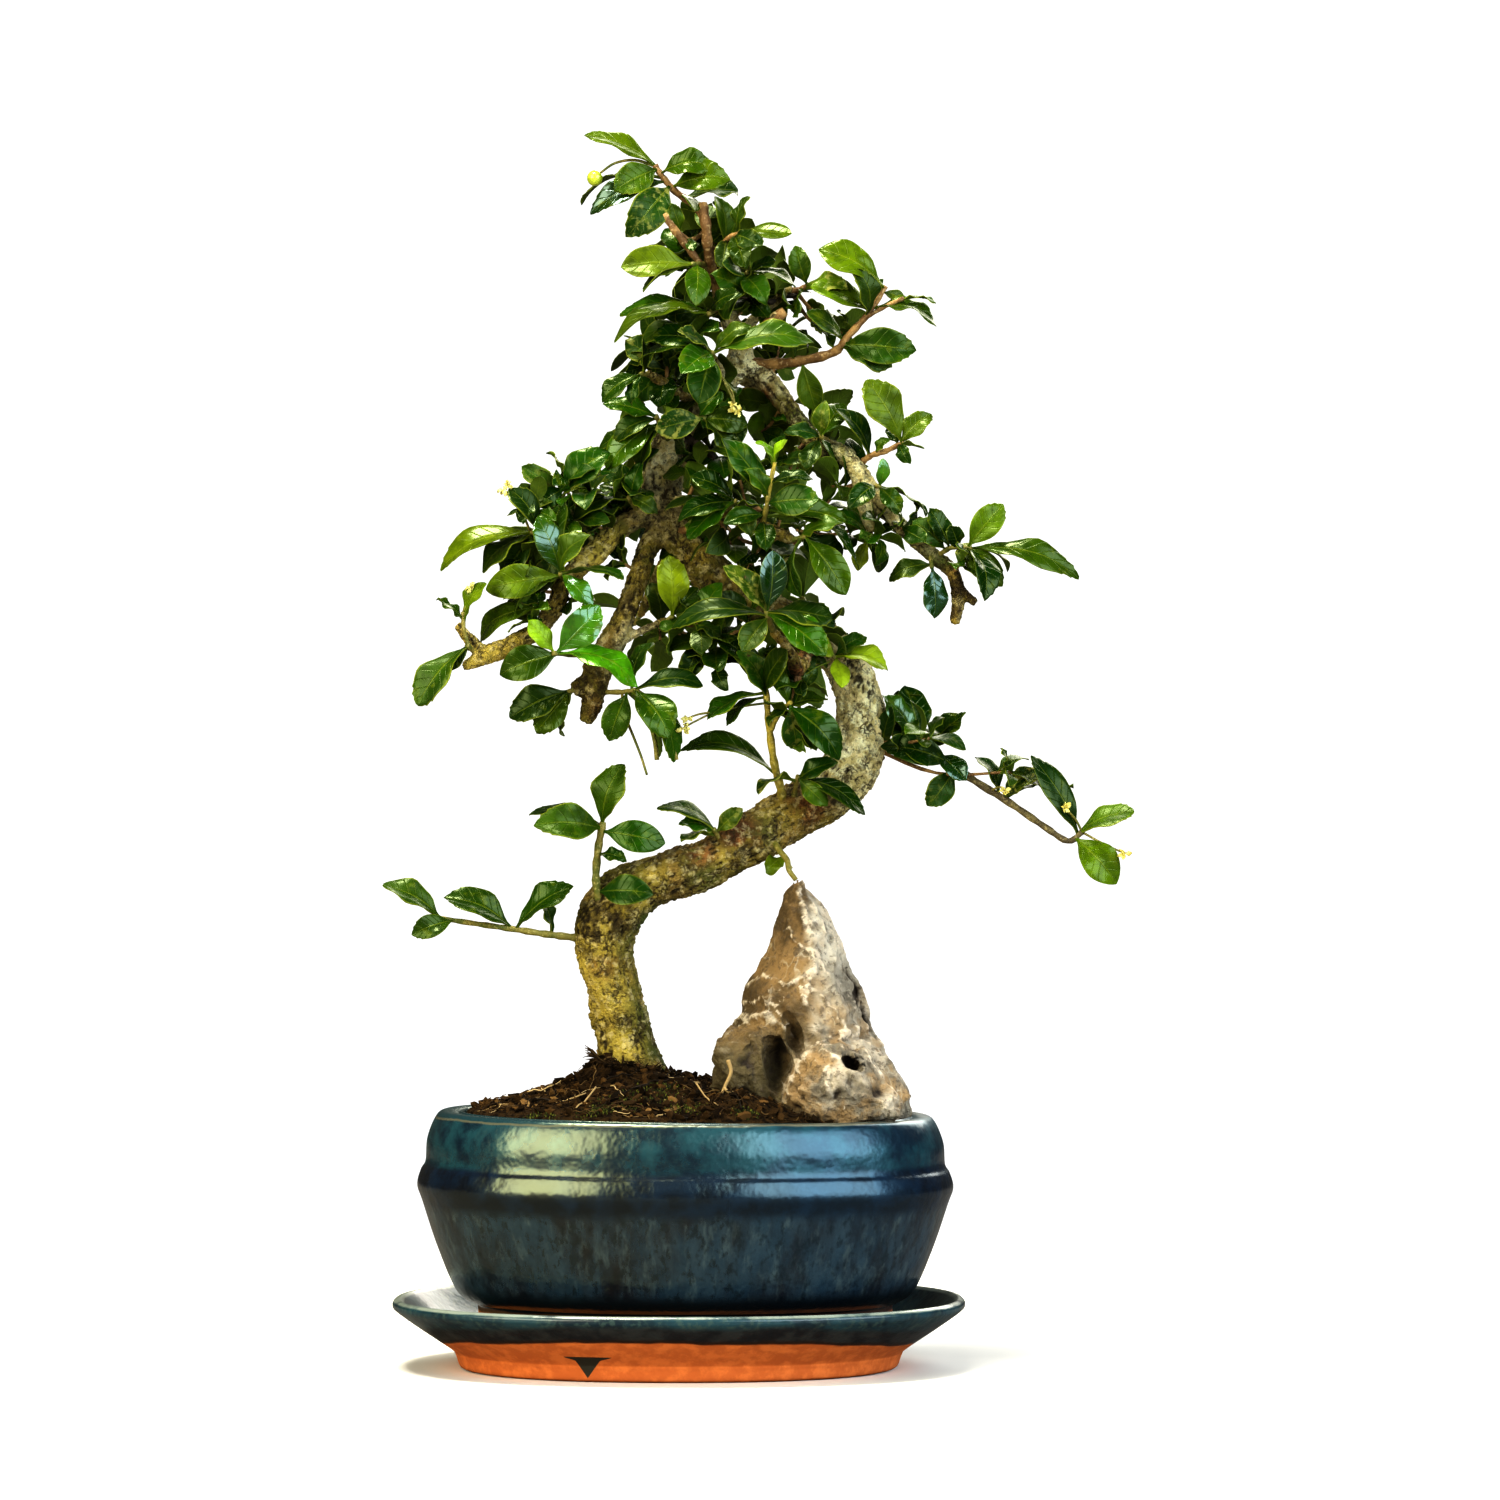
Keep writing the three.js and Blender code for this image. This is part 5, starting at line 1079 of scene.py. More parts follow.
leaf_count, lost = 0, 0
sprays = {}
for spray_number, name in enumerate(dict.fromkeys(twig[0] for twig in TWIGS)):
    node = "spray_" + name
    corners = finder_of(places_of(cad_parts[node].data))
    leaf_pile, stem_pile = Pile(), Pile()
    number = spray_number * 100
    for _, stem, ends, leaves, *more in (twig for twig in TWIGS if twig[0] == name):
        line = np.array([seen(*row) for row in stem])
        put_stem(stem_pile, line, ends)
        fill = sum(more)
        wanted = [shown_leaf(leaf, line, number + order) for order, leaf in enumerate(leaves)]
        wanted += [rule_leaf(fill, order, line, number + order) for order in range(fill)]
        for tries in wanted:
            base, tip, face, found = found_try(tries, corners)
            lost += not found
            face, glints = turned_to_window(base, tip, face)
            put_blade(leaf_pile, base, tip, face, number, tone_of(tip, number), glints=glints)
            number += 1
            leaf_count += 1
    sprays[name] = (node, leaf_pile, stem_pile)
print(leaf_count, "leaves in", len(sprays), "sprays,", lost, "not found in the plain model")

# %% [markdown]
# ## Leaf finish
# A leaf is dark and waxy above, paler and duller below, with soft patches of painted shade and painted
# sunlight. The midrib and a few side veins show pale, a thin line of painted backlight runs round the rim,
# some leaves carry cream patches of painted sheen, and worn leaves carry brown blotches. Ribs and rim are
# drawn from the place on the blade, so they follow each leaf whichever way it points.

# %% Leaf shader
shader, leaf_finish = finish_of("leaf", 0.35)
t_across, t_along, is_top = apart("blade")
light, olive, draw = apart("tone")
# the light tone makes a leaf paler and yellower: partly a young leaf's own colour, partly painted light
green = tones(light, [
    (0.0, (0.004, 0.026, 0.001)), (0.22, (0.014, 0.068, 0.001)), (0.45, (0.056, 0.15, 0.002)),
    (0.7, (0.075, 0.27, 0.005)), (1.0, (0.30, 0.52, 0.01))])
yellowish = tones(light, [
    (0.0, (0.018, 0.037, 0.001)), (0.3, (0.074, 0.11, 0.002)), (0.6, (0.24, 0.26, 0.005)),
    (1.0, (0.52, 0.54, 0.03))])
skin = blend(olive, green, yellowish)
# soft patches of painted shade, then of painted sunlight
shaded = lay(skin, (0.005, 0.021, 0.001), patches(150, 0.4, 0.64), 0.5)
painted_sunlight = lay(shaded, (0.16, 0.19, 0.008), patches(240, 0.55, 0.7, offset=(4, 0, 0)), 0.3)
from_rib = sums("ABSOLUTE", t_across)
rib_width = ramp(t_along, 0.0, 1.0, 0.11, 0.035)
rib = sums("SUBTRACT", 1.0, ramp(sums("DIVIDE", from_rib, rib_width), 0.5, 1.0))
vein_place = sums("SUBTRACT", product(t_along, 7.5), product(from_rib, 1.5))
vein_off = sums("ABSOLUTE", sums("SUBTRACT", sums("FRACT", vein_place), 0.5))
vein = ramp(vein_off, 0.0, 0.09, 1.0, 0.0)
with_veins = lay(painted_sunlight, (0.15, 0.19, 0.012), vein, 0.12)
with_rib = lay(with_veins, (0.22, 0.26, 0.02), rib, 0.3)
# painted backlight: a pale line round the rim
with_rim_backlight = lay(with_rib, (0.30, 0.32, 0.03), ramp(from_rib, 0.88, 0.99), ramp(draw, 0.2, 0.9, 0.12, 0.5))
# painted sheen: cream patches on some leaves that stand for the shine of a bumpy blade
with_painted_sheen = lay(with_rim_backlight, (0.34, 0.33, 0.09), patches(330, 0.5, 0.62, offset=(2, 2, 2)),
                  ramp(draw, 0.88, 1.0, 0.0, 0.6))
with_blotches = lay(with_painted_sheen, (0.06, 0.035, 0.015), patches(420, 0.66, 0.71), ramp(draw, 0.8, 0.82))
underside = sums("SUBTRACT", 1.0, is_top)
leaf_colour = lay(with_blotches, (0.10, 0.15, 0.012), underside, 0.62)
gloss = sums("ADD", ramp(draw, 0.0, 1.0, 0.20, 0.38), product(underside, 0.3))
join(gloss, shader, "Roughness")
# the leaves that catch the window have draw 0: they are glossier, and their shine is cooler
plain_leaf = ramp(draw, 0.0, 0.03)
join(ramp(plain_leaf, 0.0, 1.0, 1.0, 0.36), shader, "Specular IOR Level")
join(blend(plain_leaf, (0.75, 1, 1), (0.82, 1, 0.55)), shader, "Specular Tint")
leather = sums("SUBTRACT", patches(130, 0.2, 0.8, detail=1.0), product(vein, 0.3))
paint(shader, leaf_colour, sums("ADD", leather, product(rib, 0.4)), 0.6, 0.0006)
print("leaf finish made")

# %% [markdown]
# Young twigs are green, older ones brown or yellow with pale dots, and the long low branch is dark. They
# share one recipe with different colours.

# %% Twig finishes, and the spray pieces
def twig_of(name, first, second, dots):
    """Bark of a young twig: two colours in patches, and pale dots."""
    shader, material = finish_of(name, 0.62)
    woody = blend(patches(160, 0.42, 0.62), first, second)
    spotted = lay(woody, dots, patches(700, 0.55, 0.65), 0.6)
    paint(shader, spotted, patches(800, 0.3, 0.7), 0.6, 0.0003)
    return material


green_twig = twig_of("green twig", (0.22, 0.19, 0.04), (0.10, 0.12, 0.015), (0.42, 0.37, 0.14))
brown_twig = twig_of("brown twig", (0.15, 0.08, 0.024), (0.36, 0.22, 0.08), (0.56, 0.42, 0.22))
yellow_twig = twig_of("yellow twig", (0.46, 0.37, 0.06), (0.20, 0.17, 0.03), (0.62, 0.54, 0.20))
dark_twig = twig_of("dark twig", (0.085, 0.065, 0.028), (0.17, 0.14, 0.055), (0.34, 0.28, 0.13))
TWIG_FINISHES = {
    **dict.fromkeys(("apex", "upper_right", "right_top_twig", "right_top", "right_limb_twig"), brown_twig),
    **dict.fromkeys(("trunk_shoot", "middle_shoot"), yellow_twig), "low_right_branch": dark_twig,
}
for name, (node, leaf_pile, stem_pile) in sprays.items():
    finish = TWIG_FINISHES.get(name, green_twig)
    stem_pile.piece(node + "_stems", finish, replaces=[node], slot="bark")
    leaf_pile.piece(node + "_leaves", leaf_finish, replaces=[node], slot="foliage", sharp=LEAF_SHARP)
print("sprays made:", 2 * len(sprays), "pieces")

# %% [markdown]
# ## The inner crown
# Behind the leaves that can be told apart, the crown is full of smaller ones on short side shoots. Each
# clump here is a place, how many leaves it has and how long they are, and its shoot comes from the
# nearest wood.

# %% Fill the crown with clumps
# across, down, depth, how many leaves and how long, in millimetres
CLUMPS = {
    "crown_top": [
        (724, 236, 6, 6, 14), (744, 240, 2, 6, 14), (688, 268, 8, 6, 14),
        (746, 292, -4, 6, 16), (706, 312, -6, 6, 16), (742, 312, 6, 6, 15), (772, 302, 2, 6, 14),
        (820, 328, 6, 5, 12), (792, 330, 6, 6, 15), (846, 334, 2, 5, 11), (668, 338, -8, 6, 16),
        (652, 342, 4, 6, 15), (692, 332, -8, 6, 16), (644, 362, 2, 5, 13), (668, 370, -8, 6, 16),
        (690, 382, 2, 6, 15), (650, 398, 0, 6, 14), (704, 398, 0, 6, 14), (632, 432, -4, 5, 13),
        (712, 232, 16, 6, 14), (760, 280, 20, 6, 15), (690, 320, 22, 7, 16), (730, 330, 26, 7, 16),
        (780, 345, 26, 6, 15), (660, 370, 24, 7, 16), (700, 390, 30, 7, 16),
    ],
    "crown_middle": [
        (718, 402, -4, 6, 15), (736, 426, 0, 6, 16), (762, 432, 8, 6, 15), (702, 456, -8, 6, 17),
        (728, 462, 0, 6, 16), (762, 470, -12, 6, 14), (796, 470, 2, 6, 15), (832, 486, -8, 6, 15),
        (818, 452, 8, 5, 14), (716, 500, -12, 6, 15), (732, 546, -12, 6, 17), (760, 546, 0, 6, 16),
        (704, 542, 6, 6, 14), (796, 530, -4, 6, 14), (844, 536, -8, 5, 13), (878, 538, -16, 6, 14),
        (902, 528, -18, 5, 12), (960, 562, -22, 5, 12), (740, 480, 28, 7, 16), (790, 470, 32, 7, 16),
        (830, 500, 24, 6, 15), (720, 520, 30, 7, 16), (780, 520, 26, 6, 15),
    ],
    "crown_left": [
        (560, 482, -14, 6, 14), (590, 490, -12, 6, 14), (532, 502, -20, 5, 13), (560, 520, -14, 6, 14),
        (592, 530, -6, 6, 14), (620, 500, -4, 6, 14), (526, 560, -20, 6, 13), (544, 558, -10, 6, 14),
        (576, 600, -14, 6, 14), (620, 560, -8, 5, 12), (532, 618, -26, 5, 12), (640, 480, -6, 6, 13),
        (580, 500, 14, 7, 15), (550, 540, 10, 7, 15), (600, 540, 16, 7, 15), (640, 500, 24, 7, 15),
        (540, 590, 4, 6, 14), (660, 640, 14, 6, 14),
    ],
    "crown_low": [
        (702, 624, -16, 6, 15), (718, 648, -10, 6, 15), (746, 630, -4, 6, 16), (722, 672, -12, 6, 13),
        (762, 650, -6, 6, 14), (790, 646, -6, 6, 14), (802, 690, -14, 6, 13), (788, 726, -16, 5, 12),
        (802, 744, -14, 5, 12), (812, 634, -2, 6, 14), (740, 600, 28, 7, 16), (780, 640, 26, 7, 15),
        (720, 640, 22, 6, 15), (930, 738, -4, 6, 13), (898, 748, 6, 5, 13), (1012, 772, 0, 5, 12),
        (900, 724, 20, 6, 13),
    ],
}
CROWN_MIDDLE = np.array([24.0, 2.0, 0.0])


# the leaves of a clump get a low light tone: painted shade deep in the crown
def put_clump(leaf_pile, stem_pile, place, count, length, number):
    """A short shoot from the nearest wood, with leaves along it that lean every way but mostly outwards."""
    heart = seen(*place)
    root = np.array(core_tree.find(heart)[0])
    reach = np.linalg.norm(heart - root)
    line = np.array([root, (root + heart) / 2 - UP * 0.1 * reach, heart])
    put_stem(stem_pile, line, (2.6, 1.6))
    away = unit((heart - CROWN_MIDDLE) * np.array([1, 1, 0]))
    near_side = FRONT if heart[1] < 12 else -FRONT
    out = unit(0.7 * away + 0.6 * near_side + 0.45 * UP)
    side = unit(np.cross(UP, out))
    over = np.cross(out, side)
    back = unit(line[1] - heart)
    for order in range(count):
        n = number + order
        angle = GOLDEN_ANGLE * order + 6.28 * chance(number)
        lean = 0.15 + 1.0 * chance(n + 0.3)
        way = unit(math.cos(angle) * side + math.sin(angle) * over + lean * out)
        base = heart + back * min(reach, length) * 0.55 * order / count
        tip = base + way * length * (0.65 + 0.55 * chance(n + 0.4))
        tilt = np.array([chance(n + 0.5), chance(n + 0.6), chance(n + 0.7)]) - 0.5
        face = 0.5 * out + UP + 2.0 * tilt
        face = unit(face - way * (face @ way))
        dark = 0.3 * chance(n + 0.1) ** 1.5
        high = np.clip((420 - place[1]) / 280, 0, 1)
        put_blade(leaf_pile, base, tip, face, n, (dark, 0.7 * chance(n + 0.2) ** 1.5 + 0.3 * high), few=True)


for clump_number, (name, clumps) in enumerate(CLUMPS.items()):
    leaf_pile, stem_pile = Pile(), Pile()
    for order, (across, down, depth, count, length) in enumerate(clumps):
        number = 9000 + 1000 * clump_number + 12 * order
        put_clump(leaf_pile, stem_pile, (across, down, depth), count, length, number)
    leaf_pile.piece(name + "_leaves", leaf_finish, slot="foliage", sharp=LEAF_SHARP)
    stem_pile.piece(name + "_shoots", brown_twig, slot="bark")
    print(name, "has", len(clumps), "clumps")

# %% [markdown]
# ## The stone
# A weathered limestone pinnacle with an arch at its foot. The plain block is remeshed finely, and its
# points are moved: sharp ridges from folded noise, and round pits where the stone has dissolved.

# %% Carve the stone
STONE_VOXEL = 0.7
SWELL_HEIGHT, PLANE_HEIGHT, FOLD_HEIGHT, PIT_DEPTH = 1.5, 1.4, 0.6, 1.9
# lines in the front view that stand out or are cut in: the line, its half-width in pixels, and its height
# in millimetres
STONE_LINES = [
    ([(800, 882), (806, 920), (813, 958), (806, 1000)], 5, 1.0),
    ([(722, 1052), (727, 1032), (744, 1019), (766, 1016), (786, 1023), (798, 1040), (804, 1056)], 6, 1.8),
    ([(803, 1064), (816, 1046), (836, 1033), (862, 1028), (880, 1040)], 6, 1.6),
    ([(802, 1062), (790, 1085), (776, 1106)], 5, 1.2),
    ([(846, 1030), (838, 1050), (826, 1075), (830, 1100)], 4, 0.9),
    ([(862, 1046), (874, 1070), (880, 1100)], 4, 0.9),
    ([(742, 988), (764, 976), (786, 986), (806, 974)], 3, 0.8),
    ([(739, 1004), (760, 999), (778, 1006)], 3, 0.7),
    ([(786, 930), (800, 948), (818, 955)], 3, 0.7),
    ([(812, 905), (832, 935), (852, 958)], 3, 0.7),
    ([(820, 960), (842, 985), (862, 1012)], 3, 0.8),
    ([(812, 985), (828, 1002), (846, 1022)], 3, 0.8),
    ([(782, 1010), (794, 1028), (804, 1048), (804, 1060)], 4, -1.5),
    ([(855, 966), (870, 1000), (879, 1032)], 6, -2.8),
    ([(830, 968), (848, 998)], 3, -0.9),
    ([(752, 1040), (750, 1060), (756, 1080)], 4, -0.8),
]
# hollows in the front view: middle, half-sizes in pixels, depth in millimetres
STONE_HOLLOWS = [
    ((777, 1058), (5, 21), -2.9), ((850, 1062), (7, 5), -1.8), ((812, 1078), (5, 4), -1.4),
    ((833, 1098), (9, 7), -1.4), ((836, 1050), (6, 5), -1.4), ((872, 1092), (5, 8), -1.4),
    ((800, 1096), (6, 5), -1.0), ((862, 1040), (6, 4), -1.0), ((860, 990), (5, 20), -0.8),
    ((872, 1020), (4, 12), -0.8),
]
stone = copy_of_node("limestone_pinnacle", "stone")
stone_mesh = remeshed(stone, STONE_VOXEL, 7)
points, outward = places_of(stone_mesh), normals_of(stone_mesh)
# hollow: how deep a point lies in a pit or hollow, into which the shader paints shade; below zero it marks
# ridges, which turn paler, partly as a painted highlight
moved, hollow = np.zeros(len(points)), np.zeros(len(points))
across, down = in_view(points)
for i, point in enumerate(points):
    spot = Vector(point)
    bend = noise.noise(spot * 0.06 + Vector((9, 2, 4)))
    leaning = Vector((spot.x * 0.15 + spot.z * 0.11 + 0.7 * bend, spot.y * 0.12, (spot.z - spot.x) * 0.035))
    swell = noise.noise(spot * 0.055) + 0.5 * noise.noise(leaning * 0.8)
    fold = max(0, 1 - 11 * abs(noise.noise(leaning)))
    some = np.clip(2 * noise.noise(spot * 0.07 + Vector((3, 3, 0))) + 0.4, 0, 1)
    small_fold = some * max(0, 1 - 8 * abs(noise.noise(leaning * 2.3 + Vector((4, 0, 1)))))
    plane = noise.noise(leaning * 1.4 + Vector((0, 7, 0)))
    rough = noise.noise(spot * 0.7) + 0.6 * noise.noise(spot * 1.6)
    low = np.clip((down[i] - 1005) / 30, 0, 1)
    pitted = low * np.clip((noise.noise(spot * 0.08) + 0.25) * 2.4, 0, 1)
    pores = noise.voronoi(spot * 0.16 + noise.noise_vector(spot * 0.2) * 0.3)[0]
    small_pores = noise.voronoi(spot * 0.36)[0]
    pit = pitted * (np.clip(1.3 * (0.5 - pores[0]) / 0.5, 0, 1) + 0.5 * max(0, 0.4 - small_pores[0]) / 0.4)
    calm = 0.45 + 0.55 * low
    large = SWELL_HEIGHT * swell + PLANE_HEIGHT * plane + FOLD_HEIGHT * fold
    moved[i] = calm * large + 0.3 * small_fold - 0.7 + 0.16 * rough - PIT_DEPTH * pit
    hollow[i] = 0.8 * pit - calm * 0.45 * fold - 0.3 * small_fold - 0.22 * rough - 0.25 * plane + 0.16
facing = np.clip(-outward[:, 1] * 2.5, 0, 1)


def from_line(across, down, line):
    """How far places in the front view lie from a line, in pixels."""
    nearest = np.full(len(across), 1e9)
    for (x0, y0), (x1, y1) in zip(line, line[1:]):
        dx, dy = x1 - x0, y1 - y0
        share = np.clip(((across - x0) * dx + (down - y0) * dy) / (dx * dx + dy * dy), 0, 1)
        nearest = np.minimum(nearest, np.hypot(across - x0 - share * dx, down - y0 - share * dy))
    return nearest


wobble = np.array([noise.noise(Vector(point) * 0.25) for point in points]) * 5
for line, half, height in STONE_LINES:
    near = np.exp(-(from_line(across + wobble, down - wobble, line) / half) ** 2) * facing
    moved += height * near
    hollow -= 0.5 * np.sign(height) * near
for (x, y), (half_across, half_down), height in STONE_HOLLOWS:
    away = ((across + wobble - x) / half_across) ** 2 + ((down - y) / half_down) ** 2
    near = np.exp(-away ** 1.5) * facing
    moved += height * near
    hollow += 0.75 * near
points += outward * moved[:, None]
points[:, 0] += 5.5 * np.clip((across - 850) / 45, 0, 1) * np.clip((down - 1025) / 70, 0, 1)
put_back(stone_mesh, points)
# the left of the pinnacle in the front view is brown, and it is also taken as lying in shade: the shader
# paints it darker there
brown_shaded_side = np.clip((812 - across + 3 * wobble) / 26 + 0.5, 0, 1) * np.maximum(
    np.clip((1050 - down) / 40 + 0.7, 0.35, 1), np.clip((796 - across) / 16, 0, 1))
tag_mesh(stone_mesh, "stone", np.column_stack([np.clip(hollow, 0, 1), brown_shaded_side, np.clip(-hollow, 0, 1)]))

print("stone:", len(points), "points")

# %% [markdown]
# The stone is grey above and paler towards the top on its right, and brown on the left and at the foot. The
# left side is darkened further with painted shade near its foot. Ridges are pale, partly with a painted
# highlight, and hollows are nearly black with painted shade; both come from tags that the carving left on the
# points.

# %% Limestone shader
shader, stone_finish = finish_of("limestone", 0.7)
hollow, brown_shaded_side, pale_lit_crest = apart("stone")
height = own("Z")
grey = blend(patches(80, 0.4, 0.62), (0.23, 0.20, 0.15), (0.56, 0.49, 0.385))
brown = blend(patches(70, 0.4, 0.62, offset=(2, 0, 6)), (0.13, 0.085, 0.034), (0.34, 0.225, 0.10))
# paler towards the top on the right side
paler_high = lay(grey, (0.82, 0.75, 0.62), ramp(height, 0.122, 0.15),
               patches(110, 0.3, 0.55, offset=(1, 0, 0)))
both = blend(brown_shaded_side, paler_high, brown)
ochre = lay(both, (0.43, 0.28, 0.125), ramp(height, 0.105, 0.125, 0.8, 0.35),
            patches(60, 0.46, 0.6, offset=(0, 3, 1)))
# the ridges turn pale: partly the stone's own pale edges, partly a painted highlight
pale = lay(ochre, (0.84, 0.73, 0.58), ramp(pale_lit_crest, 0.14, 0.5, 0.0, 0.9))
veined = lay(pale, (0.60, 0.54, 0.42), cracks(120, 0.05, 1.6, (1, 1, 0.6)),
             patches(60, 0.5, 0.6, offset=(5, 5, 0)), 0.5)
# painted shade: the left side turns darker brown towards the foot
darkened = lay(veined, (0.11, 0.085, 0.035), brown_shaded_side, ramp(height, 0.102, 0.128, 1.0, 0.0))
speckled = lay(darkened, (0.09, 0.065, 0.04), patches(420, 0.54, 0.64), 0.6)
# painted shade: the hollows turn nearly black
stone_colour = lay(speckled, (0.05, 0.035, 0.022), ramp(hollow, 0.35, 1.0))
paint(shader, stone_colour, patches(420, 0.2, 0.8, detail=8), 1.0, 0.0014)
stone_mesh.materials.append(stone_finish)
print("limestone finish made")

# %% [markdown]
# ## Soil, crumbs, roots and moss
# The soil is dark and crumbly. Its top is remeshed and roughened, loose crumbs lie on it, fine pale roots
# wind over it and moss grows in low cushions.

# %% The soil and its crumbs
SOIL_VOXEL = 1.0
# where the soil is heaped up: the middle, and its reach and height in millimetres
HEAPS = [(seen(632, 1066, -6), 17, 3.2), (seen(600, 1080, -8), 8, 5.0), (seen(742, 1085, -38), 12, 5.5)]
soil = copy_of_node("potting_soil", "soil")
soil_mesh = remeshed(soil, SOIL_VOXEL, 3)
points = places_of(soil_mesh)
for i, point in enumerate(points):
    if point[2] > 80:
        spot = Vector(point)
        rise = noise.noise(spot * 0.12) + 0.9 * noise.noise(spot * 0.33) + 0.6 * noise.noise(spot * 0.9)
        points[i, 2] += 0.9 * rise
        for middle, reach, high in HEAPS:
            off = math.hypot(point[0] - middle[0], point[1] - middle[1])
            points[i, 2] += high * math.exp(-(off / reach) ** 2)
put_back(soil_mesh, points)

shader, soil_finish = finish_of("damp soil", 0.92, specular_ior_level=0.1)
brown = blend(patches(300, 0.4, 0.6), (0.008, 0.004, 0.0015), (0.042, 0.024, 0.008))
reddish = lay(brown, (0.06, 0.034, 0.014), patches(180, 0.58, 0.66, offset=(3, 0, 0)))
paint(shader, reddish, patches(900, 0.2, 0.8), 0.9, 0.001)
soil_mesh.materials.append(soil_finish)
print("soil:", len(points), "points")

# %% [markdown]
# Crumbs are uneven lumps of all sizes, strewn over the oval of the pot. Each is put down on the soil by
# looking straight down for it from above.

# %% Strew the crumbs
CRUMB_NUMBERS = range(20000, 24600)
OVAL_MIDDLE, OVAL_HALF_LENGTH, OVAL_HALF_DEPTH = 2.2, 74, 57
soil_skin = BVHTree.FromObject(soil, bpy.context.evaluated_depsgraph_get())


def ground_at(x, y):
    """The height of the soil under a place, in millimetres, and None off the soil."""
    hit = soil_skin.ray_cast(Vector((x * MM, y * MM, 0.13)), Vector((0, 0, -1)), 0.06)[0]
    return None if hit is None else hit.z / MM


def round_stone(middle, size, number):
    """A small uneven lump: an icosahedron with each corner drawn in or out."""
    gold = (1 + 5 ** 0.5) / 2
    corners = [(-1, gold, 0), (1, gold, 0), (-1, -gold, 0), (1, -gold, 0), (0, -1, gold), (0, 1, gold),
               (0, -1, -gold), (0, 1, -gold), (gold, 0, -1), (gold, 0, 1), (-gold, 0, -1), (-gold, 0, 1)]
    faces = [(0, 11, 5), (0, 5, 1), (0, 1, 7), (0, 7, 10), (0, 10, 11), (1, 5, 9), (5, 11, 4), (11, 10, 2),
             (10, 7, 6), (7, 1, 8), (3, 9, 4), (3, 4, 2), (3, 2, 6), (3, 6, 8), (3, 8, 9), (4, 9, 5),
             (2, 4, 11), (6, 2, 10), (8, 6, 7), (9, 8, 1)]
    uneven = np.array([0.6 + 0.8 * chance(number + 0.07 * k) for k in range(12)])
    long_way = np.array([chance(number + 0.31), chance(number + 0.53), 0.5 * chance(number + 0.77)])
    long_way = unit(long_way - 0.45)
    lumpy = np.array(corners) / 1.9 * uneven[:, None]
    stretched = lumpy * 0.7 + np.outer(lumpy @ long_way, long_way) * (0.4 + 0.9 * chance(number + 0.9))
    return middle + stretched * size, faces


def in_pot(number, reach=0.97):
    """A place on the soil, drawn evenly over the oval."""
    turn = 2 * math.pi * chance(number + 0.4)
    out = reach * math.sqrt(chance(number + 0.8))
    return OVAL_MIDDLE + OVAL_HALF_LENGTH * out * math.cos(turn), OVAL_HALF_DEPTH * out * math.sin(turn)


crumbs = Pile()
for number in CRUMB_NUMBERS:
    x, y = in_pot(number)
    z = ground_at(x, y)
    if z is None:
        continue
    size = 0.35 + 1.7 * chance(number + 0.2) ** 6
    middle = np.array([x, y, z + 0.25 * size])
    crumbs.put(*round_stone(middle, size, number), tone=(chance(number + 0.6), 0, 0))
crumb_finish = toned("soil crumb", 0.9, 0.1, [
    (0.0, (0.007, 0.004, 0.001)), (0.6, (0.038, 0.021, 0.007)), (0.9, (0.10, 0.055, 0.018)),
    (0.98, (0.20, 0.12, 0.045)), (1.0, (0.36, 0.27, 0.13))], (1200, 0.2, 0.8), 0.8, 0.0005)
crumbs.piece("soil_crumbs", crumb_finish, slot="soil", sharp=35)
print("crumbs:", len(crumbs.points))

# %% [markdown]
# Fine roots are threads that wander over the soil a short step at a time and stay on it. A forked root
# and a few straws lie at places read from the front view, and short dark roots stand round the trunk.

# %% Fine roots and straws
ROOT_NUMBERS, BEARD_NUMBERS = range(30000, 30460), range(30500, 30620)
root_finish = toned("fine root", 0.7, 0.2, [
    (0.0, (0.010, 0.006, 0.002)), (0.7, (0.06, 0.032, 0.010)), (0.9, (0.20, 0.13, 0.05)),
    (1.0, (0.55, 0.42, 0.22))], (900, 0.2, 0.8), 0.5, 0.0003)


def put_root(pile, x, y, heading, length, radius, number, lift):
    """A thread that winds over the soil from a place."""
    spots = []
    for step in range(9):
        z = ground_at(x, y)
        if z is None:
            break
        spots.append([x, y, z + lift + radius * 0.6 * math.sin(step * 1.9 + number)])
        heading += 1.1 * (chance(number + step * 0.13) - 0.5)
        x += length / 8 * math.cos(heading)
        y += length / 8 * math.sin(heading)
    if len(spots) > 3:
        curve, radii = smooth_line(np.array(spots), np.linspace(radius, radius * 0.5, len(spots)), 2)
        pile.put(*tube(curve, radii, 4), tone=(chance(number + 0.7), 0, 0))


fine_roots = Pile()
for number in ROOT_NUMBERS:
    x, y = in_pot(number, 0.95)
    put_root(fine_roots, x, y, 6.3 * chance(number), 5 + 16 * chance(number + 0.5) ** 2,
             0.15 + 0.3 * chance(number + 0.3) ** 4, number, 0.2 + 1.4 * chance(number + 0.6) ** 3)
fork = [[728, 1060, -38], [731, 1072, -38.5], [726, 1084, -39], [722, 1093, -39.5]]
other_fork = [[724, 1088, -39.5], [733, 1096, -40], [742, 1102, -40.5]]
straws = [[[596, 1087, -30], [585, 1101, -36], [574, 1113, -42]], [[560, 1103, -30], [586, 1093, -30]],
          [[696, 1083, -30], [708, 1101, -38], [718, 1118, -46]], [[656, 1120, -52], [668, 1114, -50]]]
laid = [(fork, (0.8, 0.5)), (other_fork, (0.6, 0.35)), *((straw, (0.32, 0.24)) for straw in straws)]
for line, ends in laid:
    curve, radii = smooth_line([seen(*row) for row in line], np.linspace(*ends, len(line)), 6)
    curve[:, 2] = [max(z, (ground_at(x, y) or 0) + 0.5) for x, y, z in curve]
    fine_roots.put(*tube(curve, radii, 8), tone=(0.94, 0, 0))
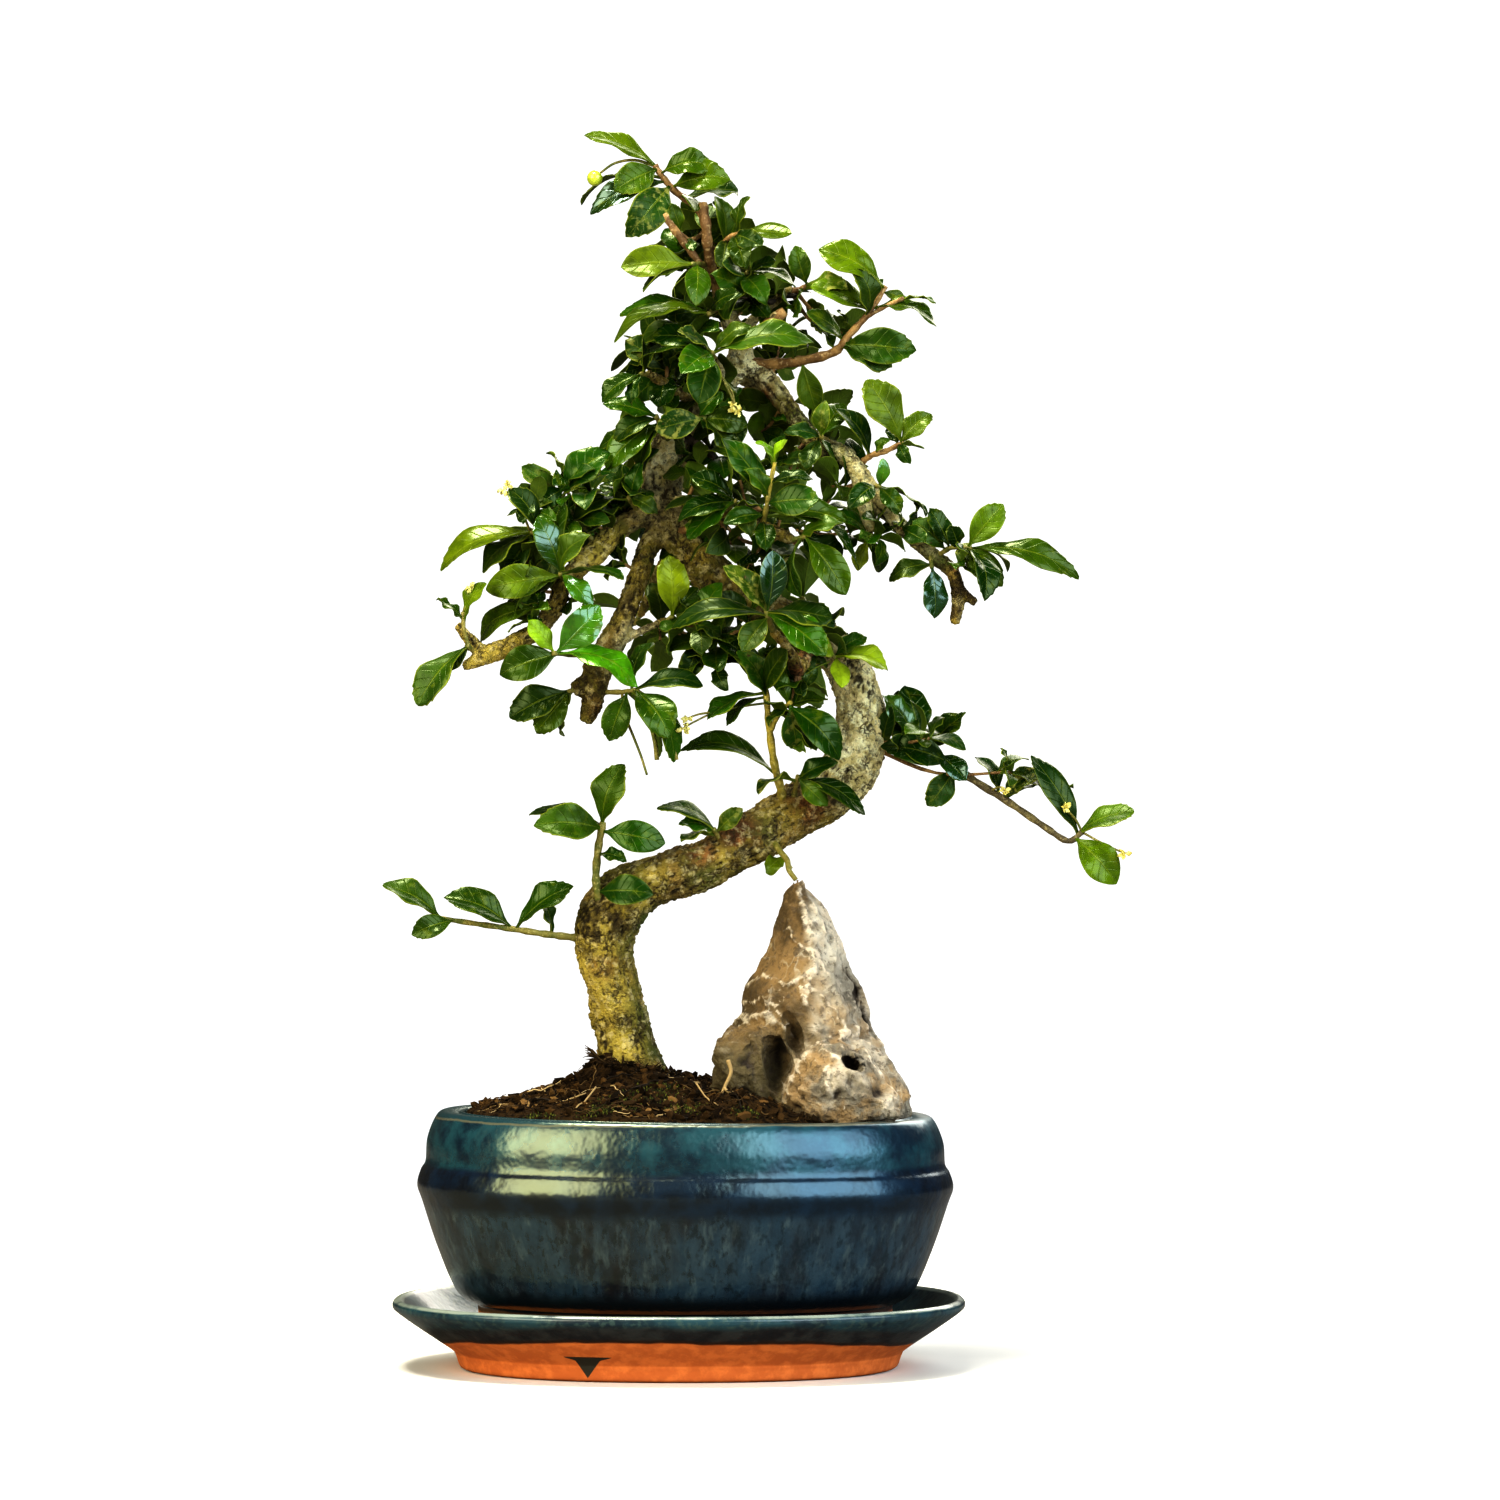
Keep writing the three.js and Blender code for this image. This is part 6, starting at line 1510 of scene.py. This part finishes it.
# a beard of short dark roots where the trunk enters the soil
for number in BEARD_NUMBERS:
    turn = 2.2 + 3.4 * chance(number)
    foot = HEAPS[0][0] + np.array([math.cos(turn) * 11, math.sin(turn) * 9, 0])
    base = foot + UP * ((ground_at(foot[0], foot[1]) or 100) - foot[2] - 0.4)
    length = 2 + 4 * chance(number + 0.6)
    way = np.array([math.cos(turn), math.sin(turn), 0.9 * chance(number + 0.4)]) * length
    curve = [base, base + 0.6 * way + UP * chance(number + 0.8), base + way]
    fine_roots.put(*tube(curve, [0.3, 0.22, 0.1], 4), tone=(0.75 * chance(number + 0.2), 0, 0))
fine_roots.piece("fine_roots", root_finish, slot="bark")
print("roots:", len(fine_roots.points))

# %% [markdown]
# Moss is many short tapering tufts in low cushions, shorter towards the edge of each bed.

# %% Moss
FIRST_TUFT, TUFTS_PER_MM = 40000, 20
shader, moss_finish = finish_of("moss", 0.85, specular_ior_level=0.2)
shade = apart("tone")[0]
moss_colour = tones(shade, [
    (0.0, (0.010, 0.013, 0.002)), (0.6, (0.040, 0.048, 0.006)), (1.0, (0.17, 0.18, 0.03))])
join(moss_colour, shader, "Base Color")
MOSS_BEDS = [(470, 1105, -44, 9), (430, 1108, -30, 7), (530, 1102, -46, 10), (640, 1088, -38, 18),
             (600, 1098, -46, 10), (690, 1098, -44, 9), (745, 1112, -50, 6), (900, 1100, -36, 7),
             (660, 1080, -26, 9), (560, 1085, 30, 12), (760, 1085, 34, 14), (870, 1090, 26, 10),
             (480, 1090, 22, 12)]
moss = Pile()
number = FIRST_TUFT
for across, down, depth, reach in MOSS_BEDS:
    middle = seen(across, down, depth)
    for _ in range(int(TUFTS_PER_MM * reach)):
        number += 1
        turn, out = 6.283 * chance(number), reach * chance(number + 0.5) ** 0.7
        x, y = middle[0] + out * math.cos(turn), middle[1] + 0.6 * out * math.sin(turn)
        z = ground_at(x, y)
        if z is None:
            continue
        high = (0.6 + 0.9 * chance(number + 0.2)) * (1.1 - 0.5 * out / reach)
        lean = 0.7 * np.array([chance(number + 0.3) - 0.5, chance(number + 0.6) - 0.5, 0])
        foot = np.array([x, y, z - 0.3])
        curve = np.array([foot, foot + UP * high * 0.6 + lean * high * 0.4, foot + UP * high + lean * high])
        moss.put(*tube(curve, [0.3, 0.22, 0.05], 4), tone=(chance(number + 0.8), 0, 0))
moss.piece("moss", moss_finish, slot="foliage")
print("moss tufts:", len(moss.points))

# %% [markdown]
# ## Pot and saucer
# Both are ovals, a little squarer than an ellipse, thrown over a mould and glazed. A profile gives
# half-length against height; a smooth curve through it is carried round the oval. The rim warped a little
# in the kiln.

# %% Turn the profiles into ovals
POT_MIDDLE_X = 2.2
POT_WARP = 1.2
POT_HALF_LENGTH, POT_HEIGHT = 91, 86
HOLE_APART, HOLE_RADIUS = 38, 6
OVAL_POWER = 2 / 2.3
SAUCER_PROFILE = [
    [72, 0], [74.4, 0.9], [75.8, 4.6], [77.6, 6.8], [88, 13.8], [96.2, 19.7],
    [97.2, 21.9], [95.4, 23.4], [92.8, 22], [84, 13.6], [75, 9],
]
POT_PROFILE = [
    [60, 14.5], [61.5, 9.3], [69.5, 9.3], [70.5, 21.5], [73, 22.6], [78.2, 27], [84.3, 41.3], [89.2, 56],
    [91, 61.6], [89.8, 66.5], [88.2, 69.5], [87.6, 77], [84.8, 84], [82, 86], [77, 85.4], [75.2, 83],
    [70, 45], [63, 29],
]


def smooth_profile(profile, steps=7):
    """The profile as a curve that never reaches past its widest and lowest points."""
    rows = np.array([[half, 0, z] for half, z in profile], dtype=float)
    curve, _ = smooth_line(rows, np.ones(len(rows)), steps)
    curve[:, 0] = np.minimum(curve[:, 0], rows[:, 0].max())
    curve[:, 2] = np.clip(curve[:, 2], rows[:, 2].min(), rows[:, 2].max())
    return curve[:, [0, 2]]


def oval_shell(profile, depth_share, middle_x, warp, sides=168):
    """Rings of a squarish oval at each height of the profile. The warp lowers one end and lifts the other."""
    turn = 2 * np.pi * np.arange(sides) / sides
    x_share = np.sign(np.cos(turn)) * np.abs(np.cos(turn)) ** OVAL_POWER
    y_share = np.sign(np.sin(turn)) * np.abs(np.sin(turn)) ** OVAL_POWER
    rings = []
    for half, z in profile:
        drop = warp * x_share * half / POT_HALF_LENGTH * (z / POT_HEIGHT) ** 2
        rings.append(np.column_stack([middle_x + x_share * half, y_share * half * depth_share, z - drop]))
    points = np.vstack(rings + [[[middle_x, 0, profile[0][1]], [middle_x, 0, profile[-1][1]]]])
    return points, ring_faces(len(profile), sides)


pot = piece_of("oval_pot", *oval_shell(smooth_profile(POT_PROFILE), 0.77, POT_MIDDLE_X, POT_WARP),
               replaces=["pot"], slot="pot_glaze")
saucer = piece_of("oval_saucer", *oval_shell(smooth_profile(SAUCER_PROFILE), 0.78, 0, 0),
                  replaces=["saucer"], slot="saucer_glaze")
for x in (POT_MIDDLE_X - HOLE_APART, POT_MIDDLE_X + HOLE_APART):
    drill = piece_of("drill", *tube([[x, 0, 5], [x, 0, 20], [x, 0, 36]], [HOLE_RADIUS] * 3, 32))
    hole = pot.modifiers.new("drain hole", "BOOLEAN")
    hole.operation = "DIFFERENCE"
    hole.object = drill
    hole.solver = "EXACT"
    settled(pot)
    bpy.data.objects.remove(drill)
print("pot and saucer:", len(pot.data.vertices), len(saucer.data.vertices), "points")

# %% [markdown]
# ## Glazes
# The glaze was dipped in layers: teal at the rim, navy in the cove, slate on the wall with blue-green
# runs, and bare terracotta at the foot. Bands of height choose the colours, and noise pushes their
# borders up and down.

# %% Tools for the glazes
def height_of(wave=2.0, scale=55.0):
    """The height of a point in millimetres, pushed up and down by a slow noise."""
    place = add("TexCoord").outputs["Object"]
    cloud = add("TexNoise", {"Vector": place, "Scale": scale, "Detail": 3.0})
    push = product(sums("SUBTRACT", cloud.outputs[0], 0.5), wave)
    return sums("ADD", product(own("Z"), 1 / MM), push)


def banded(height, base, bands):
    """Lays colour after colour from each height up. A band is (from, over how many mm, colour)."""
    for start, over, colour in bands:
        base = lay(base, colour, ramp(height, start - over / 2, start + over / 2))
    return base


def terracotta():
    """The bare clay that shows below the glaze."""
    return blend(patches(200, 0.4, 0.65), (0.54, 0.15, 0.032), (0.67, 0.21, 0.05))


print("glaze tools ready")

# %% Pot glaze
shader, pot_glaze = finish_of("pot glaze", 0.26, coat_roughness=0.2, specular_ior_level=1.0)
height = height_of()
teal = blend(patches(70, 0.38, 0.62), (0.003, 0.014, 0.030), (0.013, 0.058, 0.078))
teal = lay(teal, (0.004, 0.014, 0.032), patches(420, 0.6, 0.7), 0.6)
slate = blend(patches(60, 0.36, 0.64, (1, 1, 0.4)), (0.011, 0.009, 0.014), (0.017, 0.037, 0.060))
slate = lay(slate, (0.038, 0.064, 0.088), patches(150, 0.4, 0.7, (1, 1, 0.25)), 0.6)
slate = lay(slate, (0.10, 0.135, 0.14), patches(260, 0.5, 0.72, (1, 1, 0.3), (4, 4, 0)), 0.4)
slate = lay(slate, (0.004, 0.007, 0.012), patches(420, 0.5, 0.66, (1, 1, 0.5)), 0.65)
navy = blend(patches(90, 0.4, 0.65), (0.002, 0.004, 0.013), (0.004, 0.014, 0.036))
# the first band darkens the bare clay just under the glaze: painted shade, where the foot lies in the shadow
# of the wall
pot_colour = banded(height, terracotta(), [
    (19.4, 1.6, (0.08, 0.028, 0.010)), (21.5, 1.0, (0.004, 0.006, 0.010)), (28.0, 5.0, slate),
    (55.0, 5.0, navy), (69.6, 2.4, teal), (84.9, 0.5, (0.10, 0.10, 0.075)),
    (85.6, 0.4, (0.012, 0.045, 0.06))])
across = own("X")
fired = ramp(height, 20.5, 21.5, 0.8, ramp(across, 0.0, 0.06, 0.26, 0.33))
join(fired, shader, "Roughness")
# the reflections are tinted warm on the left and cool on the right, by place: painted colour of the
# reflections
shine = blend(ramp(across, -0.02, 0.05), (0.88, 1.0, 0.66), (0.42, 0.78, 1.0))
join(shine, shader, "Specular Tint")
join(ramp(height, 20.5, 21.5, 0.0, 0.25), shader, "Coat Weight")
paint(shader, pot_colour, patches(90, 0.2, 0.8, detail=3.0), 0.3, 0.0010)
pot.data.materials.append(pot_glaze)
print("pot glaze made")

# %% [markdown]
# The saucer is teal inside and on its flare, dark under it, and bare clay at the foot, where the glaze
# left a fleck: it widens upwards from a point, and its top edge runs out in two spikes.

# %% Saucer glaze and drain screens
FLECK_ACROSS = 0.0295
FLECK_FOOT, FLECK_TOP = 0.0014, 0.0088
shader, saucer_glaze = finish_of("saucer glaze", 0.3, coat_weight=0.3, coat_roughness=0.16)
across, depth, up = (own(axis) for axis in "XYZ")
height = sums("SUBTRACT", height_of(3.0, 40), product(depth, depth, 1050.0))
teal = blend(patches(50, 0.4, 0.6), (0.007, 0.022, 0.034), (0.019, 0.060, 0.078))
teal = lay(teal, (0.06, 0.10, 0.09), patches(420, 0.5, 0.64), 0.6)
under_flare = blend(patches(120, 0.4, 0.62), (0.012, 0.014, 0.018), (0.035, 0.04, 0.042))
dipped = banded(height, terracotta(), [
    (9.3, 0.7, (0.03, 0.012, 0.005)), (10.2, 1.0, under_flare), (13.9, 1.8, teal)])
inside = ramp(own("Z", "Normal"), 0.1, 0.4)
dipped = lay(dipped, teal, inside)
fleck_share = sums("DIVIDE", sums("SUBTRACT", up, FLECK_FOOT), FLECK_TOP - FLECK_FOOT)
spikes = ramp(fleck_share, 0.8, 1.0, 0.0, 0.003)
fleck_half = sums("ADD", product(fleck_share, 0.0050), spikes)
fleck_off = sums("ABSOLUTE", sums("ADD", across, FLECK_ACROSS))
dipped = lay(dipped, (0.035, 0.030, 0.018), sums("LESS_THAN", fleck_off, fleck_half),
             sums("LESS_THAN", up, FLECK_TOP), sums("LESS_THAN", depth))
# painted highlight: a pale line along the top of the lip
lip_highlight = lay(dipped, (0.28, 0.32, 0.28), ramp(height_of(0.8, 60), 22.3, 22.9), patches(60, 0.3, 0.5), 0.8)
glazed_share = sums("MAXIMUM", ramp(height, 8.8, 9.4), inside)
join(ramp(glazed_share, 0.0, 1.0, 0.8, 0.3), shader, "Roughness")
join(product(glazed_share, 0.3), shader, "Coat Weight")
paint(shader, lip_highlight, patches(110, 0.2, 0.8, detail=3.0), 0.3, 0.0008)
saucer.data.materials.append(saucer_glaze)

screen_finish = two_tone("drain screen", 0.5, (500, 0.4, 0.6), (0.02, 0.02, 0.02), (0.05, 0.05, 0.045),
                         (1500, 0.3, 0.7), 0.3, 0.0002)
for node in ("drain_screen_left", "drain_screen_right"):
    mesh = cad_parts[node].data
    mesh.materials.clear()
    mesh.materials.append(screen_finish)
print("saucer glaze and drain screens made")

# %% [markdown]
# ## Floor
# A wide disc takes the soft shadow of the saucer. Near the plant it is matte and pale, and it fades into
# plain white further out, so that no edge of it shows from any side.

# %% The floor
FLOOR_RADIUS, FLOOR_THICK, UNDER_SAUCER = 9000, 6, 0.05  # millimetres
floor_points, floor_faces = tube([[0, 0, -FLOOR_THICK], [0, 0, -UNDER_SAUCER]], [FLOOR_RADIUS] * 2, 96)
floor_mesh = bpy.data.meshes.new("floor")
floor_mesh.from_pydata((floor_points * MM).tolist(), [], floor_faces)
floor = linked(bpy.data.objects.new("floor", floor_mesh))
floor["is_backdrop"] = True
shader, floor_finish = finish_of("pale floor", 0.9)
place = add("TexCoord").outputs["Object"]
distance = add("VectorMath", {0: place}, operation="LENGTH").outputs["Value"]
matte = blend(patches(20, 0.3, 0.7), (0.80, 0.80, 0.79), (0.83, 0.83, 0.82))
path = add("LightPath")
straight = path.outputs["Is Camera Ray"]
bounced = blend(path.outputs["Is Glossy Ray"], (0.36, 0.34, 0.30), (0.13, 0.12, 0.11))
join(blend(straight, bounced, matte), shader, "Base Color")
glow = add("Emission", {"Color": (1, 1, 1, 1), "Strength": 1.0})
for_camera = sums("MULTIPLY", ramp(distance, 0.22, 0.75), straight)
fade = add("MixShader", {0: for_camera, 1: shader.outputs[0], 2: glow.outputs[0]})
join(fade.outputs[0], tree.nodes["Material Output"], "Surface")
floor_mesh.materials.append(floor_finish)
print("floor made")

# %% [markdown]
# ## Flowers, berry and small things
# A few dry cream flowers, one round green berry on a thin stalk, and seed stalks.

# %% Finishes of the small things
berry_finish = two_tone("berry", 0.22, (220, 0.45, 0.6), (0.36, 0.44, 0.03), (0.52, 0.60, 0.07),
                        (500, 0.3, 0.7), 0.2, 0.0002, coat_weight=0.4, coat_roughness=0.1)
dry_finish = two_tone("dry flower", 0.85, (500, 0.4, 0.6), (0.58, 0.50, 0.12), (0.84, 0.80, 0.34),
                      (900, 0.3, 0.7), 0.6, 0.0003)
dead_finish = two_tone("dead twig", 0.8, (260, 0.4, 0.62), (0.03, 0.022, 0.014), (0.11, 0.085, 0.06),
                       (700, 0.2, 0.8), 0.8, 0.0006)
print("finishes of berry, flowers and dead twigs made")

# %% The berry
BERRY_PLACE = (595, 178, -3)
BERRY_RADIUS = 2.7
BERRY_STALK = [(655, 166, -1), (635, 160, -2), (615, 163, -3), (600, 173, -3)]
berry_pile, stalk_pile = Pile(), Pile()
turns = np.linspace(0, math.pi, 13)
ball = np.array([seen(*BERRY_PLACE) - UP * math.cos(turn) * BERRY_RADIUS for turn in turns])
berry_pile.put(*tube(ball, np.maximum(np.sin(turns) * BERRY_RADIUS, 0.08), 20))
berry_pile.piece("green_berry", berry_finish, slot="foliage")
stalk_pile.put_line(BERRY_STALK, (0.55, 0.4), 8, steps=6)
stalk_pile.piece("berry_stalk", green_twig, slot="foliage")
print("berry:", BERRY_RADIUS * 2, "mm wide")

# %% [markdown]
# Each dry flower is a bunch of small crumpled blades on a stalk that starts at its shoot.

# %% Flowers
# each flower: its place, its size in millimetres, and the places its stalk passes from the shoot on
FLOWERS = [
    ((735, 405, -20), 3.6, [(713, 358, -20), (722, 376, -20), (732, 392, -20)]),
    ((738, 412, -21), 3.0, [(722, 376, -20), (732, 398, -21)]),
    ((503, 490, -24), 3.0, [(530, 531, -23), (521, 510, -24), (511, 495, -24)]),
    ((508, 484, -24), 2.4, [(521, 510, -24), (513, 492, -24)]),
    ((470, 587, -30), 2.6, [(463, 612, -30), (469, 600, -30)]),
    ((684, 728, -22), 3.2, [(767, 703, -16), (745, 706, -17), (716, 712, -18), (694, 722, -21)]),
    ((688, 718, -22), 3.0, [(716, 712, -18), (700, 714, -21)]),
    ((1125, 853, -4), 3.0, [(1082, 832, 0), (1100, 842, -2), (1117, 850, -4)]),
    ((1065, 808, -4), 2.8, [(1082, 832, 0), (1076, 820, -2), (1069, 812, -4)]),
    ((1005, 790, -1), 2.6, [(991, 791, 5), (999, 787, 1)]),
]
PETALS, FIRST_PETAL = 7, 60000
PETAL_FACE = FRONT + 0.2 * UP
flowers, stalks = Pile(), Pile()
for number, (place, size, way_there) in enumerate(FLOWERS):
    middle = seen(*place)
    stalks.put_line([*way_there, place], (0.42, 0.3), 6)
    for petal in range(PETALS):
        n = FIRST_PETAL + number * PETALS + petal
        way = unit(np.array([chance(n) - 0.5, -0.3 * chance(n + 0.3), chance(n + 0.6) - 0.6]))
        tip = middle + way * size * (0.5 + 0.5 * chance(n + 0.8))
        face = unit(PETAL_FACE - way * (PETAL_FACE @ way))
        put_blade(flowers, middle, tip, face, n, (0, 0), few=True)
flowers.piece("dry_flowers", dry_finish, slot="foliage", sharp=LEAF_SHARP)
print("flowers:", len(FLOWERS))

# %% [markdown]
# A few dead twigs and snags stand in the crown, and seed stalks hang from the limbs. Each is a thin tube
# through places of the front view, a little knobbly where it is wood.

# %% Dead twigs and stalks
# dead twigs, snags and seed stalks: points as across, down, depth, and the two end radii in millimetres
DEAD_TWIGS = [
    ([(731, 292, 0), (745, 300, -3), (757, 296, -4), (770, 302, -5), (783, 297, -5), (797, 295, -6)],
     (1.0, 0.8)),
    ([(684, 437, 3), (700, 446, -4), (708, 452, -7), (715, 458, -8)], (1.7, 1.1)),
    ([(708, 452, -7), (717, 448, -8)], (0.9, 0.5)),
]
TAN_TWIGS = [
    ([(702, 204, -6), (706, 225, -8), (708, 250, -6), (713, 272, -2), (719, 292, 3)], (1.9, 1.8)),
    ([(664, 214, -10), (676, 232, -10), (688, 248, -8), (700, 263, -7)], (1.4, 1.2)),
    ([(757, 331, -8), (770, 322, -12), (785, 311, -13)], (1.5, 1.9)),
    ([(680, 531, -3), (696, 527, -10), (712, 521, -15), (738, 514, -18), (762, 508, -18)], (1.2, 0.8)),
]
SEED_STALKS = [
    ([(622, 692, -20), (624, 712, -21), (634, 738, -22), (641, 756, -22), (647, 775, -22)], (0.5, 0.4)),
    ([(636, 690, -22), (646, 706, -22), (650, 722, -22), (655, 742, -22), (657, 760, -22)], (0.6, 0.8)),
    ([(636, 690, -22), (652, 702, -22), (662, 722, -22), (672, 742, -22), (676, 760, -22)], (0.7, 0.9)),
    ([(772, 838, -2), (779, 850, -9), (787, 860, -14), (789, 870, -17), (796, 880, -17)], (1.2, 0.8)),
]
for name, twigs, finish in (("dead_twigs", DEAD_TWIGS, dead_finish), ("tan_twigs", TAN_TWIGS, brown_twig)):
    pile = Pile()
    for line, ends in twigs:
        pile.put_line(line, ends, 8, knobs=(0.15, 1.7))
    pile.piece(name, finish, slot="bark")
for line, ends in SEED_STALKS:
    stalks.put_line(line, ends, 6)
stalks.piece("flower_stalks", green_twig, slot="foliage")
print("twigs and stalks:", len(DEAD_TWIGS + TAN_TWIGS + SEED_STALKS))

# %% Sizes and the end
dressed_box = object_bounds()
sizes = {"plain": [list(corner) for corner in cad_box], "dressed": [list(corner) for corner in dressed_box]}
print("box:", [[round(v, 4) for v in corner] for corner in sizes["dressed"]])
